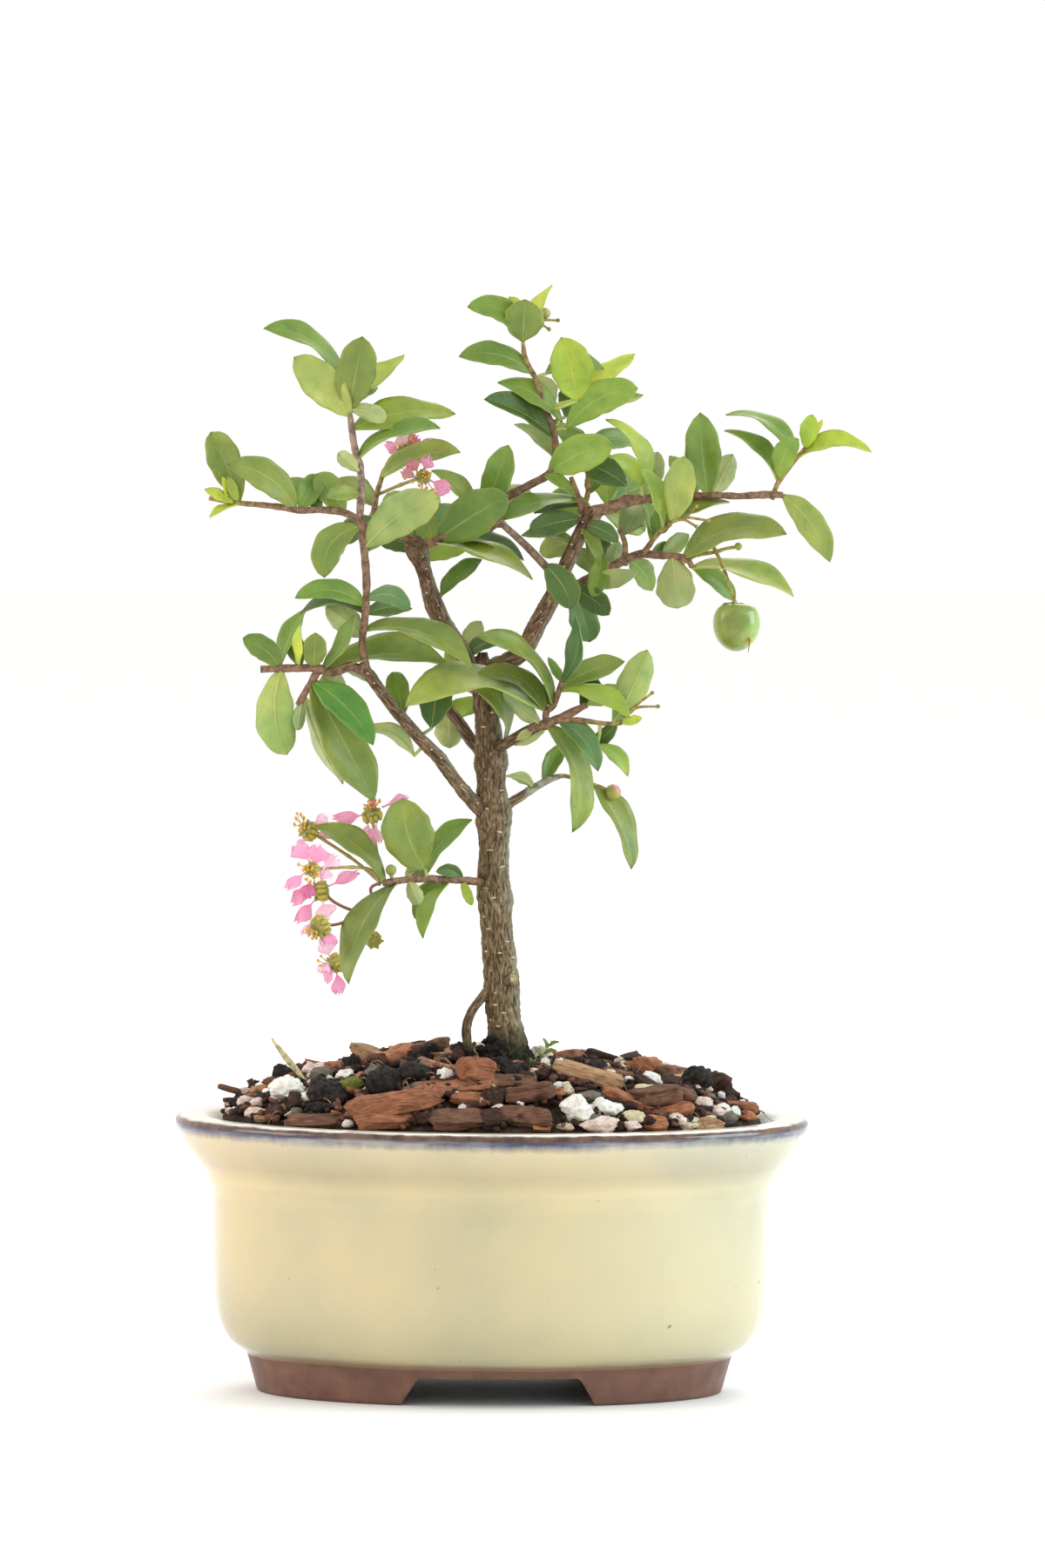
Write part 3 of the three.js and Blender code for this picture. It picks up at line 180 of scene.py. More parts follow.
def smooth_rows(rows, step=0.8):
    """Rows of numbers on a smooth curve through the given rows, one about every step mm."""
    rows = np.asarray(rows, float)
    padded = np.vstack([2 * rows[0] - rows[1], rows, 2 * rows[-1] - rows[-2]])
    smooth = []
    for a, b, c, d in zip(padded, padded[1:], padded[2:], padded[3:]):
        parts = max(int(np.linalg.norm(c[:3] - b[:3]) / step), 1)
        for t in np.arange(parts) / parts:
            curve = 2 * b + (c - a) * t + (2 * a - 5 * b + 4 * c - d) * t**2
            smooth.append(0.5 * (curve + (3 * b - a - 3 * c + d) * t**3))
    smooth.append(rows[-1])
    return np.array(smooth)


def drawn(points):
    """Drawn points with a radius, as rows of x, y, z, radius."""
    return np.array([[*seen(x, z, near), radius] for x, z, near, radius in points])


def tube(rows, sides):
    """The points and faces of a closed tube along rows of x, y, z, radius."""
    along = np.gradient(rows[:, :3], axis=0)
    along /= np.linalg.norm(along, axis=1)[:, None]
    across = np.cross((0.0, 1.0, 0.0), along[0])
    if np.linalg.norm(across) < 0.2:
        across = np.cross((1.0, 0.0, 0.0), along[0])
    turn = 2 * np.pi * np.arange(sides) / sides
    points = []
    for row, way in zip(rows, along):
        across = across - way * across.dot(way)
        across /= np.linalg.norm(across)
        out = np.cross(way, across)
        ring = np.outer(np.cos(turn), across) + np.outer(np.sin(turn), out)
        points.append(row[:3] + row[3] * ring)
    points += [rows[:1, :3], rows[-1:, :3]]
    faces = []
    last = (len(rows) - 1) * sides
    for k in range(sides):
        after = (k + 1) % sides
        for start in range(0, last, sides):
            faces.append([start + k, start + after, start + sides + after, start + sides + k])
        faces.append([last + sides, after, k])
        faces.append([last + sides + 1, last + k, last + after])
    return np.vstack(points), faces


bent = smooth_rows([(0, 0, 0, 1), (5, 0, 1, 1), (10, 0, 0, 1)])
print("rings on a bent tube of 10 mm:", len(bent), "points:", len(tube(bent, 12)[0]))

# %% [markdown]
# ## Mixing finishes
# A finish is a small graph of shader nodes. A few helpers keep each one short to read. One turns a
# colour as the eye reads it into the numbers a shader wants, and one adds a node and plugs it in. The
# rest read what a point brings with it, make noise, lay ramps, mix colours and raise a surface.

# %% Colours and nodes
def paint(red, green, blue):
    """A colour from 0 to 255, as linear numbers for a shader."""
    shares = np.array([red, green, blue]) / 255
    return tuple(np.where(shares > 0.04045, ((shares + 0.055) / 1.055) ** 2.4, shares / 12.92))


def new_finish(name, roughness):
    """A new finish, with its tree of nodes and its main shader."""
    finish = bpy.data.materials.new(name)
    finish.use_nodes = True
    shader = finish.node_tree.nodes["Principled BSDF"]
    shader.inputs["Roughness"].default_value = roughness
    return finish, finish.node_tree, shader


def add(tree, kind, sockets=None, **settings):
    """Adds a node. Sockets take a plain value, or another node's output to plug in."""
    node = tree.nodes.new(kind)
    for key, value in settings.items():
        setattr(node, key, value)
    for key, value in (sockets or {}).items():
        if isinstance(value, bpy.types.NodeSocket):
            tree.links.new(value, node.inputs[key])
        else:
            node.inputs[key].default_value = value
    return node


def on_object(tree):
    """The place on the object, in metres."""
    return add(tree, "ShaderNodeTexCoord").outputs["Object"]


def on_surface(tree):
    """The place that the bench gave to each point: along and across a leaf, petal or chip."""
    return add(tree, "ShaderNodeUVMap", uv_map="place").outputs["UV"]


def own_tone(tree):
    """The colour that the bench gave to each point."""
    return add(tree, "ShaderNodeAttribute", attribute_name="tone").outputs["Color"]


def component(tree, vector, axis):
    """One axis of a place or a direction."""
    return add(tree, "ShaderNodeSeparateXYZ", {"Vector": vector}).outputs[axis]


def stretched(tree, place, *scale):
    """A place, stretched along each axis."""
    return add(tree, "ShaderNodeMapping", {"Vector": place, "Scale": scale}).outputs[0]


def speckle(tree, scale, vector=None, detail=3.0):
    """Noise, from 0 to 1, over the object in metres. A high scale makes it fine."""
    sockets = {"Vector": vector or on_object(tree), "Scale": scale, "Detail": detail}
    return add(tree, "ShaderNodeTexNoise", sockets).outputs[0]


print("rust, as a shader reads it:", [round(float(share), 3) for share in paint(158, 103, 74)])

# %% Ramps, mixes and sums
def ramp(tree, value, *stops):
    """Colours laid along a value: each stop is a place from 0 to 1 and a colour."""
    node = add(tree, "ShaderNodeValToRGB", {"Fac": value})
    while len(node.color_ramp.elements) < len(stops):
        node.color_ramp.elements.new(0.5)
    for element, (place, colour) in zip(node.color_ramp.elements, stops):
        element.position = place
        element.color = (*colour, 1)
    return node.outputs["Color"]


def blend(tree, share, first, second, kind="MIX"):
    """Two colours mixed by a share from 0 to 1."""
    node = add(tree, "ShaderNodeMix", data_type="RGBA", blend_type=kind)
    for key, value in ((0, share), (6, first), (7, second)):
        if isinstance(value, bpy.types.NodeSocket):
            tree.links.new(value, node.inputs[key])
        elif key == 0:
            node.inputs[key].default_value = value
        else:
            node.inputs[key].default_value = (*value, 1)
    return node.outputs[2]


def step_up(tree, value, low, high):
    """0 below low, 1 above high, and a straight climb between."""
    return add(
        tree, "ShaderNodeMapRange", {"Value": value, "From Min": low, "From Max": high}
    ).outputs["Result"]


def maths(tree, operation, first, second=0.0):
    """One sum on two values, each a number or another node's output."""
    return add(tree, "ShaderNodeMath", {0: first, 1: second}, operation=operation).outputs[0]


def times(tree, first, second):
    return maths(tree, "MULTIPLY", first, second)


def plus(tree, first, second):
    return maths(tree, "ADD", first, second)


def relief(tree, shader, height, depth_mm):
    """Raised and sunken places from a value, depth_mm deep from 0 to 1."""
    bump = add(tree, "ShaderNodeBump", {"Height": height, "Distance": depth_mm * MM})
    tree.links.new(bump.outputs["Normal"], shader.inputs["Normal"])


BLACK = (0.0, 0.0, 0.0)
WHITE = (1.0, 1.0, 1.0)
print("ends of a mask:", BLACK, WHITE)

# %% [markdown]
# ## The pot
# The real pot is thrown and pressed into an oval, glazed in pale cream down to just above the table,
# and stands on a bare clay foot with a low cutout in front and behind. Its section is turned about
# the middle on an ellipse. The cutout and the drain holes are then cut out with a boolean.

# %% Shape of the pot
POT_NARROWER_BY = 21
POT_SIDES = 180
DRAIN_HOLES_X = (-30, 30)
DRAIN_HOLE_RADIUS = 6.0
DRAIN_HOLE_SIDES = 32
OUTSIDE = [
    (58.7, 0.0), (59.0, 0.9), (60.0, 4.5), (61.2, 8.6), (62.0, 10.0), (63.6, 11.0), (65.6, 12.6),
    (67.3, 15.0), (68.6, 18.2), (69.4, 22.0), (69.9, 30.0), (70.1, 40.0), (70.2, 47.0),
    (70.5, 50.6), (71.3, 52.4), (72.0, 53.6), (72.3, 55.0), (73.6, 56.8), (75.6, 59.4),
    (77.7, 62.4), (79.1, 65.0), (79.9, 67.0), (79.9, 68.2), (79.3, 69.1), (78.0, 69.5),
    (75.8, 69.6), (73.4, 69.5), (71.8, 69.1), (70.6, 68.0), (69.4, 65.6), (66.4, 58.0),
    (64.6, 50.0), (62.9, 26.0), (62.0, 18.0), (60.4, 13.6), (57.0, 12.1), (46.0, 12.0),
]
UNDERSIDE = [(46.0, 7.0), (53.6, 7.0), (54.6, 6.2), (53.2, 0.8), (53.6, 0.0)]


def oval(half_width, z, sides):
    """A ring of points on an upright oval, at height z."""
    turn = 2 * np.pi * np.arange(sides) / sides
    half_depth = half_width - POT_NARROWER_BY
    return np.column_stack(
        [half_width * np.cos(turn), half_depth * np.sin(turn), np.full(sides, z)]
    )


def turned(profile, sides):
    """Rings on an oval, joined from the first to the last, with the two ends closed."""
    points = np.vstack([oval(a, z, sides) for a, z in profile])
    middles = [[0, 0, profile[0][1]], [0, 0, profile[-1][1]]]
    first = len(points)
    faces = []
    for k in range(sides):
        after = (k + 1) % sides
        for start in range(0, first - sides, sides):
            faces.append([start + k, start + after, start + sides + after, start + sides + k])
        faces.append([first, after, k])
        faces.append([first + 1, first - sides + k, first - sides + after])
    return np.vstack([points, middles]), faces


pot_bench = Bench()
smooth_outside = smooth_rows([(a, 0, z) for a, z in OUTSIDE])[:, [0, 2]]
pot_bench.add(*turned([*UNDERSIDE, *smooth_outside], POT_SIDES))
print("rings in the pot:", len(UNDERSIDE) + len(smooth_outside))

# %% Cutout and drain holes
def cutter(points, faces):
    """A body that is only there to cut."""
    bench = Bench()
    bench.add(points, faces)
    tool = bpy.data.objects.new("cutter", bench.mesh("cutter"))
    bpy.context.scene.collection.objects.link(tool)
    return tool


def applied(thing):
    """The mesh that the modifiers make."""
    bpy.context.view_layer.update()
    made = thing.evaluated_get(bpy.context.evaluated_depsgraph_get())
    return bpy.data.meshes.new_from_object(made)


def cut_away(mesh, tools):
    """The mesh with every tool cut out of it."""
    body = bpy.data.objects.new("body", mesh)
    bpy.context.scene.collection.objects.link(body)
    for tool in tools:
        cut = body.modifiers.new("cut", "BOOLEAN")
        cut.object = tool
    result = applied(body)
    for thing in (body, *tools):
        bpy.data.objects.remove(thing)
    return result


ARCH = [(-24.5, -1), (24.5, -1), (24.1, 0.3), (20.6, 6.2), (19.6, 7), (-19.6, 7), (-20.6, 6.2),
        (-24.1, 0.3)]
corners = len(ARCH)
arch_points = [(x, y, z) for y in (-70, 70) for x, z in ARCH]
arch_faces = [[i, corners + i, corners + (i + 1) % corners, (i + 1) % corners] for i in range(corners)]
arch_faces += [list(range(corners)), list(range(2 * corners - 1, corners - 1, -1))]
tools = [cutter(arch_points, arch_faces)]
for hole_x in DRAIN_HOLES_X:
    hole = np.array([[hole_x, 0, z, DRAIN_HOLE_RADIUS] for z in (5, 15)])
    tools.append(cutter(*tube(hole, DRAIN_HOLE_SIDES)))
pot_mesh = cut_away(pot_bench.mesh("pot"), tools)
print("faces in the pot:", len(pot_mesh.polygons))

# %% [markdown]
# ## Glaze
# The glaze is a warm cream, greyer low down and yellower under the lip, with a few rust specks. It
# turns cooler and brighter towards the right, a painted tint of the cool light that falls on that
# side. It breaks brown over the edge of the lip, above a soft slate band that runs down in fine
# streaks. Below, it stops in a thin ochre line above the bare brown foot, and inside the foot ring
# the clay is painted near-black as painted shade in the hollow under the pot. Height picks the zone,
# and noise moves the borders. A mask round the middle keeps the slate off the inside wall.

# %% Finish of the pot
glaze, tree, shader = new_finish("glaze", 0.16)
shader.inputs["Coat Weight"].default_value = 0.3
shader.inputs["Coat Roughness"].default_value = 0.06
place = on_object(tree)
height = component(tree, place, "Z")


def beyond(half_width, half_depth):
    """0 inside an upright oval of this size in metres, and 1 outside it."""
    centred = add(
        tree, "ShaderNodeVectorMath", {0: place, 1: tuple(POT_MIDDLE * MM)}, operation="SUBTRACT"
    ).outputs[0]
    scaled = add(
        tree, "ShaderNodeVectorMath", {0: centred, 1: (1 / half_width, 1 / half_depth, 0)},
        operation="MULTIPLY",
    ).outputs[0]
    away = add(tree, "ShaderNodeVectorMath", {0: scaled}, operation="LENGTH").outputs["Value"]
    return step_up(tree, away, 0.985, 1.0)


level = plus(tree, height, times(tree, speckle(tree, 60), 0.0009))
body = ramp(
    tree, step_up(tree, level, 0.010, 0.068), (0.0, paint(186, 176, 138)), (0.3, paint(198, 184, 143)),
    (0.66, paint(200, 186, 144)), (0.765, paint(214, 196, 150)), (0.84, paint(196, 178, 138)),
    (1.0, paint(210, 196, 162)),
)
cloud = ramp(
    tree, speckle(tree, 22, detail=9), (0.32, (0.82, 0.87, 0.92)), (0.5, WHITE), (0.68, (1.1, 1.07, 1.0))
)
body = blend(tree, 1.0, body, cloud, "MULTIPLY")
# Painted light: the glaze turns cooler and brighter towards the right, where the cool light falls.
sideways = component(tree, place, "X")
right_side_cool_light = ramp(
    tree, step_up(tree, sideways, -0.085, 0.07), (0.0, (1.0, 0.95, 0.95)), (0.55, (0.99, 1.0, 1.01)),
    (0.8, (0.99, 1.05, 1.17)),
)
body = blend(tree, 1.0, body, right_side_cool_light, "MULTIPLY")
specks = ramp(tree, speckle(tree, 330, detail=2), (0.745, BLACK), (0.8, WHITE))
body = blend(tree, specks, body, paint(136, 112, 84))
print("shader nodes in the body of the glaze:", len(tree.nodes))

# %% Edge of the lip and the bare foot
streaks = speckle(tree, 1, stretched(tree, place, 420, 420, 60), 7)
runs = times(tree, speckle(tree, 26, detail=4), 0.0030)
drip = plus(tree, plus(tree, height, runs), times(tree, streaks, 0.0016))
wobble = plus(tree, height, times(tree, speckle(tree, 240), 0.0008))
outer = beyond(0.0755, 0.0545)
slate = speckle(tree, 1, stretched(tree, place, 60, 60, 500), 6)
slate = ramp(
    tree, slate, (0.36, paint(56, 56, 84)), (0.5, paint(92, 92, 116)), (0.62, paint(138, 140, 142))
)
broken = ramp(tree, speckle(tree, 300, detail=5), (0.34, paint(60, 39, 34)), (0.7, paint(116, 82, 64)))
colour = blend(tree, times(tree, step_up(tree, drip, 0.0674, 0.0696), outer), body, slate)
colour = blend(tree, times(tree, step_up(tree, wobble, 0.0678, 0.0685), outer), colour, broken)
colour = blend(tree, step_up(tree, wobble, 0.0694, 0.0698), colour, paint(226, 219, 200))
colour = blend(tree, step_up(tree, level, 0.0112, 0.0102), colour, paint(126, 100, 70))
bare = step_up(tree, level, 0.0098, 0.0094)
clay = ramp(tree, speckle(tree, 190, detail=6), (0.3, paint(96, 62, 48)), (0.7, paint(120, 82, 66)))
# Painted shade: inside the foot ring the bare clay is near-black, for the dark hollow under the pot.
clay = blend(tree, beyond(0.0575, 0.0365), paint(22, 18, 16), clay)
tree.links.new(blend(tree, bare, colour, clay), shader.inputs["Base Color"])
rough = add(tree, "ShaderNodeMapRange", {"Value": bare, "To Min": 0.17, "To Max": 0.8})
tree.links.new(rough.outputs["Result"], shader.inputs["Roughness"])
relief(tree, shader, speckle(tree, 160, detail=5), 0.16)
pot = set_out("pot_body", pot_mesh, glaze, ["pot"])
print("dressed:", pot.name, "with shader nodes:", len(tree.nodes))

# %% [markdown]
# ## The nets over the drain holes
# Two squares of black plastic net keep the soil in. They can't be seen from outside, so the packed
# solids stay and only get a finish.

# %% Finish of the nets
netting, tree, shader = new_finish("netting", 0.55)
tree.links.new(
    ramp(tree, speckle(tree, 900), (0.3, paint(30, 30, 29)), (0.7, paint(52, 52, 50))),
    shader.inputs["Base Color"],
)
relief(tree, shader, speckle(tree, 1400), 0.05)
NETS = ("drain_screen_left", "drain_screen_right")
for name in NETS:
    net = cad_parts[name]
    net.data.materials.clear()
    net.data.materials.append(netting)
print("nets finished:", len(NETS))

# %% [markdown]
# ## The soil
# Bonsai soil is a loose mix: bark chips, white pumice, black lava and fine brown crumbs. The packed
# solid gives the mound. A dark lumpy bed lies under everything, and hundreds of small pieces are
# strewn on it by rolling dice from a fixed seed, so that the mix is the same each time.

# %% Shape of the mound
SOIL_EDGE = 69
MOUND_FOOT = 68.4
MOUND_HEIGHT = 15.2
MOUND_SHAPE = 0.75
BED_SIDES = 150
BED_RINGS = 34
BED_FLOOR = 60
BED_BELOW_MOUND = 1.2
DICE_SEED = 7
dice = random.Random(DICE_SEED)


def mound(x, y):
    """How high the mound stands above the table at a place."""
    rim = (x / SOIL_EDGE) ** 2 + (y / (SOIL_EDGE - POT_NARROWER_BY)) ** 2
    return MOUND_FOOT + MOUND_HEIGHT * max(1 - rim, 0) ** MOUND_SHAPE


bed_profile = [(40, BED_FLOOR), (64.6, BED_FLOOR), (68.0, 64.5)]
bed_profile += [(21.5 + 46.5 * share, 0) for share in np.linspace(1, 0, BED_RINGS)]
bed_points, bed_faces = turned(bed_profile, BED_SIDES)
for point in bed_points[3 * BED_SIDES:]:
    point[2] = mound(point[0], point[1]) - BED_BELOW_MOUND
    point[2] += 1.1 * noise.noise(Vector(point) * 0.32) + 0.5 * noise.noise(Vector(point) * 1.1)
bed_points[-2][2] = BED_FLOOR
bed = Bench()
bed.add(bed_points, bed_faces, paint(62, 46, 38))
print("soil bed points:", bed.count)

# %% Balls, turned and tilted
def ball(rings, sides):
    """The points and faces of a unit ball."""
    points = [(0.0, 0.0, 1.0)]
    for r in range(1, rings):
        tilt = math.pi * r / rings
        for k in range(sides):
            turn = 2 * math.pi * k / sides
            points.append(
                (math.sin(tilt) * math.cos(turn), math.sin(tilt) * math.sin(turn), math.cos(tilt))
            )
    points.append((0.0, 0.0, -1.0))
    last = len(points) - 1
    faces = [[0, 1 + k, 1 + (k + 1) % sides] for k in range(sides)]
    for start in range(1, last - sides, sides):
        for k in range(sides):
            after = (k + 1) % sides
            faces.append([start + k, start + sides + k, start + sides + after, start + after])
    faces += [[last, last - sides + (k + 1) % sides, last - sides + k] for k in range(sides)]
    return np.array(points), faces


def turned_by(points, turn, tilt, roll=0.0):
    """Points turned about the vertical, tilted and rolled, in radians."""
    for angle, (a, b) in ((roll, (1, 2)), (tilt, (2, 0)), (turn, (0, 1))):
        c, s = math.cos(angle), math.sin(angle)
        points = points.copy()
        first, second = points[:, a].copy(), points[:, b].copy()
        points[:, a], points[:, b] = c * first - s * second, s * first + c * second
    return points


print("points in a ball of 8 rings:", len(ball(8, 10)[0]))

# %% Rough stones and chips
FLAT_SIDES = 9


def stone(size, pits=0.3, fine=(14, 20)):
    """A rough stone: a ball with a few flat sides, pushed in and out by noise, with small pits."""
    points, faces = ball(*fine)
    shift = Vector((dice.uniform(0, 90), dice.uniform(0, 90), dice.uniform(0, 90)))
    sides = [unit(np.array([dice.gauss(0, 1) for _ in range(3)])) for _ in range(FLAT_SIDES)]
    for point in points:
        point *= min([1.0] + [0.72 / max(side @ point, 0.01) for side in sides])
        way = Vector(point)
        push = 1.12 + 0.3 * noise.noise(way * 1.3 + shift) + 0.16 * noise.noise(way * 3.4 + shift)
        push -= pits * max(noise.noise(way * 5.5 + shift), 0)
        point *= push
    return points * np.asarray(size) / 2, faces, None


def chip(size, fine=(14, 22)):
    """A splinter of bark: a flat squared lump with torn ends and fibres along its length."""
    points, faces = ball(*fine)
    shift = Vector((dice.uniform(0, 90), dice.uniform(0, 90), dice.uniform(0, 90)))
    square = np.sign(points) * np.abs(points) ** 0.4
    square /= np.abs(square).max()
    for point in square:
        fibre = Vector((point[0] * 0.6, point[1] * 5, point[2] * 4)) + shift
        rough = 1 + 0.2 * noise.noise(fibre) + 0.24 * noise.noise(Vector(point) * 1.1 + shift)
        point[1:] *= rough
        point[0] *= 1 + 0.3 * noise.noise(Vector((point[1] * 2.5, point[2] * 2.5, 0)) + shift)
    points = square * np.asarray(size) / 2
    places = np.column_stack([points[:, 0] + shift.x, points[:, 1] + points[:, 2] + shift.y])
    return points, faces, places


print("points in one chip:", len(chip((10, 5, 3))[0]))

# %% [markdown]
# ## Finishes of the mix
# Each piece carries its own colour, such as rust, tan or black. The finish lays a grain over it, and
# on the bark it also lays fibres that run along the chip, as split bark shows them.

# %% Finishes of bark chips and stones
MIX = {
    "red": paint(158, 103, 74), "tan": paint(178, 140, 104), "brown": paint(116, 82, 64),
    "dark": paint(66, 46, 39), "orange": paint(178, 120, 84), "white": paint(240, 236, 226),
    "pink": paint(230, 208, 195), "cream": paint(214, 200, 166), "grey": paint(116, 112, 102),
    "black": paint(44, 39, 36), "moss": paint(112, 116, 54),
}


def rock_finish(name, dark, light, scale, depth, fibres=0):
    """A dull grain over each piece's own tone, with fibres along it where asked for."""
    finish, tree, shader = new_finish(name, 0.93)
    shader.inputs["Specular IOR Level"].default_value = 0.25
    own = own_tone(tree)
    grain = speckle(tree, scale, detail=8)
    if fibres:
        threads = speckle(tree, 1, stretched(tree, on_surface(tree), 0.25, fibres, 1), 6)
        grain = plus(tree, times(tree, grain, 0.4), times(tree, threads, 0.6))
    colour = ramp(tree, grain, (0.36, (dark,) * 3), (0.66, (light,) * 3))
    tree.links.new(blend(tree, 1.0, colour, own, "MULTIPLY"), shader.inputs["Base Color"])
    relief(tree, shader, grain, depth)
    return finish


bark_chips = rock_finish("bark_chips", 0.36, 1.5, 420, 0.8, fibres=2.6)
pumice = rock_finish("pumice", 0.76, 1.08, 700, 0.6)
lava = rock_finish("lava", 0.5, 1.7, 800, 0.6)
crumbs = rock_finish("crumbs", 0.45, 1.3, 700, 0.6)
FINISHES = {"chip": bark_chips, "pumice": pumice, "lava": lava}
set_out("soil_bed", bed.mesh("soil_bed"), crumbs, ["soil"])
print("shades in the mix:", len(MIX))

# %% [markdown]
# ## Chips and stones that have a solid of their own
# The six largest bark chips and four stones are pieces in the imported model. Each is made again at the
# same place and size, with fibres or pits.

# %% The large chips and stones
CHIPS = {
    "bark_chip_red": (-27, 37.5, (22, 9, 5), 6, 8, "red"),
    "bark_chip_block": (-6, 25, (9, 8, 6), 20, -6, "red"),
    "bark_chip_flat": (7, 36, (12, 8, 4), -8, 10, "brown"),
    "bark_chip_long": (23, 21, (17, 8, 3.6), -12, -14, "tan"),
    "bark_chip_right": (39, 28.5, (12, 9, 4.5), 25, 6, "brown"),
    "bark_chip_back": (-12, -28, (18, 9, 4.5), -30, 5, "red"),
}
STONES = {
    "pumice_front": (18.5, 41.6, (7.6, 6.6, 6), "white"),
    "pumice_left": (-52.5, 16, (8.5, 7.5, 6), "white"),
    "lava_right": (51, 4, (8, 7.5, 7), "black"),
    "lava_left": (-43, 25, (9, 8, 7), "black"),
}
for name, (x, near, size, turn, tilt, shade) in CHIPS.items():
    points, faces, places = chip(size, (26, 44))
    points = turned_by(points, math.radians(turn), math.radians(-tilt))
    bench = Bench()
    bench.add(points + (x, -near, mound(x, -near) + 0.42 * size[2]), faces, MIX[shade], places)
    set_out(name + "_rough", bench.mesh(name), bark_chips, [name])
for name, (x, near, size, shade) in STONES.items():
    points, faces, places = stone(size, 0.3, (30, 44))
    bench = Bench()
    bench.add(points + (x, -near, mound(x, -near) + 0.34 * size[2]), faces, MIX[shade])
    kind = name.split("_")[0]
    set_out(name + "_rough", bench.mesh(name), FINISHES[kind], [name])
print("large chips and stones:", len(CHIPS) + len(STONES))

# %% [markdown]
# ## The mix as it lies in front
# The pieces that face the eye are laid one by one: kind, shade, place in the drawing, the width and
# height that show, and a slope in degrees. Each is slid along the line of sight until it lies on the
# mound, and is turned to rest on its slope.

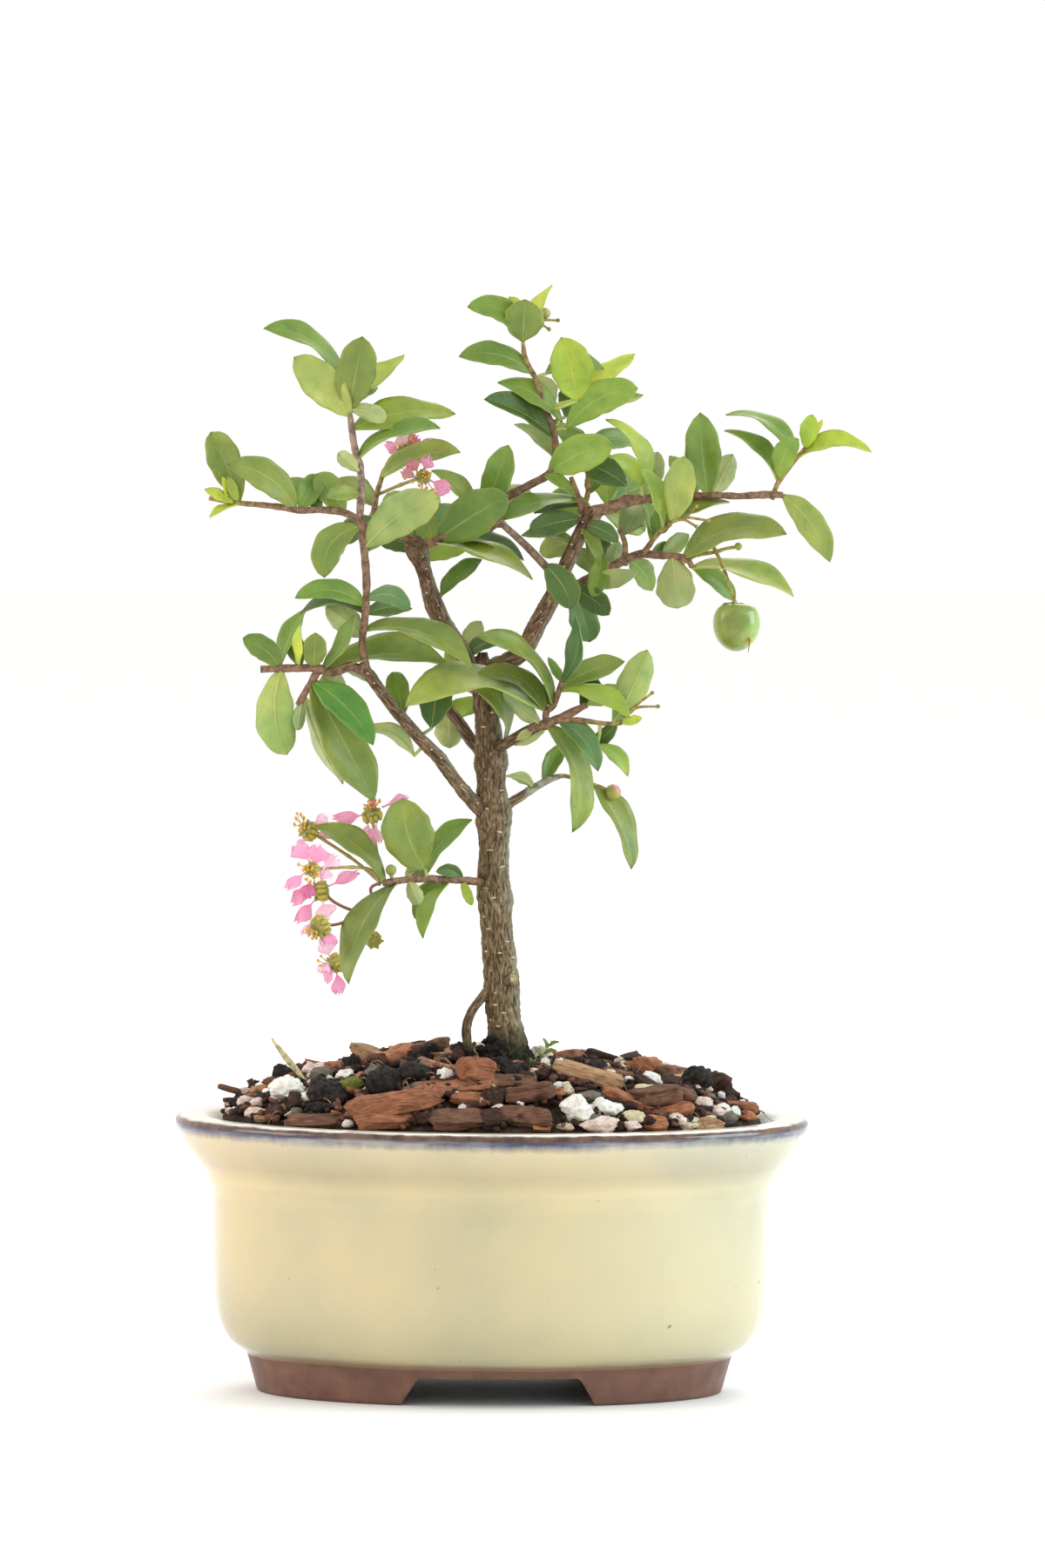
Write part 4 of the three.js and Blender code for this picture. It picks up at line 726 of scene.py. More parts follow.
# %% Pieces laid one by one
LAID = [
    ("chip", "brown", -66.3, 75.7, 5.7, 2.2, -15), ("chip", "brown", -66.3, 73, 3.5, 1.6, 0),
    ("pumice", "pink", -62.8, 74.6, 5, 4, 0), ("pumice", "pink", -62, 72.4, 5, 3.6, 0),
    ("pumice", "orange", -57.5, 75.3, 3.4, 3, 0), ("lava", "black", -55.2, 77.2, 3.5, 3, 0),
    ("lava", "black", -53.1, 79.7, 6, 5.2, 0), ("lava", "black", -48.7, 77.2, 4.5, 3, 0),
    ("chip", "dark", -50, 72.5, 3, 5, 0), ("pumice", "white", -45.6, 74, 5.5, 4, 0),
    ("chip", "brown", -44.3, 75.2, 3, 1.5, 10), ("pumice", "cream", -42.1, 76.7, 4.6, 2, 0),
    ("pumice", "grey", -43.2, 79.2, 6, 4, 0), ("pumice", "white", -37.5, 79, 5, 4, 0),
    ("pumice", "orange", -33.5, 79, 2.5, 2.5, 0), ("pumice", "moss", -36, 76.4, 7, 5, 0),
    ("pumice", "grey", -30.5, 79.7, 3.6, 4.8, 0), ("lava", "black", -27, 78, 9, 8, 0),
    ("lava", "black", -25.5, 83.2, 4, 2.5, 0), ("lava", "moss", -22.4, 82.4, 4, 2, 0),
    ("lava", "black", -19.8, 79.6, 10, 6, 0), ("lava", "black", -15.4, 84.2, 9, 4, 0),
    ("lava", "dark", -8.3, 84.2, 4, 5, 0), ("pumice", "white", -11.8, 79.3, 4, 5, 0),
    ("chip", "red", -10, 76.6, 21, 2.2, 4), ("chip", "red", -16.6, 72.4, 9, 4, 80),
    ("chip", "red", -25, 69.2, 19, 4, 3), ("chip", "brown", -45, 67.8, 14, 2.6, 3),
    ("pumice", "cream", -50, 69.2, 4, 2, 0), ("lava", "dark", -54.6, 70.2, 6, 4.5, 0),
    ("pumice", "pink", -60.1, 69.8, 5, 2.8, 0), ("pumice", "pink", -65.8, 70.3, 3.5, 1.8, 0),
    ("pumice", "pink", -66.4, 72, 2.5, 2, 0), ("lava", "black", -40.8, 73.8, 9, 5, 0),
    ("lava", "black", -43, 71.2, 9, 3, 0), ("pumice", "white", -36.4, 67.2, 3.4, 2.2, 0),
    ("chip", "brown", -8.3, 68.3, 14, 4, 2), ("chip", "red", -5.7, 73.5, 9, 3, -4),
    ("lava", "black", 2, 82.6, 6, 4, 0), ("lava", "black", 9, 81, 6, 4, 0),
    ("lava", "dark", 12.5, 79.8, 5, 3.5, 0), ("lava", "black", -1.5, 81.8, 5, 4, 0),
    ("lava", "black", 5.6, 80.4, 7, 4, 0), ("pumice", "white", 13.4, 82.3, 2.6, 3.4, 0),
    ("chip", "orange", 17.4, 75, 3, 2.4, 0), ("chip", "brown", 4.2, 78, 13, 1.8, 0),
    ("lava", "black", 26.3, 81.6, 6.4, 4, 0), ("chip", "red", 34.2, 73.6, 13, 3.5, -23),
    ("chip", "brown", 33.3, 79.8, 6, 2, -8), ("chip", "dark", 41.5, 76.4, 12, 2.5, -29),
    ("pumice", "white", 39.6, 78.4, 6, 4.4, 0), ("chip", "dark", 44.8, 77.6, 5, 4, 0),
    ("chip", "brown", 46.6, 75, 9, 4.5, -12), ("pumice", "pink", 53.2, 72.3, 5, 4, 0),
    ("pumice", "cream", 38.7, 75.3, 6, 4, 0), ("pumice", "grey", 20.5, 72.5, 4, 3, 0),
    ("pumice", "grey", 24.9, 73.7, 7, 3.5, 0), ("pumice", "white", 28.5, 71, 9, 5, 0),
    ("pumice", "pink", 27.4, 67, 10.5, 4, 0), ("pumice", "cream", 18.3, 66.6, 5, 2, 0),
    ("pumice", "grey", 25.8, 68.8, 4, 2.4, 0), ("pumice", "cream", 35.6, 68.6, 7, 4, 0),
    ("pumice", "pink", 35.5, 66.9, 5, 2.4, 0), ("chip", "red", 45.3, 70.5, 11, 3.4, 12),
    ("pumice", "pink", 56.6, 70.4, 5, 3.4, 0), ("pumice", "white", 61, 70.6, 4, 2.8, 0),
    ("pumice", "pink", 49.6, 73.6, 4, 3, 0), ("pumice", "cream", 43.4, 73, 4, 2.6, 0),
    ("pumice", "pink", 46.8, 68.6, 5.6, 3.2, 0), ("pumice", "cream", 49.6, 67, 5, 2.4, 0),
    ("chip", "orange", 41.3, 67.4, 6, 3, -6), ("pumice", "cream", 55, 68.2, 4.5, 2.4, 0),
    ("pumice", "white", 50.8, 68.3, 3, 1.6, 0), ("chip", "tan", 53.7, 67.2, 9, 1.4, 3),
    ("chip", "brown", 53.4, 69.9, 4, 2, 0), ("pumice", "white", 58.3, 71.3, 3.6, 3, 0),
    ("pumice", "grey", 59.8, 69, 5, 4, 0), ("chip", "red", 63.4, 71.8, 8, 3.6, -6),
    ("pumice", "orange", 64.2, 69.6, 6, 2.6, 0), ("chip", "dark", -0.2, 68.3, 5, 4, 0),
    ("chip", "brown", 8.2, 69, 13, 3.6, -3), ("chip", "orange", 12.6, 66.6, 4.5, 1.8, 0),
    ("lava", "dark", 0.2, 74, 8, 5, 0), ("chip", "tan", -57.6, 68.4, 5, 1.6, 0),
    ("pumice", "pink", 1.6, 71.2, 4, 2.4, 0), ("lava", "dark", -17, 68.6, 6, 3, 0),
]
print("pieces to lay by hand:", len(LAID))

# %% Laying them on the mound
laid = {"chip": Bench(), "pumice": Bench(), "lava": Bench(), "crumb": Bench()}


def on_mound(x, z):
    """How near to the eye the mound lies where the drawing has this point."""
    nears = np.arange(47.0, -12.0, -0.5)
    spots = [seen(x, z, near) for near in nears]
    above = np.array([spot[2] - mound(spot[0], spot[1]) for spot in spots])
    below = np.flatnonzero(above <= 0)
    return nears[below[0]] if len(below) else nears[above.argmin()]


def mound_slope(x, y):
    """How steeply the mound rises towards the back, in radians."""
    return math.atan(mound(x, y + 0.5) - mound(x, y - 0.5))


for kind, shade, x, z, width, high, slope in LAID:
    if kind == "chip":
        points, faces, places = chip((width, max(1.3 * high, 0.4 * width), 0.68 * high), (16, 24))
    else:
        points, faces, places = stone((width, 1.05 * high, 0.95 * high), 0.45, (18, 24))
    near = on_mound(x, z - 0.22 * high)
    spot = seen(x, z, near)
    roll = mound_slope(spot[0], spot[1]) + dice.uniform(-0.2, 0.35)
    points = turned_by(points, dice.uniform(-0.3, 0.3), math.radians(-slope), roll)
    laid[kind].add(points + spot, faces, MIX[shade], places)
print("faces laid by hand:", sum(len(bench.faces) for bench in laid.values()))

# %% Small pieces strewn over the mound
WOODY = ("red", "tan", "brown", "brown", "dark", "orange")
TRUNK_FOOT = (4.1, 0.0)
CLEAR_OF_TRUNK = 8.5


def strew(kind, count, lengths, make, shades, reach=0.94, sunk=0.2, front=False):
    """Lays count pieces at random on the mound, clear of the trunk, and in front only if told to."""
    done = 0
    while done < count:
        angle, far = dice.uniform(0, 2 * math.pi), reach * math.sqrt(dice.random())
        x = far * SOIL_EDGE * math.cos(angle)
        y = far * (SOIL_EDGE - POT_NARROWER_BY) * math.sin(angle)
        length = dice.uniform(*lengths)
        if math.hypot(x - TRUNK_FOOT[0], y - TRUNK_FOOT[1]) < CLEAR_OF_TRUNK + length / 2:
            continue
        if y < 2 and not front:
            continue
        points, faces, places = make(length)
        points = turned_by(points, dice.uniform(0, 6.3), dice.uniform(-0.3, 0.3), mound_slope(x, y))
        lift = np.ptp(points[:, 2]) * (0.5 - sunk)
        tone = np.array(MIX[dice.choice(shades)]) * dice.uniform(0.8, 1.2)
        laid[kind].add(points + (x, y, mound(x, y) + lift), faces, tone, places)
        done += 1


strew("chip", 44, (8, 15), lambda a: chip((a, 0.5 * a, 0.27 * a)), WOODY, 0.88, 0.15)
strew("chip", 70, (4, 8), lambda a: chip((a, 0.5 * a, 0.3 * a), (9, 14)), WOODY, 0.93, 0.1)
strew("chip", 260, (2.5, 5.5), lambda a: chip((a, 0.45 * a, 0.25 * a), (7, 10)),
      ("red", "brown", "dark", "dark"), 0.96, 0.2, True)
strew("pumice", 34, (4, 7.5), lambda a: stone((a, 0.85 * a, 0.75 * a)), ("white", "pink", "cream"))
strew("pumice", 110, (1.8, 3.8), lambda a: stone((a, 0.85 * a, 0.75 * a), 0.3, (8, 12)),
      ("white", "pink", "cream", "grey"), 0.96, 0.25, True)
strew("lava", 44, (4, 8), lambda a: stone((a, 0.85 * a, 0.8 * a), 0.5), ("black", "dark"))
strew("lava", 80, (2, 4.5), lambda a: stone((a, 0.85 * a, 0.8 * a), 0.5, (9, 14)),
      ("black", "dark"), 0.96, 0.2)
strew("crumb", 1500, (1.2, 3.0), lambda a: stone((a, 0.8 * a, 0.7 * a), 0.2, (5, 8)),
      ("brown", "dark", "dark", "black"), 0.985, 0.12, True)
for name, kind, finish, slot in (
    ("strewn_bark", "chip", bark_chips, "bark_chip"),
    ("strewn_pumice", "pumice", pumice, "pumice"),
    ("strewn_lava", "lava", lava, "lava"),
    ("strewn_crumbs", "crumb", crumbs, "soil"),
):
    set_out(name, laid[kind].mesh(name), finish, [])
    print(name, "faces:", len(laid[kind].faces))

# %% [markdown]
# ## The trunk and its limbs
# The trunk is drawn with the same points as its solid. The tubes are melted into one skin with a
# voxel remesh, which leaves soft crotches where limbs part, as real wood has. Then each point is
# pushed in or out along cracks that run with the grain, so the bark has real relief. The finish also
# paints the cracks dark, as painted shade.

# %% Plan of the wood
TRUNK = [
    (4.4, 64, 0, 5), (4.2, 74, 0, 7.4), (4.1, 80, 0, 7.6), (3.8, 84, 0, 6.4), (3.5, 87, 0, 5.3),
    (3.3, 90.5, 0, 4.6), (2.6, 95, 0, 4.3), (1.85, 105, 0, 4.35), (0.9, 114, 0, 4.0),
    (0.4, 120.5, 0, 4.0), (0.1, 125, 0, 4.4), (-0.3, 130, 0, 3.9), (-0.3, 139, 0, 3.8),
    (-0.4, 145, 0, 4.6), (-0.8, 150, 0, 3.8), (-1.2, 155, 0, 3.6), (-1.2, 159, 0, 4.3),
    (-1.8, 165, 0, 3.3), (-2.8, 173, 0, 3.0), (-3.1, 180, 0, 2.8), (-3.2, 184, -1, 2.2),
]
AERIAL_ROOT = [
    (-1.2, 101, 1, 1.4), (-3.4, 98.5, 2, 1.2), (-5.5, 95.5, 3, 1.2), (-6.7, 91.6, 3.5, 1.2),
    (-6.5, 88, 3.8, 1.2), (-5.6, 84, 4, 1.3), (-5.3, 76, 4, 1.0),
]
LEFT_LIMB = [
    (-3.4, 179.5, 0, 2.4), (-6, 181.3, -1, 2.3), (-9, 187, -1.5, 2.2), (-12.5, 192, -2, 2.1),
    (-15.5, 197, -2.5, 2.4), (-17.5, 203, -3, 2.0), (-19, 208, -3.5, 2.1), (-20.5, 212, -4, 2.9),
    (-22, 214.5, -4, 1.9),
]
RIGHT_LIMB = [
    (-2.2, 181, 0, 2.4), (3, 184, -0.5, 2.3), (7, 187, -0.5, 2.3), (10, 193, 0, 2.3),
    (13, 198.5, 0.5, 2.2), (16, 205, 1, 1.9), (17.5, 209, 1, 1.9), (20, 214.5, 1.5, 1.8),
    (22.5, 220, 2, 1.8), (24, 222.4, 2, 1.6),
]
LOW_LEFT_LIMB = [
    (-1, 144.5, 1, 1.9), (-4.8, 147.7, 2, 1.9), (-9.3, 152.8, 4, 1.7), (-14.4, 159.6, 6.5, 1.7),
    (-18.8, 164, 8.5, 1.6), (-26.4, 172.7, 11.5, 1.5), (-32.8, 181.3, 13.5, 1.4),
    (-33.3, 183.6, 14, 1.2),
]
TRUNK_SPUR = [
    (-2.2, 159.5, -1.5, 1.6), (-5.9, 163.5, -4, 1.6), (-9.4, 168.6, -6.5, 1.5),
    (-12.1, 171.9, -8, 1.4),
]
LOW_RIGHT_LIMB = [(-1, 161.8, 1.5, 1.5), (2.5, 163.3, 4, 1.4), (7, 166, 6, 1.3), (11, 167.8, 7.5, 1.3)]
GREY_LIMB = [(0.5, 146, -1, 1.5), (3.5, 148.1, -2, 1.3), (7.5, 150.6, -3, 1.15)]
FLOWERING_LIMB = [(-1, 128.2, 1.5, 1.0), (-6, 128.5, 4, 0.85)]
FRUIT_LIMB = [(13.2, 199.6, 0, 1.6), (17, 201.6, -2.5, 1.5)]
DEAD_STUB = [(-3.2, 182, -1, 1.6), (-3.6, 186.2, -1.5, 1.2)]
KNOT_HEIGHT = 103.6
BARK_KNOT = [(2.6, 103.2, 2.5, 1.7), (4.6, 103.8, 4.5, 1.2)]
WOOD = [
    TRUNK, AERIAL_ROOT, LEFT_LIMB, RIGHT_LIMB, LOW_LEFT_LIMB, TRUNK_SPUR, LOW_RIGHT_LIMB,
    GREY_LIMB, FLOWERING_LIMB, FRUIT_LIMB, DEAD_STUB, BARK_KNOT,
]
print("limbs:", len(WOOD))

# %% Skin of the wood
VOXEL_MM = 0.42
LIMB_SIDES = 28
limbs = [smooth_rows(drawn(limb), 1.0) for limb in WOOD]
wood_bench = Bench()
for rows in limbs:
    wood_bench.add(*tube(rows, LIMB_SIDES))
raw_wood = bpy.data.objects.new("raw_wood", wood_bench.mesh("raw_wood"))
bpy.context.scene.collection.objects.link(raw_wood)
melt = raw_wood.modifiers.new("melt", "REMESH")
melt.mode = "VOXEL"
melt.voxel_size = VOXEL_MM * MM
wood_mesh = applied(raw_wood)
bpy.data.objects.remove(raw_wood)
print("points in the skin:", len(wood_mesh.vertices))

# %% Cracks in the bark
GRAIN_SHIFT = 40.0
BATCHES = 40
THICK_WOOD = 3
axis_rows = np.vstack(limbs)
axis_ways = np.vstack([np.gradient(rows[:, :3], axis=0) for rows in limbs])
axis_ways /= np.linalg.norm(axis_ways, axis=1)[:, None]
axis_lengths = [np.arange(len(rows)) + GRAIN_SHIFT * i for i, rows in enumerate(limbs)]
axis_lengths = np.concatenate(axis_lengths)


def nearest_axis(points):
    """For each point, the number of the limb row whose bark it lies on."""
    found = []
    for some in np.array_split(points, BATCHES):
        away = np.linalg.norm(some[:, None] - axis_rows[None, :, :3], axis=2)
        found.append((away - axis_rows[None, :, 3]).argmin(1))
    return np.concatenate(found)


def crack_bark(mesh):
    """Pushes each point along the cracks. Keeps how deep it lies, for the finish."""
    count = len(mesh.vertices)
    points, normals = np.zeros(3 * count), np.zeros(3 * count)
    mesh.vertices.foreach_get("co", points)
    mesh.vertices.foreach_get("normal", normals)
    points = points.reshape(-1, 3) / MM - POT_MIDDLE
    normals = normals.reshape(-1, 3)
    at = nearest_axis(points)
    way, radius = axis_ways[at], axis_rows[at, 3]
    offset = points - axis_rows[at, :3]
    ahead = (offset * way).sum(1)
    grain = offset - way * ahead[:, None]
    grain[:, 2] += 0.2 * (axis_lengths[at] + ahead)
    depth = np.zeros(count)
    for i, spot in enumerate(grain):
        crack = 1 - min(abs(noise.noise(Vector(spot) * 1.05)) / 0.2, 1)
        small = 1 - min(abs(noise.noise(Vector(spot) * 2.3 + Vector((7, 3, 1)))) / 0.3, 1)
        depth[i] = 0.7 * crack + 0.3 * small
    lump = np.array([noise.noise(Vector(p) * 0.35) for p in points])
    cut_in = np.where(radius > THICK_WOOD, 0.15, 0.11)
    knots = np.array([noise.noise(Vector(p) + Vector((3, 9, 4))) for p in points])
    push = radius * (0.09 * lump + 0.05 * knots - cut_in * depth + 0.04)
    moved = (points + normals * push[:, None] + POT_MIDDLE) * MM
    mesh.vertices.foreach_set("co", moved.ravel())
    layer = mesh.attributes.new("crack", "FLOAT", "POINT")
    layer.data.foreach_set("value", depth)
    layer = mesh.attributes.new("grain", "FLOAT_VECTOR", "POINT")
    layer.data.foreach_set("vector", grain.ravel())
    return depth


crack_depth = crack_bark(wood_mesh)
print("mean depth of the cracks, 0 to 1:", crack_depth.mean().round(2))

# %% [markdown]
# ## Bark
# The old trunk is olive brown, with deep upright cracks that are painted dark as painted shade, and
# goes over to red-brown on the limbs. Patchy pale grey covers the faces that turn to the right: it is
# partly lichen and partly a painted rim light. Its foot is dark with wet soil and moss. Young bark is
# brown, grey on two sprays, and the thinnest stalks are yellow, which each twig's own tone gives.

# %% Finish of the wood
bark, tree, shader = new_finish("bark", 0.9)
shader.inputs["Specular IOR Level"].default_value = 0.3
depth = add(tree, "ShaderNodeAttribute", attribute_name="crack").outputs["Fac"]
along = add(tree, "ShaderNodeAttribute", attribute_name="grain").outputs["Vector"]
ridges = speckle(tree, 2.7, along, 9)
grain = plus(tree, times(tree, ridges, 0.75), times(tree, speckle(tree, 170, detail=8), 0.25))
old = ramp(
    tree, grain, (0.36, paint(78, 60, 42)), (0.46, paint(118, 96, 68)), (0.56, paint(152, 130, 98)),
    (0.68, paint(192, 174, 138)),
)
limb = ramp(
    tree, grain, (0.36, paint(66, 48, 36)), (0.46, paint(110, 84, 62)), (0.56, paint(140, 110, 84)),
    (0.68, paint(178, 154, 124)),
)
place = on_object(tree)
height = component(tree, place, "Z")
ground = blend(tree, step_up(tree, height, 0.13, 0.185), old, limb)
side = add(tree, "ShaderNodeNewGeometry").outputs["Normal"]
side = component(tree, side, "X")
# Pale grey on the faces that turn to the right: lichen patches and a painted rim light.
patches = ramp(tree, speckle(tree, 110, detail=6), (0.36, (0.25,) * 3), (0.56, WHITE))
lichen_and_rim_light = times(tree, patches, step_up(tree, side, 0.25, 0.85))
ground = blend(tree, times(tree, lichen_and_rim_light, 0.75), ground, paint(160, 160, 138))
# Painted shade: the cracks are darkened by their depth.
ground = blend(tree, step_up(tree, depth, 0.3, 1.05), ground, paint(44, 32, 26))
damp = plus(tree, height, times(tree, speckle(tree, 160, detail=5), 0.014))
mossy = ramp(tree, speckle(tree, 320), (0.45, paint(34, 28, 22)), (0.65, paint(64, 66, 36)))
ground = blend(tree, step_up(tree, damp, 0.101, 0.093), ground, mossy)
tree.links.new(ground, shader.inputs["Base Color"])
relief(tree, shader, grain, 1.3)
set_out("wood_skin", wood_mesh, bark, ["trunk_and_limbs"])

young_bark, tree, shader = new_finish("young_bark", 0.75)
own = own_tone(tree)
grain = ramp(tree, speckle(tree, 700, detail=7), (0.36, (0.5,) * 3), (0.64, (1.42,) * 3))
ground = blend(tree, 1.0, grain, own, "MULTIPLY")
dots = add(tree, "ShaderNodeTexVoronoi", {"Vector": on_object(tree), "Scale": 1500}).outputs["Distance"]
dots = times(tree, ramp(tree, dots, (0.12, WHITE), (0.22, BLACK)), 0.7)
ground = blend(tree, dots, ground, paint(200, 178, 140))
tree.links.new(ground, shader.inputs["Base Color"])
relief(tree, shader, speckle(tree, 1000, detail=5), 0.22)
print("bark finishes:", bark.name, young_bark.name)

# %% [markdown]
# ## Breathing pores
# The bark of this shrub breathes through pale corky dashes that lie across the grain. Each is a small
# flat lump, laid on the skin of the trunk or a limb at its place in the drawing.

# %% Pores on trunk and limbs
TRUNK_PORES = [
    (-2.3, 127), (-0.5, 124.6), (0.3, 122), (-2.8, 119.8), (-1.5, 116.7), (1.2, 110.7), (4.5, 109.5),
    (2.8, 98.6), (0.2, 100.6), (0.2, 97.6), (-0.7, 93.7), (1.2, 92.3), (2.5, 95.6), (-1, 106.2),
    (3, 113.6), (-3, 111), (1.6, 132.4), (-1.4, 136.6), (0.9, 141.2), (-2.2, 147), (1.4, 151.6),
    (-2.4, 154.4), (0.4, 161.5), (-3.4, 167.6), (-1.2, 171.2), (-4.2, 176.4), (4.6, 105.8),
]
CORK = paint(206, 188, 150)


def lay_pore(bench, row, x, z, long):
    """A corky dash on the side of a tube that faces the eye."""
    off = np.clip(x - row[0], -0.8 * row[3], 0.8 * row[3])
    out = math.sqrt(row[3] ** 2 - off**2)
    points, faces = ball(6, 10)
    spot = np.array([row[0] + off, row[1] - 0.98 * out, z])
    points = turned_by(points * (0.6 * long, 0.3, 0.24), math.atan2(off, out), dice.uniform(-0.2, 0.2))
    bench.add(spot + points, faces, CORK)


pores = Bench()
for x, z in TRUNK_PORES:
    row = limbs[0][np.abs(limbs[0][:, 2] - z).argmin()]
    lay_pore(pores, row, x, z, dice.uniform(0.9, 1.7))
row = limbs[0][np.abs(limbs[0][:, 2] - KNOT_HEIGHT).argmin()]
points, faces = ball(12, 16)
pores.add(row[:3] + (2.3, -0.86 * row[3], 0) + points * (1.3, 0.8, 1.6), faces, paint(158, 140, 100))
pores.add(row[:3] + (2.4, -1.0 * row[3], 0) + points * (0.6, 0.5, 0.7), faces, paint(204, 188, 148))
for rows in (limbs[2], limbs[3], limbs[4]):
    for row in rows[3::3]:
        lay_pore(pores, row, row[0] + dice.uniform(-1.3, 1.3), row[2], dice.uniform(0.3, 0.6))
set_out("bark_pores", pores.mesh("bark_pores"), young_bark, [])
print("faces in the pores:", len(pores.faces))

# %% [markdown]
# ## How a leaf is built
# The leaves of this shrub are oval, leathery and a little folded along the midrib. Each is a thin
# closed shell: a grid of points along and across the blade, with a bow from stalk to tip, a shallow
# fold, wavy margins and a quilted surface between the side veins. The midrib stands out underneath.

# %% Where a stalk starts, and thin shells
def nearest_on(stems, x, z):
    """The place on the drawn stems that is nearest to a drawn point."""
    best, least = None, 1e9
    for stem in stems:
        for a, b in zip(stem, stem[1:]):
            a, b = np.array(a[:3], float), np.array(b[:3], float)
            way = b[:2] - a[:2]
            share = np.clip(((x, z) - a[:2]).dot(way) / way.dot(way), 0, 1)
            spot = a + share * (b - a)
            away = math.hypot(spot[0] - x, spot[1] - z)
            if away < least:
                best, least = spot, away
    return best


def shell(upper, lower, rows, columns):
    """The points and faces of a closed shell between two grids."""
    faces = []
    below = rows * columns
    for i in range(rows - 1):
        for j in range(columns - 1):
            a = i * columns + j
            faces.append([a, a + 1, a + columns + 1, a + columns])
            faces.append([below + a, below + a + columns, below + a + columns + 1, below + a + 1])
    rim = list(range(columns))
    rim += [i * columns + columns - 1 for i in range(1, rows)]
    rim += [(rows - 1) * columns + j for j in range(columns - 2, -1, -1)]
    rim += [i * columns for i in range(rows - 2, 0, -1)]
    for a, b in zip(rim, rim[1:] + rim[:1]):
        faces.append([b, a, below + a, below + b])
    return np.vstack([upper, lower]), faces


print("place on the trunk next to the low left limb:", nearest_on([TRUNK], *LOW_LEFT_LIMB[0][:2]).round(1))

# %% Shape of one leaf
LEAF_SLENDERNESS = 0.38
SLIM_FROM = 2.6
SHORTEST_STALK = 2.2
ROWS, COLUMNS = 19, 9
SIDE_VEINS = 7
HALF_THICKNESS = 0.2
FOLD_RANGE = (0.14, 0.5)
SHADE_RANGE = (0.84, 1.14)
UNDERSIDE_TONE = np.array(paint(176, 190, 128))


def grow_leaf(bench, stems, tone, row):
    """Adds one leaf: the row says where it is, and the tone is the colour of its upper face."""
    x0, z0, x1, z1, out, shows, rise, face = row
    rx, rz, near = nearest_on(stems, x0, z0)
    stalk = math.hypot(x0 - rx, z0 - rz)
    length = math.hypot(x1 - x0, z1 - z0)
    root = seen(rx, rz, near)
    heel = seen(x0, z0, near + out * stalk / (stalk + length))
    tip = seen(x1, z1, near + out)
    span = np.linalg.norm(tip - heel)
    chord = (tip - heel) / span
    wide = max(shows, LEAF_SLENDERNESS * span)
    turn = math.acos(shows / wide)
    to_eye = unit(EYE - heel)
    to_eye = unit(to_eye - chord * to_eye.dot(chord))
    skyward = np.cross(to_eye, chord)
    skyward *= 1 if skyward[2] > 0 else -1
    up = face * math.cos(turn) * to_eye + max(math.sin(turn), 0.05) * skyward

    foot = heel if np.linalg.norm(heel - root) > SHORTEST_STALK else root
    bend = (foot + tip) / 2 + 2 * rise * skyward
    s = np.linspace(0, 1, ROWS)[:, None]
    middle = (1 - s) ** 2 * foot + 2 * s * (1 - s) * bend + s**2 * tip
    along = unit(2 * (1 - s) * (bend - foot) + 2 * s * (tip - bend))
    above = unit(up - along * (along @ up)[:, None])
    side = np.cross(along, above)
    blunt = 0.6 if span < SLIM_FROM * wide else 0.82
    form = s**0.8 * (1 - s) ** blunt
    half = np.maximum(wide / 2 * form / form.max(), 0.3 * (1 - s) + 0.03)
    a = np.linspace(-1, 1, COLUMNS)[None, :]
    fold = dice.uniform(*FOLD_RANGE)
    phase = dice.uniform(0, 6.3)
    height = half * (fold * np.abs(a) ** 1.25 + 0.16 * a**2 * np.sin(8 * s + phase + 2 * a))
    height += 0.07 * np.cos(2 * np.pi * SIDE_VEINS * (s - 0.28 * np.abs(a))) * (1 - a**2)
    half = half * (1 + 0.035 * np.sin(23 * s + phase) + 0.03 * a * np.sin(9 * s + phase))
    flat = middle[:, None] + side[:, None] * (half * a)[..., None]
    thick = HALF_THICKNESS * (1 - 0.6 * a**2) + 0 * s
    upper = flat + above[:, None] * (height + thick)[..., None]
    lower = flat + above[:, None] * (height - thick)[..., None]
    points, faces = shell(upper.reshape(-1, 3), lower.reshape(-1, 3), ROWS, COLUMNS)
    places = np.stack([s + 0 * a, (a + 1) / 2 + 0 * s], -1).reshape(-1, 2)
    tone = np.array(tone) * dice.uniform(*SHADE_RANGE)
    pale = 0.62 * tone + 0.38 * UNDERSIDE_TONE
    tones = np.vstack([np.tile(tone, (ROWS * COLUMNS, 1)), np.tile(pale, (ROWS * COLUMNS, 1))])
    bench.add(points, faces, tones, np.vstack([places, places]))

    rib = np.hstack([middle - above * 0.16, 0.42 - 0.34 * s])[:ROWS - 1]
    if np.linalg.norm(heel - root) > SHORTEST_STALK:
        droop = (root + heel) / 2 + 0.3 * skyward
        rib = np.vstack([[*root, 0.55], [*droop, 0.48], rib])
    points, faces = tube(rib, 7)
    bench.add(points, faces, pale, np.full((len(points), 2), (0.5, 0.5)))


print("points in one leaf:", 2 * ROWS * COLUMNS)

# %% [markdown]
# ## Leaf and twig finishes
# The colour of a leaf comes from its own tone. The finish adds the yellow midrib, a herringbone of
# fine side veins, mottling and a waxy sheen. Places on the leaf, along and across, draw the veins.

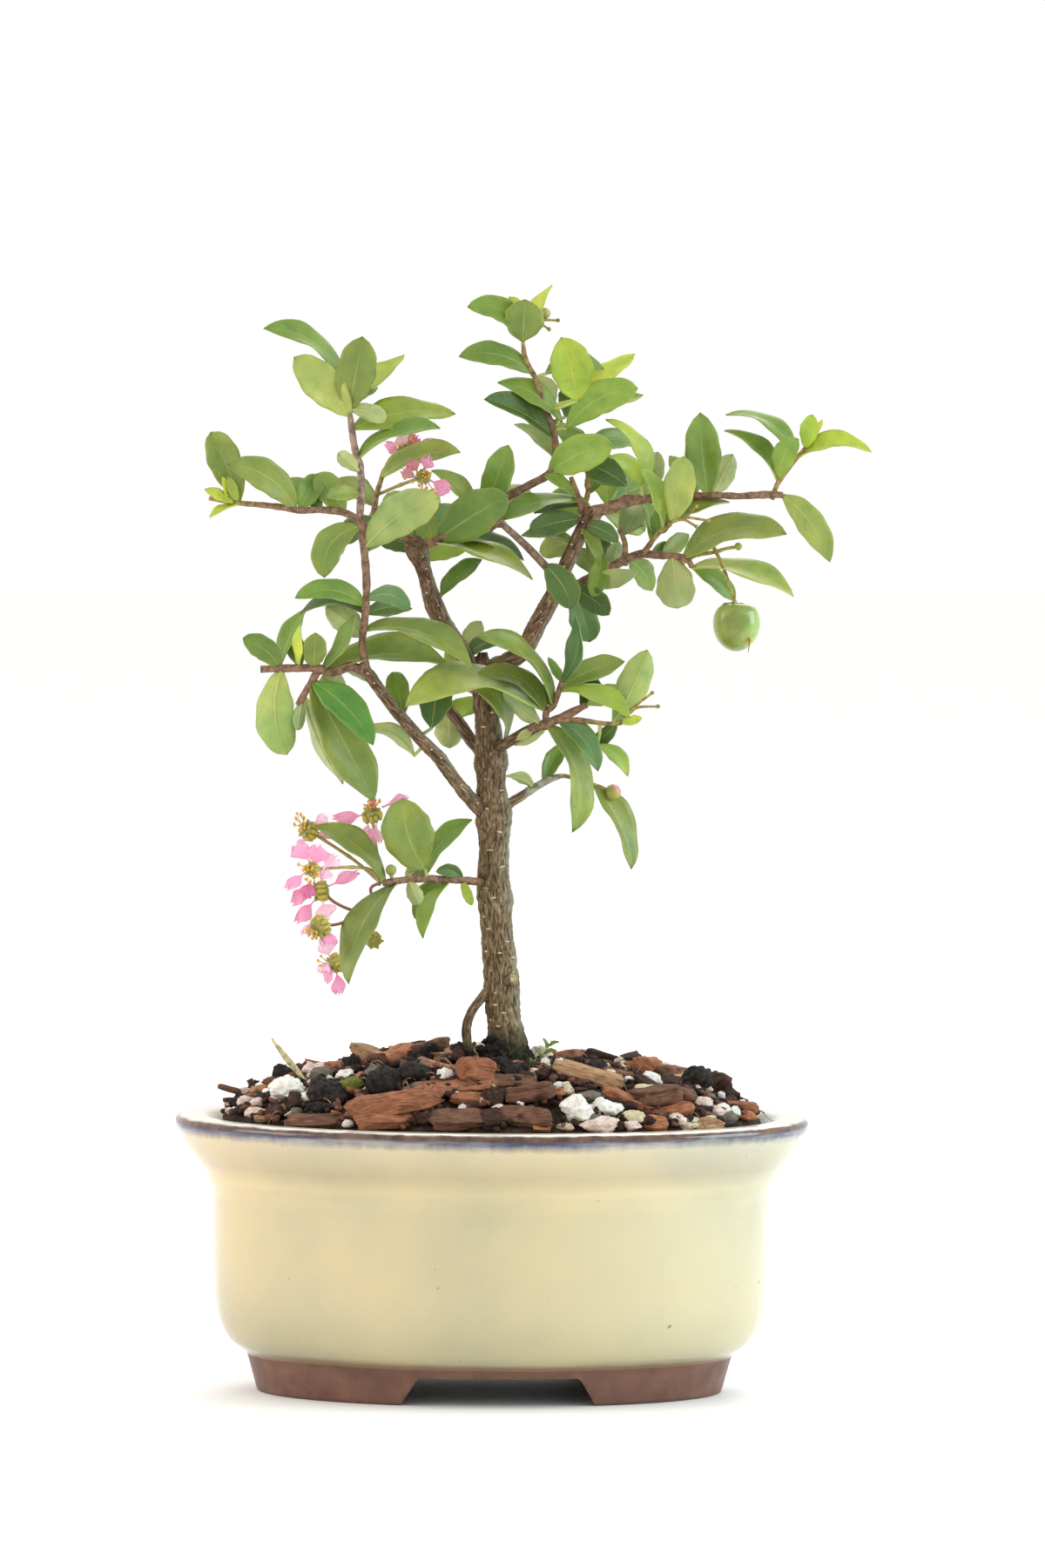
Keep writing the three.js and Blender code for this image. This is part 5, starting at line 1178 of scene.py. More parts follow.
# %% Finish of the leaves
LEAF_TONES = {
    "olive": paint(124, 141, 60), "green": paint(108, 136, 50), "bright": paint(146, 165, 60),
    "dark": paint(68, 97, 36), "bluish": paint(88, 124, 74), "young": paint(190, 202, 68),
    "pale": paint(156, 166, 108), "light": paint(158, 168, 84), "yellow": paint(186, 186, 78),
    "fresh": paint(122, 152, 56), "vivid": paint(74, 122, 42), "sage": paint(136, 152, 74),
    "lime": paint(168, 192, 58),
}
leaf_skin, tree, shader = new_finish("leaf_skin", 0.42)
own = own_tone(tree)
place = on_surface(tree)
along = component(tree, place, "X")
across = maths(tree, "ABSOLUTE", maths(tree, "SUBTRACT", component(tree, place, "Y"), 0.5))
slant = maths(tree, "SUBTRACT", along, times(tree, across, 0.56))
comb = maths(tree, "PINGPONG", times(tree, slant, SIDE_VEINS), 0.5)
vein = step_up(tree, comb, 0.09, 0.02)
fade = step_up(tree, along, 1.0, 0.4)
midrib = times(tree, step_up(tree, across, 0.03, 0.012), fade)
blotch = speckle(tree, 240, detail=7)
blotch = ramp(tree, blotch, (0.25, (0.7, 0.76, 0.66)), (0.5, WHITE), (0.78, (1.3, 1.2, 1.1)))
cloud = ramp(tree, speckle(tree, 75, detail=2), (0.34, (0.74, 0.85, 0.82)), (0.66, (1.2, 1.1, 0.98)))
ground = blend(tree, 1.0, blend(tree, 0.75, own, blotch, "MULTIPLY"), cloud, "MULTIPLY")
margin = times(tree, step_up(tree, across, 0.40, 0.5), 0.22)
ground = blend(tree, margin, ground, paint(190, 184, 96))
freckle = ramp(tree, speckle(tree, 900, detail=2), (0.67, BLACK), (0.75, (0.5,) * 3))
ground = blend(tree, freckle, ground, paint(96, 88, 46))
ground = blend(tree, times(tree, vein, 0.05), ground, paint(196, 202, 124))
ground = blend(tree, times(tree, midrib, 0.3), ground, paint(200, 196, 116))
tree.links.new(ground, shader.inputs["Base Color"])
shader.inputs["Specular IOR Level"].default_value = 0.45
quilt = plus(tree, speckle(tree, 1500), times(tree, vein, -0.5))
relief(tree, shader, quilt, 0.045)
print("leaf tones:", ", ".join(LEAF_TONES))

# %% [markdown]
# ## Plan of the leaves
# Every leaf is one row: its tone, where its blade starts and ends in the drawing, how much nearer to
# the eye its tip lies than its root, the width that shows, how far its middle bows, and 1 or -1 for
# the upper or lower face towards the eye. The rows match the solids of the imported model.

# %% Plan of the sprays high on the left
SPRAYS = {}
SPRAYS["spray_left_riser"] = {
    "twigs": [
        [(-33.2, 183.2, 13.9, 1.1), (-34, 188, 13.6, 1), (-33.3, 195, 13, 1), (-33, 203, 12, 1),
         (-33.5, 210, 11, 1), (-34.1, 215, 10.5, 1), (-34.8, 220.4, 10, 0.95)],
    ],
    "leaves": [
        ("olive", -33.6, 212, -14.8, 224.8, 7, 10.5, 2, -1), ("pale", -33, 211, -25, 216.5, -4, 3, 0.5, 1),
        ("bluish", -33.4, 199, -22.1, 196.7, 6, 5, 2.7, 1),
        ("dark", -33.2, 195.5, -21.5, 197, -6, 4.5, 1, 1),
        ("olive", -33.2, 191.5, -6.3, 181.8, 5, 5.5, 4.2, 1),
        ("green", -34.4, 197.5, -51, 199.4, 4, 5.4, 3, 1), ("dark", -35, 195.8, -49.5, 195.5, -6, 3, 2.5, 1),
        ("pale", -35, 190, -43.3, 197.3, -5, 7, 0.5, -1),
        ("olive", -35.6, 217.6, -43.6, 204.6, 5, 7.8, 3.6, 1),
    ],
}
SPRAYS["spray_left_tip"] = {
    "twigs": [
        [(-34.4, 218.4, 10, 0.9), (-36.6, 220.1, 10.5, 0.95), (-40, 221.3, 11.2, 0.95),
         (-45, 221.7, 12.2, 0.9), (-50, 221.5, 13, 0.85), (-55, 222.3, 14, 0.8), (-60, 222.8, 14.6, 0.75),
         (-65, 223.2, 15.3, 0.7), (-72.8, 224.3, 16, 0.5)],
    ],
    "leaves": [
        ("olive", -51.3, 220.6, -68.5, 232.8, 6, 8, 3, 1), ("olive", -65, 224, -72.5, 241, -5, 8.4, 0.5, 1),
        ("young", -66, 223.6, -74, 226.6, 3, 2.8, 0, 1), ("green", -50, 222, -45.5, 230.5, -5, 6, 0, 1),
        ("olive", -38.5, 221.6, -46, 230.7, -1, 7, 0.5, 1),
        ("green", -44.5, 221.4, -54.5, 229, -9, 5.5, 1, 1),
    ],
}
SPRAYS["spray_top_left"] = {
    "twigs": [
        [(-34.8, 221.1, 10, 0.95), (-34.6, 226, 9.8, 1), (-34.8, 231.5, 9.4, 1), (-36, 236, 9, 0.9),
         (-36.8, 240, 8.6, 0.85), (-37.5, 245, 8.2, 0.8), (-38.6, 250, 8, 0.6), (-39.8, 255, 8, 0.45)],
    ],
    "leaves": [
        ("green", -40.5, 255.8, -59.5, 267, 3, 5, 3.6, 1), ("olive", -37, 246.8, -34.6, 265.3, 8, 10, 0, 1),
        ("light", -38.2, 245, -51.8, 260, 6, 9.5, 0.6, 1), ("pale", -38.5, 246, -46, 250, -4, 4, 0.5, -1),
        ("bright", -38, 250.5, -24, 260.7, -8, 4.5, -0.4, 1),
        ("pale", -36.4, 247.2, -28.6, 244, 5, 4.6, 1, -1), ("bright", -36, 242, -11, 246, -5, 7, 2.2, 1),
        ("green", -34.8, 234.8, -14.8, 242.4, 6, 3.6, 2.5, 1),
        ("pale", -35.3, 231.3, -40.5, 236, 5, 4, 0, -1), ("olive", -35.6, 226, -43.5, 224.9, 9, 4, 0.4, 1),
        ("green", -38.3, 249, -31.5, 254, -11, 6, 0.6, 1),
    ],
}
print("sprays so far:", len(SPRAYS))

# %% Plan of the sprays low on the left
SPRAYS["spray_left_cluster"] = {
    "twigs": [
        [(-33.4, 181.2, 13.3, 1.2), (-37, 182.4, 13, 1.2), (-41, 181, 12.5, 1.15), (-46.2, 181.9, 12.3, 1.1),
         (-53, 181.8, 12.2, 1), (-59.5, 181.5, 12, 0.9)],
        [(-45, 181.2, 12.4, 0.95), (-47.5, 177, 13.6, 0.9), (-49.9, 172.5, 14.6, 0.9)],
    ],
    "leaves": [
        ("green", -54.8, 183.6, -48, 197, -9, 4, 0.8, 1), ("green", -43.8, 182, -35.8, 195.5, 4, 3.5, -1, 1),
        ("olive", -46, 182.8, -45.7, 190.8, 6, 6, 0, 1), ("green", -54.5, 183, -64, 189.3, 3, 6, 1.2, 1),
        ("bright", -54, 181, -52.6, 160, 6, 10, -2.4, -1),
        ("olive", -46.3, 178, -30.6, 148.4, 5, 11, 0.2, 1),
        ("vivid", -46.2, 178.4, -30.9, 162.6, 11, 8, 1.6, 1),
        ("pale", -47.5, 174.5, -38.4, 152.8, -6, 5.5, -1.2, -1),
        ("pale", -48.4, 173.6, -50, 166.2, 3, 3.2, 0, -1), ("pale", -40, 181.8, -42.5, 171, -4, 8, 0.5, -1),
        ("pale", -38, 181.6, -29.5, 178, -6, 3.6, 0.6, -1),
        ("olive", -42.5, 181.2, -11.3, 181.8, -9, 6.5, 3.8, 1),
        ("green", -49.5, 182, -53, 191, -9, 5, 0.5, 1),
    ],
}
SPRAYS["spray_left_fork"] = {
    "twigs": [
        [(-21, 213.6, -4, 1.2), (-25, 216, -3.2, 1.15), (-28.5, 217.5, -2.6, 1.05), (-31, 220, -2.4, 0.95),
         (-30.8, 225, -2.6, 0.75), (-29.4, 230, -3, 0.6)],
    ],
    "leaves": [
        ("dark", -23, 215.8, -27.5, 221.5, -5, 4, 0.3, 1),
        ("light", -29.2, 230.2, -9.7, 236.4, 5, 5.5, 2, 1), ("dark", -30.2, 219, -39, 213.5, -9, 6, 1.5, 1),
        ("olive", -31, 222.5, -40.5, 229.5, -10, 5.5, 1, 1),
    ],
}
print("sprays so far:", len(SPRAYS))

# %% Plan of the sprays in the middle
SPRAYS["spray_leader"] = {
    "twigs": [
        [(-18.6, 213, -3.6, 1.2), (-14, 214.9, -2, 1.2), (-9, 218, -1.2, 1.15), (-5, 220.6, -0.6, 1.1),
         (2, 225.3, 0, 1.1), (8, 228.5, 0.3, 1.05), (13, 231.5, 0.3, 1.05), (14.4, 236, 0.2, 1)],
    ],
    "leaves": [
        ("green", -16, 215.4, 2.4, 225.6, 12, 11.4, 0.4, 1), ("pale", -2, 224, 8.8, 225.8, -6, 7, 0.5, -1),
        ("green", -4.6, 222.6, 2.4, 238.4, 5, 7.5, -0.2, 1), ("olive", -6, 222, -17, 231.8, 4, 4, 1.4, 1),
        ("bright", -16.6, 213.2, 8.8, 204.6, 8, 3.8, 2.2, 1),
        ("dark", -12.5, 214.8, 6.5, 209.4, -7, 4.5, 1.5, 1),
        ("fresh", 13.6, 229.6, 28.8, 238.6, 8, 9.5, 1.4, 1), ("pale", 14.2, 235, 3.8, 243.5, -5, 3.4, 1, 1),
        ("olive", -16.8, 214.6, -19.3, 221.6, 5, 4.6, 0.4, 1),
    ],
}
SPRAYS["spray_apex"] = {
    "twigs": [
        [(14.5, 236.6, 0.2, 0.95), (13.5, 243, 0.8, 0.9), (12, 246, 1.2, 0.9), (10.7, 249.5, 1.6, 0.8),
         (9.4, 254.4, 2, 0.7), (7.5, 257.8, 2.2, 0.65), (6.2, 261, 2.4, 0.6), (5.7, 264.4, 2.5, 0.5)],
    ],
    "leaves": [
        ("olive", 5.7, 264.4, 6.2, 275, 4, 10, 0, 1), ("green", 4.6, 265, -8.4, 272.9, 2, 6, 4, 1),
        ("young", 4.4, 264.8, 2.2, 275.6, -5, 5, 0.5, 1), ("young", 6, 265, 13, 278.6, -3, 3, 0.6, 1),
        ("green", 11.6, 256.4, 26.2, 257.6, -6, 5.5, 2.4, 1),
        ("green", 7.2, 255.8, -10.4, 260.4, 4, 6, 2.6, 1), ("green", 15.8, 244.2, -0.6, 254, 3, 5, 2.4, 1),
        ("dark", 14, 240, -3.9, 249.8, 8, 6, 1.6, 1), ("lime", 19.6, 249.6, 15.4, 265.6, 9, 10.5, 0.5, 1),
        ("young", 19, 250, 34, 261.5, -8, 5.5, 0.4, 1), ("fresh", 17, 242.6, 34.9, 252.9, 6, 8.5, 2.6, 1),
        ("olive", 17.5, 243.4, 36.2, 251.2, -7, 4.5, 0.6, 1), ("dark", 16.6, 245.6, 19.4, 254, -9, 7, 0, 1),
        ("pale", 13.2, 247.6, 9.6, 255, -8, 6, 0.6, 1),
    ],
    "buds": [(11.2, 271.5, 0, 1.3)],
}
SPRAYS["spray_right_fork"] = {
    "twigs": [
        [(20.8, 218.4, 1.8, 1), (20.9, 222.5, 1.2, 0.85), (19.8, 226, 0.8, 0.75), (18.2, 230.5, 0.4, 0.65)],
        [(21, 221.5, 1.4, 0.7), (22.5, 226.5, -1, 0.65), (22.4, 232.5, -2, 0.6), (22, 237.4, -2, 0.5)],
    ],
    "leaves": [
        ("green", 20.5, 238, 33.8, 238.4, -9, 5, 2, 1), ("olive", 22.8, 226, 25, 231.5, -5, 4.5, 0, 1),
        ("green", 20, 225, 11.5, 230.6, 4, 3, 1, 1), ("green", 20.4, 224.6, 0.8, 219.3, 7, 4.5, 2, 1),
        ("dark", 20.2, 223, 9, 221.2, -5, 3.4, 1, 1), ("dark", 20.4, 220, 7.8, 216.8, 3, 6.5, 0.5, 1),
        ("dark", 21.2, 218.6, 30.3, 214.3, 6, 4.5, 1, 1),
        ("olive", 20.6, 217.6, 25.5, 209.6, 8, 3.4, 0.5, 1), ("green", 22.2, 235, 14, 244, -10, 5.5, 0.8, 1),
    ],
}
print("sprays so far:", len(SPRAYS))

# %% Plan of the sprays on the right
SPRAYS["spray_right_upper"] = {
    "twigs": [
        [(23.4, 221.7, 2, 1.6), (28, 222.8, 2.6, 1.6), (32, 224.5, 3.2, 1.55), (36, 225, 3.6, 1.3),
         (40, 225.3, 4, 1.15), (48, 226, 4.8, 1), (55, 226.2, 5.4, 0.9), (61, 226, 5.8, 0.8)],
    ],
    "leaves": [
        ("pale", 38, 226.8, 40, 237, -5, 5, 0, 1), ("bright", 37.4, 228.5, 26.8, 245, -2, 3.8, 3.2, 1),
        ("pale", 47.5, 227, 49, 237, -6, 4.4, 0, -1), ("green", 53, 227.2, 50.7, 247, 8, 9, -0.6, 1),
        ("pale", 54, 227.4, 59, 236.6, -6, 6, 0, -1), ("dark", 32.2, 228.4, 21, 234, -3, 7.2, 0.8, 1),
        ("bright", 36, 228.6, 28.5, 236, 8, 4.4, 1.4, 1), ("green", 44, 226, 40.5, 216.5, -9, 5.5, 0.5, 1),
        ("olive", 50, 226.4, 43, 236, -10, 5.5, 0.5, 1),
    ],
}
SPRAYS["spray_right_tip"] = {
    "twigs": [
        [(61.7, 226.1, 5.9, 0.8), (68, 226.5, 6.2, 0.95), (71.8, 226.4, 6.4, 0.9)],
        [(69.4, 226.6, 6.3, 0.7), (70.6, 229.6, 6.4, 0.65), (74.2, 234.6, 6.6, 0.65),
         (77.3, 238.2, 6.8, 0.6)],
    ],
    "leaves": [
        ("fresh", 73.2, 236, 57.1, 246.4, -6, 3.2, 4.4, 1),
        ("green", 69.6, 230.4, 56.8, 242.5, -4, 3.4, 2.2, 1),
        ("fresh", 70, 230.6, 75.6, 240.6, 4, 6, 1.6, 1), ("lime", 77.4, 238.4, 79, 246.8, 3, 4.6, 0, 1),
        ("yellow", 77, 238.6, 81.6, 245.4, -4, 2.4, 0, 1), ("lime", 75.4, 236, 94, 237.4, 4, 3.8, 2.7, 1),
        ("sage", 71.4, 224.4, 83.9, 209.6, 3, 7.2, 1.8, 1),
    ],
}
SPRAYS["spray_fruiting"] = {
    "twigs": [
        [(15.6, 200.9, -1.6, 1.5), (19, 202.5, -3.4, 1.45), (23, 204.8, -5, 1.3), (28, 207.5, -6, 1.25),
         (32, 209.7, -6.4, 1.15), (36, 211.3, -6, 1.1), (40, 211, -5, 1), (45, 210.8, -4, 0.9),
         (48, 209.8, -3.4, 0.8), (49, 208, -3, 0.7)],
        [(36.6, 211.3, -5.8, 0.8), (40, 216, 1, 0.65), (43.5, 219.5, 7, 0.6)],
        [(32, 209.7, -6.4, 0.8), (32, 214, -6, 0.7), (30.5, 217.5, -5.4, 0.6)],
        [(47.6, 209.8, -3.4, 0.6), (50, 211, -2.6, 0.5), (55, 212, -1, 0.5), (57.5, 212.8, 0, 0.45),
         (60.5, 213.3, 0.6, 0.4)],
        [(55, 212, -1, 0.5), (56.5, 209, 0.6, 0.45), (58, 205, 2.6, 0.45), (60.3, 198.5, 4, 0.5)],
    ],
    "leaves": [
        ("green", 26.2, 211.6, 24, 200.2, 6, 5.2, -0.4, 1), ("pale", 24, 203.2, 35.2, 206.9, 8, 5, -1, 1),
        ("pale", 28.4, 208.6, 30.4, 214.4, -5, 4.5, 0, -1), ("dark", 19.4, 200.4, 28.2, 195.8, 5, 6.2, 1, 1),
        ("bluish", 19.6, 200.6, 23.4, 189, -5, 7.4, 0.4, 1),
        ("green", 38.5, 211.8, 45.6, 214.2, -6, 3.5, 0, 1), ("olive", 41.5, 211.6, 48, 216.4, -9, 4.5, 0, 1),
        ("sage", 47, 211.4, 72.9, 216.5, 9, 7.5, 4.2, 1), ("pale", 44, 210, 45.4, 197.6, 5, 9.8, 0, -1),
        ("fresh", 50, 207.6, 59.9, 199.5, -6, 5, 1.2, 1), ("light", 50.5, 207, 74.8, 200.9, 6, 4.6, 2.6, 1),
        ("pale", 32.6, 216.4, 36, 223.8, -8, 7.2, 0, 1), ("light", 43.6, 219.4, 46.5, 236, 8, 8, -0.6, 1),
        ("bright", 41.8, 217.6, 35.6, 232.8, 12, 3.6, 1, 1),
        ("green", 38.6, 214.2, 35.6, 227, -9, 3, 0.6, 1), ("olive", 43.6, 219.4, 58.3, 224.5, -2, 3, 1, 1),
        ("green", 33, 210.4, 39, 202, -12, 6, 0.8, 1), ("olive", 25, 206, 17.5, 212, -12, 5, 0.8, 1),
    ],
    "buds": [(60.6, 213.4, 0, 0.9)],
}
print("sprays so far:", len(SPRAYS))

# %% Plan of the low sprays
SPRAYS["spray_low_right"] = {
    "twigs": [
        [(9.8, 167.3, 7.2, 1.25), (15, 169.3, 8.4, 1.2), (19, 171.2, 9.4, 1), (22.8, 173.2, 10.4, 0.85)],
        [(14, 169, 8.3, 0.8), (20.7, 169.3, 10, 0.7), (27.2, 168.5, 11.4, 0.6), (31.7, 168.6, 12.2, 0.5)],
        [(12.6, 168.2, 8, 0.9), (12.6, 171.4, 7.6, 0.9), (14.4, 173, 7.4, 0.8), (16.5, 178.8, 6.6, 0.7)],
    ],
    "leaves": [
        ("sage", 12, 171.4, -23, 172.4, 10, 7.6, 7.6, 1), ("olive", 12, 171, -5.2, 180.5, 3, 5, 4.2, 1),
        ("pale", 11, 169.2, 1.5, 176.8, 1.5, 4.5, -0.4, -1),
        ("olive", 13.8, 173.4, -5, 190.2, 8, 4.2, 4.4, 1),
        ("bluish", 16.6, 178.6, 19.6, 195.6, 3, 4, -2.4, 1),
        ("green", 16.3, 178.8, 12.9, 185, -3, 2.4, 0, 1), ("olive", 17, 177.2, 32.3, 184.1, -4, 6, 1, 1),
        ("bright", 29.5, 169.2, 38, 187.2, -4, 8, -0.6, -1),
        ("bright", 17, 176.2, 33.7, 169.8, 9, 4.5, 2.6, 1), ("dark", 21, 173.2, 25, 180, -7, 5, 0, 1),
        ("bluish", 15.6, 169.2, 25.8, 156.4, 8, 5.5, 2, 1),
        ("olive", 13.4, 167.6, 19.5, 141, 4, 6.4, 4.4, 1),
        ("bright", 25.6, 163, 33.4, 155.2, -2, 3.8, 1.6, 1), ("dark", 30.5, 168, 25, 164, -4, 4, -0.5, 1),
        ("pale", 13.4, 167.4, 4.7, 162.8, -5, 3.5, -0.5, -1),
        ("young", 31.6, 168.8, 36.8, 170, 2, 2.4, 0, 1), ("green", 14.4, 173, 6, 177.5, -7, 5, 1, 1),
        ("olive", 22.6, 173.4, 33, 176, -9, 5.5, 1, 1),
    ],
}
SPRAYS["spray_grey_limb"] = {
    "twigs": [
        [(6.2, 149.9, -2.7, 1.15), (11.5, 153.2, -4, 1.0), (15.6, 155, -4.6, 0.75), (18.5, 155, -4.8, 0.5),
         (25, 153, -5, 0.5), (28.2, 151.7, -5, 0.55)],
    ],
    "leaves": [
        ("green", 12, 153.6, 17, 162.9, -5, 4.5, 0.5, 1), ("pale", 9.6, 152.2, 2.6, 155, 5, 2.6, 1, -1),
        ("olive", 24.5, 153, 34.5, 131.8, 4, 5.6, 1.9, 1),
        ("dark", 20.5, 154.4, 21.5, 146, -11, 5.5, 0.5, 1),
    ],
    "buds": [(29.6, 151.1, 0, 1.9)],
}
SPRAYS["spray_flowering"] = {
    "twigs": [
        [(-4.4, 128.4, 3.2, 1.0), (-9, 128.8, 5.4, 0.95), (-15.1, 129, 8, 0.95), (-21.1, 128.9, 10.4, 0.9),
         (-28.1, 127.9, 12.6, 0.85)],
    ],
    "leaves": [
        ("olive", -17.5, 131.4, -23.3, 149.4, 7, 13, -1.6, 1),
        ("olive", -27.8, 128.8, -45.8, 142, 2, 5.5, 2.7, 1),
        ("olive", -24, 127, -36.6, 102.4, 12, 6.6, 3.2, 1), ("green", -18, 131, -5.8, 144, -6, 5, 2.2, 1),
        ("dark", -8, 129.4, -14.8, 130.8, 4, 3.4, 1.4, 1), ("fresh", -11, 127.6, -17.9, 114, 4, 3.6, 2.3, 1),
        ("pale", -21.5, 127.6, -19, 122.4, 2, 4, 0, -1), ("bright", -8.4, 127.8, -5.6, 122.4, 2, 2.6, 0, 1),
        ("pale", -22.4, 129.4, -15, 134.6, -9, 5, 0.6, -1),
        ("green", -13, 128.4, -20, 119, -10, 5.5, 0.8, 1),
    ],
    "buds": [(-26.2, 131.2, 0, 1.3)],
}
print("sprays so far:", len(SPRAYS))

# %% Plan of the sprays behind the trunk
SPRAYS["spray_back_left"] = {
    "twigs": [
        [(-16.6, 198.6, -4.4, 1.2), (-18, 203, -13, 1.15), (-19.5, 209, -23, 1), (-21, 215, -33, 0.8)],
    ],
    "leaves": [
        ("green", -21.4, 215.4, -33, 219.5, -8, 8, 1, 1), ("olive", -21.2, 215.4, -28, 226, -7, 8, 0.6, 1),
        ("green", -20.2, 213.5, -9, 222, -7, 8, 0.6, 1), ("dark", -20.2, 211.6, -31, 214.8, 1, 6, 1, 1),
        ("bright", -19.4, 209, -7, 213.5, -6, 6, 1, 1), ("green", -21, 215, -17, 227, -12, 7, -0.5, 1),
    ],
}
SPRAYS["spray_back_right"] = {
    "twigs": [
        [(17.8, 209.8, -1.2, 1.2), (20.5, 214, -11, 1.1), (24, 219, -22, 0.95), (27.5, 223.5, -32, 0.8)],
    ],
    "leaves": [
        ("green", 27.5, 224, 40, 229, -7, 8, 1, 1), ("bright", 27, 224, 25, 237, -7, 8, 0.5, 1),
        ("olive", 26, 222, 37, 217, -6, 7, 1, 1), ("green", 24, 219.6, 13, 226, -5, 7, 0.6, 1),
        ("dark", 22, 216.4, 30, 208.5, -7, 7, -0.6, 1), ("olive", 20.5, 214, 10.5, 211.5, -9, 6, 0.6, 1),
        ("green", 27.5, 223.5, 32.5, 233, -13, 7, 0.4, 1),
    ],
}
SPRAYS["spray_back_low"] = {
    "twigs": [
        [(-1.4, 167.5, -2.4, 1.2), (0, 171, -12, 1.1), (-3, 174.4, -22, 0.95), (-7, 177, -31, 0.8)],
    ],
    "leaves": [
        ("green", -7, 177.4, -19, 178, -6, 7, 1.5, 1), ("olive", -7, 177, -12, 188.5, -6, 7, 0.5, 1),
        ("green", -5, 176, 3, 184.5, -6, 7, 0.4, 1), ("dark", -1, 172.6, 9, 176.4, -6, 6, 1, 1),
        ("bright", -1.5, 173, -13, 170.4, -4, 5, 1, 1),
    ],
}
print("sprays in all:", len(SPRAYS))

# %% Single leaves on old wood
LONE_LEAVES = {
    "leaf_under_low_limb": (LOW_LEFT_LIMB, ("pale", -20.6, 160, -33, 166.8, -5, 3.8, 2.4, -1)),
    "leaf_above_low_limb": (LOW_LEFT_LIMB, ("dark", -16.3, 167, -14.6, 180.4, -3, 8.6, 0, 1)),
    "leaf_behind_low_limb": (LOW_LEFT_LIMB, ("green", -22.4, 170.8, -26.4, 181, -7, 6, 0.5, 1)),
    "leaf_on_spur": (TRUNK_SPUR, ("pale", -10.6, 172.6, -11.6, 162, -5, 7.6, 0, -1)),
    "leaf_on_trunk": (TRUNK, ("olive", 2.2, 163.8, -6, 177.2, 12, 4.6, 4, 1)),
    "leaf_on_left_limb": (LEFT_LIMB, ("dark", -7.2, 185.2, 3.3, 189.2, 4, 4, 1.6, 1)),
    "leaf_behind_left_limb": (LEFT_LIMB, ("pale", -8, 185.6, -4, 194, -5, 5, 0.4, -1)),
    "leaf_fan_on_left_limb": (LEFT_LIMB, ("green", -14.2, 200.4, -4, 209.5, -5, 4.6, 0.8, 1)),
}
print("single leaves:", len(LONE_LEAVES))

# %% Grow the sprays
BUD_TONES = [paint(148, 152, 76), paint(206, 124, 150)]
TWIG_BROWN = np.array(paint(126, 94, 70))
GREYER = {"spray_grey_limb": paint(140, 136, 118), "spray_top_left": paint(142, 118, 102)}
STALK_YELLOW = np.array(paint(158, 138, 70))
OVERLAP = 1.4
TWIG_SIDES = 12


def grow_bud(bench, twigs, x, z, out, radius):
    """A round bud on a short stalk. A large bud gets a pink tip where the petals show."""
    rx, rz, near = nearest_on(twigs, x, z)
    root, centre = seen(rx, rz, near), seen(x, z, near + out)
    points, faces = ball(12, 16)
    share = np.clip((points[:, 2] + points[:, 0] - 0.5) / 0.8, 0, 1)[:, None]
    tones = (1 - share) * np.array(BUD_TONES[0]) + share * np.array(BUD_TONES[int(radius > 1.5)])
    seams = 1 + 0.06 * np.cos(5 * np.arctan2(points[:, 1], points[:, 0]))[:, None]
    bench.add(centre + points * seams * radius * 1.05, faces, tones)
    if np.linalg.norm(centre - root) > 0.3:
        bench.add(*tube(np.array([[*root, 0.4], [*centre, 0.5 * radius]]), 8), BUD_TONES[0])


leaf_count = 0
for name, plan in SPRAYS.items():
    twigs, leaves = Bench(), Bench()
    for twig in plan["twigs"]:
        rows = smooth_rows(drawn(twig))
        back = rows[0] - OVERLAP * (rows[1] - rows[0]) / np.linalg.norm(rows[1] - rows[0])
        rows = np.vstack([[*back[:3], rows[0, 3]], rows])
        rows[:, 3] *= [1 + 0.22 * noise.noise(Vector(row[:3]) * 0.55) for row in rows]
        young = np.clip((0.8 - rows[:, 3]) / 0.3, 0, 1)[:, None]
        wood = np.array(GREYER.get(name, TWIG_BROWN))
        tones = (1 - young) * wood + young * STALK_YELLOW
        points, faces = tube(rows, TWIG_SIDES)
        tones = np.vstack([np.repeat(tones, TWIG_SIDES, axis=0), tones[:1], tones[-1:]])
        twigs.add(points, faces, tones)
    for tone, *row in plan["leaves"]:
        grow_leaf(leaves, plan["twigs"], LEAF_TONES[tone], row)
        leaf_count += 1
    for x, z, out, radius in plan.get("buds", []):
        grow_bud(leaves, plan["twigs"], x, z, out, radius)
    set_out(name + "_twigs", twigs.mesh(name + "_twigs"), young_bark, [name])
    set_out(name + "_leaves", leaves.mesh(name + "_leaves"), leaf_skin, [name])
for name, (carrier, (tone, *row)) in LONE_LEAVES.items():
    lone = Bench()
    grow_leaf(lone, [carrier], LEAF_TONES[tone], row)
    set_out(name + "_fine", lone.mesh(name), leaf_skin, [name])
    leaf_count += 1
print("leaves:", leaf_count)

# %% [markdown]
# ## Small growth
# At the tips stand leaves a few millimetres long and yellow stalks that have lost their flowers. They
# are too small for solids of their own, so each is grown from the nearest twig.

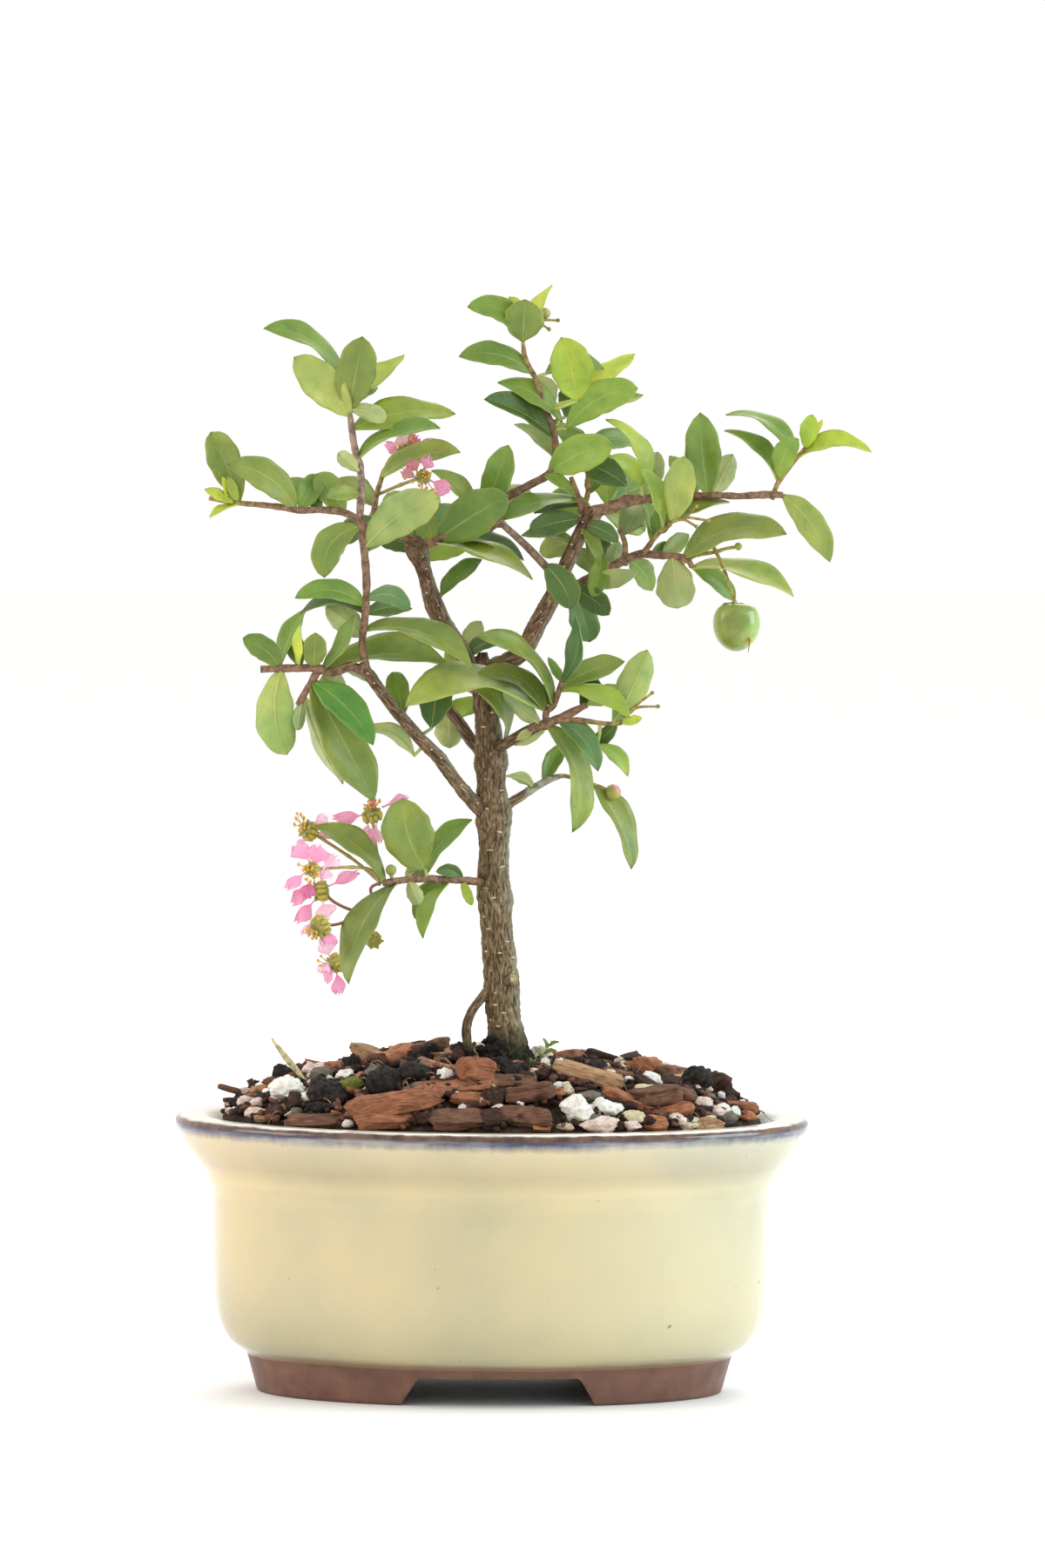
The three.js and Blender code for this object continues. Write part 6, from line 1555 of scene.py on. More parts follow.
# %% Tiny leaves and bare stalks
TINY_LEAVES = {
    "spray_left_tip": [
        ("young", -67.5, 224.5, -69.5, 229.8, 1, 2, 0.2, 1), ("bright", -65.5, 224, -68, 230, 2, 2.6, 0, 1),
        ("young", -65, 223, -72.6, 219.5, 2, 1.6, 0.4, 1), ("fresh", -66.5, 224, -71, 231.5, -1, 2, 0, 1),
    ],
    "spray_left_cluster": [("young", -50, 182, -49.5, 193, 3, 2.2, 0, 1)],
    "spray_low_right": [("pale", 9.6, 167, 5, 164, 2, 2, 0, 1)],
}
BARE_STALKS = {
    "spray_apex": [[(6.4, 266), (10, 269.5), (14.5, 269.8)], [(6.4, 265.6), (10, 268.5), (12.3, 267.5)]],
    "spray_fruiting": [
        [(43.5, 219.5), (47, 220.5), (50, 223.3)], [(43.5, 219.5), (47.4, 220.5), (53, 219.8)],
        [(43.4, 219.2), (46.6, 220), (50, 218.3)],
    ],
    "spray_low_right": [
        [(31, 168.4), (33.7, 171.8), (39.3, 176.3)], [(31, 168.6), (35.3, 172.4), (40.8, 172.9)],
    ],
}
growth, bare = Bench(), Bench()
for name, rows in TINY_LEAVES.items():
    for tone, *row in rows:
        grow_leaf(growth, SPRAYS[name]["twigs"], LEAF_TONES[tone], row)
for name, stalks in BARE_STALKS.items():
    for stalk in stalks:
        near = nearest_on(SPRAYS[name]["twigs"], *stalk[0])[2]
        rows = [(x, z, near + 0.8 * k, 0.42 - 0.06 * k) for k, (x, z) in enumerate(stalk)]
        bare.add(*tube(smooth_rows(drawn(rows)), 8), STALK_YELLOW)
        points, faces = ball(7, 9)
        bare.add(seen(*rows[-1][:3]) + points * 0.55, faces, STALK_YELLOW)
set_out("young_leaves", growth.mesh("young_leaves"), leaf_skin, [])
set_out("bare_stalks", bare.mesh("bare_stalks"), young_bark, [])
print("tiny leaves and stalks, faces:", len(growth.faces) + len(bare.faces))

# %% [markdown]
# ## Blossoms
# A Barbados cherry flower has five pink petals. Each is a narrow claw that widens into a ruffled
# spoon with a torn edge. A tuft of gold stamens stands in the middle, and the cup below carries fat
# oil glands. Flowers open and fade one after the other, so no two look alike. Each petal is one
# stroke in the drawing: where it starts and ends, how wide it is, how far its tip comes nearer, and
# its shade. Each cup stands at the place of its solid.

# %% Plan of the low blossoms
STALK_FORK = (-31, 123.4, 7)
LOW_BLOSSOMS = [
    {
        "at": (-46.6, 140.8, 11), "faces": (-0.72, 0.35, 0.4), "cup": 2.6,
        "stalk": [(-28.8, 128, 12), (-36, 134, 10.4)],
        "petals": [(-46, 142.3, -42.6, 144.8, 2.2, 1, "pale"), (-45.4, 141, -41.8, 139.6, 2, -2, "pale"),
                   (-47.4, 139.6, -49.4, 136.2, 2.2, -3, "pink")],
        "anthers": [(-50.6, 142.5), (-50.2, 144), (-50, 145.3), (-49, 145), (-48.2, 144.2)],
    },
    {
        "at": (-45.8, 131.2, 21), "faces": (-0.8, 0.1, 0.6), "cup": 2.0,
        "stalk": [(-28.8, 128, 12.4), (-31.5, 131.3, 14), (-38, 131.8, 18)],
        "petals": [(-46.2, 132.8, -50, 137.6, 4, -1, "pink"), (-44.8, 131.6, -44.6, 137.3, 4.8, 1, "pink"),
                   (-43.4, 131, -40, 134.6, 3, 0, "pale"), (-43.4, 130.6, -41.2, 129.4, 2, 1, "pale"),
                   (-47.6, 130.6, -52.4, 126.2, 2.4, 1, "pink")],
        "anthers": [(-49.5, 132.5), (-47, 132), (-46, 131.5), (-45, 130.6), (-44.6, 129.6),
                    (-48, 131.4)],
    },
    {
        "at": (-43.4, 125.8, 9.5), "faces": (-0.85, -0.15, -0.2), "cup": 2.7,
        "stalk": [(-28.8, 128, 12), (-31.2, 126.6, 9.2), STALK_FORK, (-34.6, 120.9, 8), (-40, 122.8, 9)],
        "petals": [(-42, 127, -34.6, 130.8, 2.4, 2, "pink"), (-43.6, 128, -43.4, 131.8, 1.2, 0, "pale"),
                   (-45.6, 127, -51, 122.6, 3, 2, "pink"), (-46.4, 128.6, -47.4, 124.4, 2.6, 3, "deep"),
                   (-45, 123.8, -49.8, 117.8, 2.8, 0, "pink"), (-43.4, 123.6, -41.8, 119, 4, 2, "pale")],
        "anthers": [(-47.5, 128.8), (-45.5, 129.2), (-46.5, 128), (-47.6, 126.8)],
    },
    {
        "at": (-43.8, 117, 19), "faces": (-0.6, -0.45, 0.6), "cup": 2.9,
        "stalk": [STALK_FORK, (-34.6, 119.9, 8.5), (-39, 117.6, 14)],
        "petals": [(-42.8, 115, -40.2, 112.4, 2.4, 1, "pink"), (-43.9, 114.6, -43.2, 112, 1.2, 0, "pale"),
                   (-46, 117.6, -48.6, 115, 1.6, 0, "pale")],
        "anthers": [(-46.6, 114.6), (-47.2, 116), (-45.8, 113.8), (-44.8, 114)],
    },
    {
        "at": (-39.4, 107.8, 9), "faces": (-0.7, -0.45, 0.1), "cup": 2.6,
        "stalk": [STALK_FORK, (-32.6, 116, 7.6), (-36.4, 110, 8)],
        "petals": [(-41.4, 108.6, -42.8, 113.6, 4, 1, "pale"), (-41.6, 108, -43.4, 105, 2.4, 1, "pale"),
                   (-39.8, 106.2, -38.8, 99.8, 2.4, 2, "pink"), (-40.6, 106.4, -42.4, 102.8, 2, 3, "pink")],
        "anthers": [(-44.3, 108.2), (-43.6, 109.4), (-43.8, 107)],
    },
    {
        "at": (-31, 144.8, 6), "faces": (-0.25, 0.8, 0.4), "cup": 2.6,
        "stalk": [(-28.8, 128, 12), (-29.2, 127.8, 9), (-29.4, 133, 5.6), (-30.4, 140, 5.6)],
        "petals": [(-32.6, 145, -40.8, 144.2, 2.6, 3, "pink"), (-31, 142.6, -31, 138, 1.8, 2, "pink"),
                   (-32, 142.6, -33, 139.4, 1.6, 1, "pale"), (-30, 142.6, -29.2, 138, 1.6, 1, "pale"),
                   (-30.6, 146.6, -30.9, 149.4, 1.6, 0, "deep"),
                   (-28.6, 147, -22.2, 149.4, 1.8, -2, "pink")],
        "anthers": [(-29.2, 148.6), (-30, 147.8), (-31.6, 148.2), (-32.2, 147.4)],
    },
]
print("low blossoms:", len(LOW_BLOSSOMS))

# %% Plan of the upper blossoms
UPPER_BLOSSOMS = [
    {
        "at": (-23.6, 237, -6), "faces": (-0.5, 0.6, 0.5), "cup": 1.9,
        "stalk": [(-30.6, 226, -3.4), (-28.8, 232, -8)],
        "petals": [(-24, 237, -25, 241, 3, 1, "pale"), (-22.8, 237.6, -20.6, 240.4, 2.2, 0, "deep"),
                   (-22.6, 237, -16, 239.4, 2, 1, "pale"), (-24.4, 236.6, -28.6, 238.4, 2.4, -1, "pink")],
        "anthers": [(-22.3, 239.8), (-23.2, 240), (-21.6, 239)],
    },
    {
        "at": (-19, 230.2, 3), "faces": (0.2, 0.3, 0.9), "cup": 2.0,
        "stalk": [(-30.4, 225.6, -3.4), (-25, 228, -1)],
        "petals": [(-18.8, 231.4, -17.4, 235.2, 2.6, 1, "pink"), (-20, 231, -22.4, 234.4, 2.8, 0, "dusk"),
                   (-17.6, 229.6, -12.2, 227, 3.2, 2, "pink"), (-20.6, 229.6, -24.2, 231.9, 2, 1, "dusk"),
                   (-19.2, 228.6, -19.4, 221.8, 2.2, 1, "pink")],
        "anthers": [(-23.6, 229.9), (-21.8, 228.9), (-20, 228), (-18.2, 227.3), (-16.4, 226.8)],
    },
]
PINKS = {
    "pale": paint(250, 204, 220), "pink": paint(243, 164, 197), "deep": paint(230, 126, 168),
    "dusk": paint(214, 140, 150),
}
print("upper blossoms:", len(UPPER_BLOSSOMS), "shades of pink:", len(PINKS))

# %% Petals
PETAL_ROWS, PETAL_COLUMNS = 19, 11
FULL_PETAL = 4
PETAL_HALF_THICKNESS = 0.08


def flower_space(at, faces, size):
    """Turns points of a flower that looks up into its place on the tree."""
    axis = unit(np.array([faces[0], -faces[2], faces[1]]))
    side = unit(np.cross((0.0, 0.0, 1.0), axis))
    ways = np.array([side, np.cross(axis, side), axis]) * size
    return lambda points: seen(*at) + np.asarray(points) @ ways


def petal(bench, at, stroke):
    """One petal along its stroke: a claw, then a ruffled spoon with a torn end."""
    x0, z0, x1, z1, width, out, shade = stroke
    base, tip = seen(x0, z0, at[2] + 0.6), seen(x1, z1, at[2] + 0.6 + out)
    length = np.linalg.norm(tip - base)
    along = (tip - base) / length
    to_eye = unit(EYE - base)
    to_eye = unit(to_eye - along * to_eye.dot(along))
    turn = dice.uniform(-0.5, 0.5)
    across = np.cross(along, to_eye)
    above = math.cos(turn) * to_eye + math.sin(turn) * across
    across = np.cross(along, above)
    s = np.linspace(0, 1, PETAL_ROWS)[:, None]
    a = np.linspace(-1, 1, PETAL_COLUMNS)[None, :]
    claw = 0.26 if length > FULL_PETAL else 0.1
    blade = np.clip((s - claw) / (1 - claw), 0, 1)
    half = 0.22 + 0.62 * width * np.sin(np.pi * np.clip(blade, 0, 0.95) ** 1.35) ** 0.62
    phase = dice.uniform(0, 6)
    reach = s * length * (1 + 0 * a)
    reach = reach + blade**3 * (0.5 * np.sin(6 * a + phase) + 0.3 * np.sin(15 * a - phase))
    reach = reach - 0.1 * width * a**2 * blade
    height = 0.5 * np.sin(3.1 * s) + 0.24 * a**2 * blade * width / 3
    height = height + 0.3 * blade * np.sin(3.4 * a + 7 * s + phase)
    height = height + 0.12 * blade**2 * np.sin(11 * a - phase + 9 * s)
    half = half * (1 + 0.13 * np.sin(9 * s + phase) + 0.16 * a * np.sin(6 * s + 2 * phase))
    spots = [reach[..., None] * along, (half * a)[..., None] * across, height[..., None] * above]
    flat = base + sum(spots)
    upper, lower = flat + PETAL_HALF_THICKNESS * above, flat - PETAL_HALF_THICKNESS * above
    points, faces = shell(upper.reshape(-1, 3), lower.reshape(-1, 3), PETAL_ROWS, PETAL_COLUMNS)
    places = np.stack([s + 0 * a, (a + 1) / 2 + 0 * s], -1).reshape(-1, 2)
    bench.add(points, faces, PINKS[shade], np.vstack([places, places]))


print("points in one petal:", 2 * PETAL_ROWS * PETAL_COLUMNS)

# %% Stamens, cups and stalks
FILAMENT, ANTHER = paint(196, 176, 110), paint(224, 168, 56)
CUP_GREEN, GLAND_YELLOW, LOBE_GREEN = paint(148, 142, 64), paint(184, 168, 72), paint(150, 150, 70)
STALK_TONES = [paint(164, 144, 84), paint(150, 98, 72)]
STALK_RADIUS = 0.42
SUNNY_ABOVE = 128
SHORT_STAMENS = 7
CUP_SIDES = 20
CUP_RINGS = ((0.5, -1.5), (1.4, -1.2), (1.9, -0.2), (2.0, 0.9), (1.7, 1.6), (1.2, 1.7))


def stamens(bench, place, at, anthers):
    """The long stamens end where they were drawn. Short ones crowd the middle."""
    heads = [(seen(x, z, at[2] + 1.5 + dice.uniform(-1, 1)), 1.0) for x, z in anthers]
    for k in range(SHORT_STAMENS):
        turn = 2 * math.pi * k / SHORT_STAMENS
        heads.append((place([1.1 * math.cos(turn), 1.1 * math.sin(turn), dice.uniform(2.4, 3.4)]), 0.7))
    for k, (head, size) in enumerate(heads):
        turn = 2.4 * k
        foot = place([0.6 * math.cos(turn), 0.6 * math.sin(turn), 1.2])
        middle = (foot + head) / 2 + (place([0, 0, 1]) - place([0, 0, 0])) * 0.3
        rows = np.vstack([np.vstack([foot, middle, head]).T, [0.17, 0.15, 0.13]]).T
        bench.add(*tube(rows, 7), FILAMENT)
        points, faces = ball(7, 9)
        points = turned_by(points * (0.36, 0.4, 0.62), dice.uniform(0, 6), dice.uniform(0, 1.5))
        bench.add(points * size + head, faces, ANTHER)


def calyx(bench, at, place, stalk):
    """A cup of five lobes, a pair of fat glands on each, and the stalk with its joint."""
    rings = []
    turn = 2 * np.pi * np.arange(CUP_SIDES) / CUP_SIDES
    for radius, level in CUP_RINGS:
        wavy = radius * (1 + 0.09 * np.cos(5 * turn))
        rings.append(np.column_stack([wavy * np.cos(turn), wavy * np.sin(turn), 0 * turn + level]))
    cup = np.vstack(rings + [[[0, 0, -1.5], [0, 0, 1.4]]])
    faces = []
    last = (len(rings) - 1) * CUP_SIDES
    for start in range(0, last, CUP_SIDES):
        for k in range(CUP_SIDES):
            after = (k + 1) % CUP_SIDES
            faces.append([start + k, start + after, start + CUP_SIDES + after, start + CUP_SIDES + k])
    below, above = last + CUP_SIDES, last + CUP_SIDES + 1
    faces += [[below, (k + 1) % CUP_SIDES, k] for k in range(CUP_SIDES)]
    faces += [[above, last + k, last + (k + 1) % CUP_SIDES] for k in range(CUP_SIDES)]
    bench.add(place(cup), faces, CUP_GREEN)
    knob, knob_faces = ball(9, 12)
    for k in range(10):
        spot = 2 * math.pi * (k // 2 + (0.21 if k % 2 else -0.21)) / 5 + 0.3
        gland = knob * (0.6, 0.56, 1.15) + (1.95, 0, -0.1)
        bench.add(place(turned_by(gland, spot, 0)), knob_faces, GLAND_YELLOW)
    lobe = knob * (0.75, 0.5, 0.35) + (1.75, 0, 1.6)
    for k in range(5):
        bench.add(place(turned_by(lobe, 2 * math.pi * k / 5 + 0.3, 0)), knob_faces, LOBE_GREEN)
    rows = smooth_rows(drawn([(*point, STALK_RADIUS) for point in [*stalk, at]]))
    rows[:, 3] *= 1 + 0.25 * (np.abs(np.arange(len(rows)) - 0.45 * len(rows)) < 1)
    bench.add(*tube(rows, 10), STALK_TONES[int(at[1] < SUNNY_ABOVE)])


print("points round one cup:", CUP_SIDES * len(CUP_RINGS))

# %% Finishes of the blossoms
def soft_finish(name, roughness, scale, dark, light, depth):
    """A fine grain over each point's own tone."""
    finish, tree, shader = new_finish(name, roughness)
    own = own_tone(tree)
    grain = ramp(tree, speckle(tree, scale, detail=4), (0.3, (dark,) * 3), (0.7, (light,) * 3))
    tree.links.new(blend(tree, 1.0, grain, own, "MULTIPLY"), shader.inputs["Base Color"])
    relief(tree, shader, speckle(tree, scale * 2), depth)
    return finish


petal_skin, tree, shader = new_finish("petal_skin", 0.6)
shader.inputs["Subsurface Weight"].default_value = 0.25
shader.inputs["Subsurface Radius"].default_value = (0.001, 0.0006, 0.0006)
own = own_tone(tree)
place = on_surface(tree)
reach = component(tree, place, "X")
wash = ramp(tree, reach, (0.0, (1.0, 1.2, 1.15)), (0.3, (0.98, 0.92, 0.95)), (1.0, (1.06, 1.14, 1.1)))
threads = speckle(tree, 1, stretched(tree, place, 1.5, 14, 1), 5)
threads = ramp(tree, threads, (0.3, (0.88, 0.74, 0.8)), (0.6, WHITE))
pink = blend(tree, 1.0, blend(tree, 1.0, own, wash, "MULTIPLY"), threads, "MULTIPLY")
tree.links.new(pink, shader.inputs["Base Color"])
relief(tree, shader, speckle(tree, 900, detail=4), 0.1)
stamen_skin = soft_finish("stamen_skin", 0.6, 900, 0.8, 1.15, 0.05)
calyx_skin = soft_finish("calyx_skin", 0.42, 700, 0.78, 1.15, 0.06)
print("finishes:", petal_skin.name, stamen_skin.name, calyx_skin.name)

# %% Open the blossoms
CUP_RADIUS = 2.45
SPENT_CUP = (-30.4, 113.6, 5)
for where, plans in (("low", LOW_BLOSSOMS), ("upper", UPPER_BLOSSOMS)):
    stalks = Bench()
    for number, plan in enumerate(plans, 1):
        at = plan["at"]
        place = flower_space(at, plan["faces"], plan["cup"] / CUP_RADIUS)
        petals, tuft = Bench(), Bench()
        for stroke in plan["petals"]:
            petal(petals, at, stroke)
        stamens(tuft, place, at, plan["anthers"])
        calyx(stalks, at, place, plan["stalk"])
        end = f"{where}_{number}"
        set_out("petals_fine_" + end, petals.mesh("petals"), petal_skin, ["petals_" + end])
        set_out("stamens_fine_" + end, tuft.mesh("tuft"), stamen_skin, ["stamens_" + end])
    name = "flower_stalks_" + where
    if where == "low":
        place = flower_space(SPENT_CUP, (0.3, -0.3, 0.4), 0.9)
        calyx(stalks, SPENT_CUP, place, [STALK_FORK, (-31, 118, 6)])
    set_out(name + "_fine", stalks.mesh(name), calyx_skin, [name])
print("petals drawn:", sum(len(plan["petals"]) for plan in LOW_BLOSSOMS + UPPER_BLOSSOMS))

# %% [markdown]
# ## The ripening cherry
# One fruit hangs on the right, still green. Its shoulders are broad and nearly flat, and it narrows
# below, with three shallow lobes, one for each stone inside. Its right side is painted a lighter mint
# green and its left olive, a painted highlight of the light that falls from the right. The glands of
# the dried cup stay on top, and a brown scar with a black hair shows where the petals were.

# %% Fruit
FRUIT_AT = seen(60.3, 193.1, 4)
FRUIT_RADIUS = 5.95
FRUIT_HALF_HEIGHT = 6.2
points, faces = ball(40, 56)
turn = np.arctan2(points[:, 1], points[:, 0])
level = points[:, 2]
square = 2 + 0.7 * np.clip(level, 0, 1)
flat = np.maximum(1 - np.abs(level) ** square, 0) ** (1 / square) * (0.99 + 0.09 * level)
lobes = 1 + 0.035 * np.cos(3 * turn + 0.6)
lobes += [0.035 * noise.noise(Vector(point) * 1.7) for point in points]
hollow = 1 - 0.12 * np.exp(-((flat / 0.32) ** 2)) * (level > 0)
fruit = Bench()
shape = np.column_stack([
    FRUIT_RADIUS * flat * lobes * np.cos(turn), FRUIT_RADIUS * flat * lobes * np.sin(turn),
    FRUIT_HALF_HEIGHT * level * hollow,
])
# Painted light: the skin goes from olive on the left to a lighter mint where the light falls, on the right.
lit = np.clip(0.25 + 0.7 * points[:, 0] + 0.1 * level, 0, 1)[:, None] ** 1.6
olive, mint = np.array(paint(136, 148, 62)), np.array(paint(146, 184, 100))
fruit.add(FRUIT_AT + shape, faces, (1 - lit) * olive + lit * mint)
knob, knob_faces = ball(9, 12)
spot = FRUIT_AT + unit(np.array([0.52, -0.66, -0.54])) * FRUIT_RADIUS * 0.97
fruit.add(spot + knob * (0.95, 0.5, 0.85), knob_faces, paint(190, 180, 70))
fruit.add(spot + knob * (0.6, 0.5, 0.55) + (0.05, -0.28, 0), knob_faces, paint(146, 116, 60))
hair = [((0, 0, 0), 0.14), ((-0.1, -1.0, -1.6), 0.11), ((-0.3, -0.9, -3.2), 0.06)]
hair = [[*(spot + shift), radius] for shift, radius in hair]
fruit.add(*tube(smooth_rows(hair, 0.5), 7), paint(40, 34, 26))
top = FRUIT_AT + (-0.6, 0, FRUIT_HALF_HEIGHT * 0.93)
for k in range(10):
    gland = knob * (1.2, 0.62, 0.55) + (1.9, 0, 0)
    gland = turned_by(gland, 2 * math.pi * (k // 2 + (0.2 if k % 2 else -0.2)) / 5, 0.1)
    fruit.add(top + gland, knob_faces, paint(118, 108, 48))
fruit.add(top + knob * (1.1, 1.1, 0.7), knob_faces, paint(150, 136, 66))
print("fruit across, mm:", round(2 * FRUIT_RADIUS, 1), "faces:", len(fruit.faces))

# %% Skin of the fruit
fruit_skin, tree, shader = new_finish("fruit_skin", 0.3)
shader.inputs["Coat Weight"].default_value = 0.3
shader.inputs["Coat Roughness"].default_value = 0.1
shader.inputs["Subsurface Weight"].default_value = 0.15
shader.inputs["Subsurface Radius"].default_value = (0.001, 0.0014, 0.0005)
own = own_tone(tree)
mottle = ramp(tree, speckle(tree, 160, detail=8), (0.35, (0.66, 0.68, 0.52)), (0.62, (1.14, 1.1, 1.06)))
skin = blend(tree, 1.0, own, mottle, "MULTIPLY")
specks = ramp(tree, speckle(tree, 1500, detail=2), (0.66, BLACK), (0.74, (0.6,) * 3))
tree.links.new(blend(tree, specks, skin, paint(180, 188, 118)), shader.inputs["Base Color"])
relief(tree, shader, speckle(tree, 500), 0.06)
set_out("fruit_fine", fruit.mesh("fruit"), fruit_skin, ["fruit"])
print("shader nodes in the skin of the fruit:", len(tree.nodes))

# %% [markdown]
# ## Small things on the ground
# Dry sticks, a cream leaf sliver, a tuft of moss and a seedling by the trunk, and fine rootlets that
# curl out of the mix. They are too thin for solids of their own, so they are only dressed on. Each
# lies on the mound or stands in it.

# %% Sticks and rootlets
litter, green = Bench(), Bench()
ROOTLETS = 70
STICKS = [
    ((-23.4, 85), (-9, 81), 0.95, "red"), ((-61.3, 78), (-59.1, 73.8), 0.9, "dark"),
    ((-48.6, 80.6), (-45.6, 76.4), 0.7, "dark"), ((-40, 81.6), (-38.4, 80.2), 0.4, "dark"),
    ((-32.5, 83.4), (-27.7, 81.8), 0.7, "red"), ((-20, 76.4), (0, 78), 0.5, "red"),
    ((66.2, 72), (69, 70), 0.2, "dark"), ((-13, 79.8), (9, 79.4), 0.5, "brown"),
]
for (x0, z0), (x1, z1), radius, shade in STICKS:
    rows = []
    for share in np.linspace(0, 1, 5):
        x, z = x0 + share * (x1 - x0), z0 + share * (z1 - z0)
        wander = 0.4 * math.sin(5 * share + x0)
        rows.append([*seen(x, z + 0.5 * wander, on_mound(x, z - radius)), radius * (1 - 0.3 * share)])
    litter.add(*tube(smooth_rows(rows, 1.0), 9), MIX[shade])
points, faces = ball(8, 10)
litter.add(seen(-22.8, 84.9, on_mound(-22.8, 84)) + points * 1.05, faces, MIX["brown"])
sliver = [(-55.8, 88.5, 5, 0.3), (-52, 83.5, 5, 0.85), (-49, 80, 5.5, 0.7), (-47, 77, 6, 0.3)]
litter.add(*tube(smooth_rows(drawn(sliver), 1.0), 9), paint(196, 182, 136))
for k in range(ROOTLETS):
    x, near = dice.uniform(-58, 58), dice.uniform(-30, 36)
    reach, lift = dice.uniform(2, 6), dice.uniform(0.6, 2.2)
    loop = []
    for share, high in ((0, -1.2), (0.3, lift), (0.7, 0.7 * lift), (1, -1.2)):
        spot = (x + reach * share, -near + 2 * math.sin(3 * share + k))
        loop.append([*spot, mound(*spot) + 0.6 + high, 0.13])
    litter.add(*tube(smooth_rows(loop), 6), paint(150, 118, 84))
print("sticks:", len(STICKS), "rootlets:", ROOTLETS, "faces:", len(litter.faces))

# %% Moss and the seedling
MOSS_BLADES = 170
for _ in range(MOSS_BLADES):
    x, z, near = dice.gauss(11.2, 1.1), 81 + dice.uniform(-1.5, 1.8), dice.gauss(3, 2.5)
    blade = [(x, z, near, 0.22), (x + dice.uniform(-0.8, 0.8), z + dice.uniform(0.6, 1.6), near, 0.05)]
    green.add(*tube(drawn(blade), 5), LEAF_TONES[dice.choice(("green", "bright"))])
seedling = [(11, 82, 5, 0.2), (12.5, 84.5, 5, 0.18), (13.6, 86.2, 5, 0.15), (14.9, 88.4, 5, 0.1)]
green.add(*tube(smooth_rows(drawn(seedling)), 6), LEAF_TONES["pale"])
for row in (
    (12.4, 84.3, 10.6, 86.6, 1, 0.9, 0.2, 1), (13, 85.2, 16.2, 85.8, 1, 0.9, 0.2, 1),
    (13.8, 86.5, 12.6, 88.9, 0, 0.8, 0.2, 1), (14.2, 87.2, 16.8, 88, 1, 0.8, 0.2, 1),
):
    grow_leaf(green, [seedling], LEAF_TONES["green"], row)
set_out("litter", litter.mesh("litter"), young_bark, [])
set_out("moss_and_seedling", green.mesh("moss_and_seedling"), leaf_skin, [])
print("faces in moss and seedling:", len(green.faces))

# %% [markdown]
# ## Crust at the foot of the trunk
# Black humus clings to the foot of the trunk, and fills the corner between it and the aerial root. It
# is piled from rough crumbs, each pressed against the side of the bark that faces the eye.

# %% Humus crust
CRUST_LUMPS = 130
CRUST_TOP = ((-7.5, 83), (-4, 86), (-1, 89.5), (2, 88), (5, 85.4), (11, 80.5))
crust = Bench()
for _ in range(CRUST_LUMPS):
    x = dice.uniform(-7, 10.8)
    z = dice.uniform(78.5, np.interp(x, *zip(*CRUST_TOP)))
    row = limbs[0][np.abs(limbs[0][:, 2] - z).argmin()]
    near = math.sqrt(max(row[3] ** 2 - (x - row[0]) ** 2, 4.0)) - 0.5
    size = dice.uniform(1.2, 2.8)
    points, faces, _ = stone((size, 0.9 * size, 0.9 * size), 0.5, (8, 11))
    crust.add(seen(x, z, near) + points, faces, MIX[dice.choice(("black", "black", "dark"))])
set_out("humus_crust", crust.mesh("humus_crust"), crumbs, [])
print("crust faces:", len(crust.faces))

# %% [markdown]
# ## A bare twig in the crown
# A short dead twig stands out towards the eye between the two main limbs, with a torn nib at its tip.
# One dark leaf hangs from its side, in front of the right limb, and a paler one lies behind it.

# %% Bare twig
BARE_TWIG = [
    (15.4, 204.6, 1.6, 1.15), (12.6, 207.4, 4, 1.05), (8.6, 211.6, 7, 1.0), (5, 215, 10, 0.92),
    (1.8, 217.8, 12, 0.88), (0.3, 219.4, 12.6, 0.95),
]
TORN_NIB = [(1.2, 218.2, 12.2, 0.7), (-0.6, 218.0, 12.6, 0.55), (-2.1, 216.3, 12.8, 0.25)]
BARE_TWIG_LEAF = ("dark", 10.9, 207.7, 18.7, 197.2, 3, 7.8, 1.2, 1)
LEAF_BEHIND = ("sage", 18.6, 213.6, 5.9, 215.6, -5, 3.4, 1.6, 1)
dead = Bench()
for twig, tone in ((BARE_TWIG, paint(112, 88, 70)), (TORN_NIB, paint(96, 72, 56))):
    dead.add(*tube(smooth_rows(drawn(twig)), 12), tone)
leaves = Bench()
for stem, (tone, *row) in ((BARE_TWIG, BARE_TWIG_LEAF), (RIGHT_LIMB, LEAF_BEHIND)):
    grow_leaf(leaves, [stem], LEAF_TONES[tone], row)
set_out("bare_twig", dead.mesh("bare_twig"), young_bark, [])
set_out("bare_twig_leaves", leaves.mesh("bare_twig_leaves"), leaf_skin, [])
print("bare twig faces:", len(dead.faces) + len(leaves.faces))

# %% [markdown]
# ## Floor and light
# The plant stands on a near-white floor in a bright white room. Two large soft lights stand left and
# right and a little in front, so that the sides of the pot are lit and its face stays cream. The
# right one is cooler and stronger. A third lights the leaves from behind.

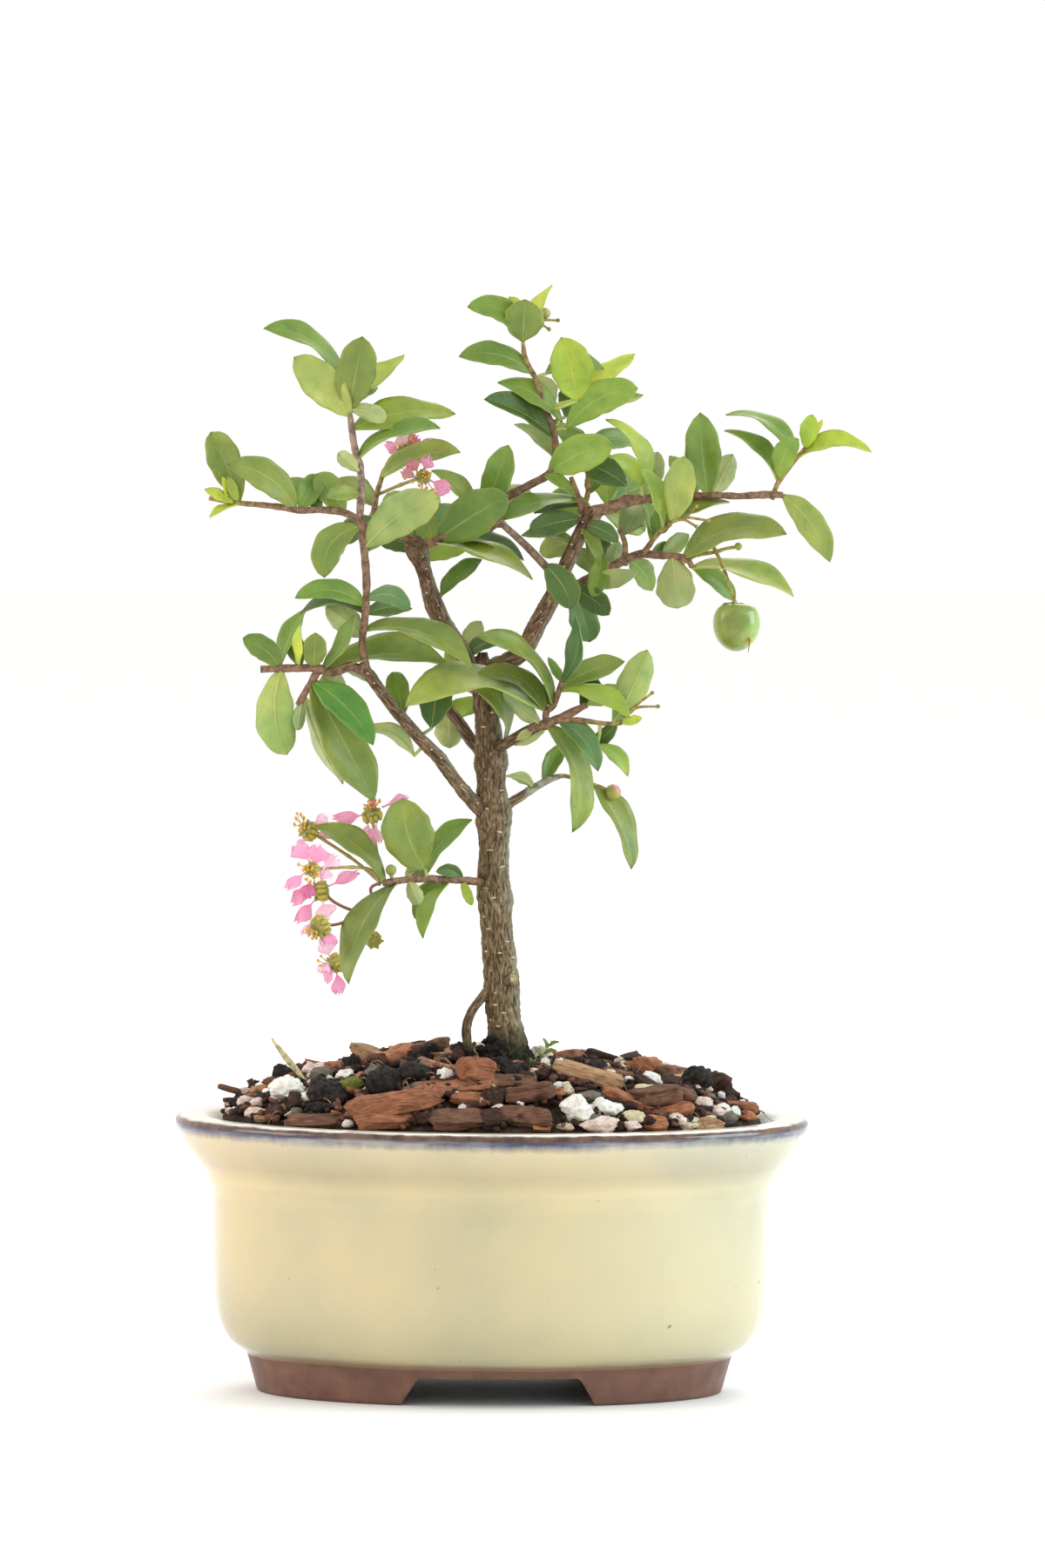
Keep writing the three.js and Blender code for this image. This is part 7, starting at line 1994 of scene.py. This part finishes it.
# %% Floor
FLOOR_REACH = 6
FLOOR_GAP = 0.0002
floor_mesh = bpy.data.meshes.new("floor")
floor_corners = [(FLOOR_REACH * x, FLOOR_REACH * y, 0) for x, y in ((-1, -1), (1, -1), (1, 1), (-1, 1))]
floor_mesh.from_pydata(floor_corners, [], [(0, 1, 2, 3)])
floor = bpy.data.objects.new("floor", floor_mesh)
bpy.context.scene.collection.objects.link(floor)
floor.location.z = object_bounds()[0].z - FLOOR_GAP
floor_finish, tree, shader = new_finish("floor_finish", 0.7)
shader.inputs["Base Color"].default_value = (0.975, 0.97, 0.955, 1)
floor_mesh.materials.append(floor_finish)
floor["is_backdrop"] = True
print("floor lies at, mm:", round(floor.location.z / MM, 2))

# %% Lights
LAMPS = {
    "left": ((-1.35, -0.25, 0.85), 0.8, 7.5, (1.0, 0.97, 0.92)),
    "right": ((1.35, -0.2, 0.7), 0.8, 12, (0.74, 0.93, 1.0)),
    "back": ((0.3, 1.2, 1.1), 0.9, 6, WHITE),
}
SKY_STRENGTH = 1.03


def hang_lamp(name, place, size, power, tint):
    """A square soft lamp that looks at the plant's middle."""
    light = bpy.data.lights.new(name, "AREA")
    light.size = size
    light.energy = power
    light.color = tint
    thing = bpy.data.objects.new(name, light)
    bpy.context.scene.collection.objects.link(thing)
    thing.location = Vector(place)
    aim = Vector((0, 0, 0.13)) - thing.location
    thing.rotation_euler = aim.to_track_quat("-Z", "Y").to_euler()


for name, settings in LAMPS.items():
    hang_lamp(name, *settings)
world = bpy.context.scene.world or bpy.data.worlds.new("world")
bpy.context.scene.world = world
world.use_nodes = True
bpy.context.scene.view_settings.view_transform = "Standard"
sky = world.node_tree.nodes["Background"]
sky.inputs["Color"].default_value = (1.0, 1.0, 1.0, 1)
sky.inputs["Strength"].default_value = SKY_STRENGTH
print("lamps:", len(LAMPS))

# %% [markdown]
# ## Sizes
# The outside size of the imported solids and of the dressed plant are printed side by side.

# %% Sizes and finish
dressed_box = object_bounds()
sizes = {
    "packed": [list(packed_box[0]), list(packed_box[1])],
    "dressed": [list(dressed_box[0]), list(dressed_box[1])],
}
for name, (low, high) in sizes.items():
    print(name, "mm:", [round((b - a) / MM, 1) for a, b in zip(low, high)])
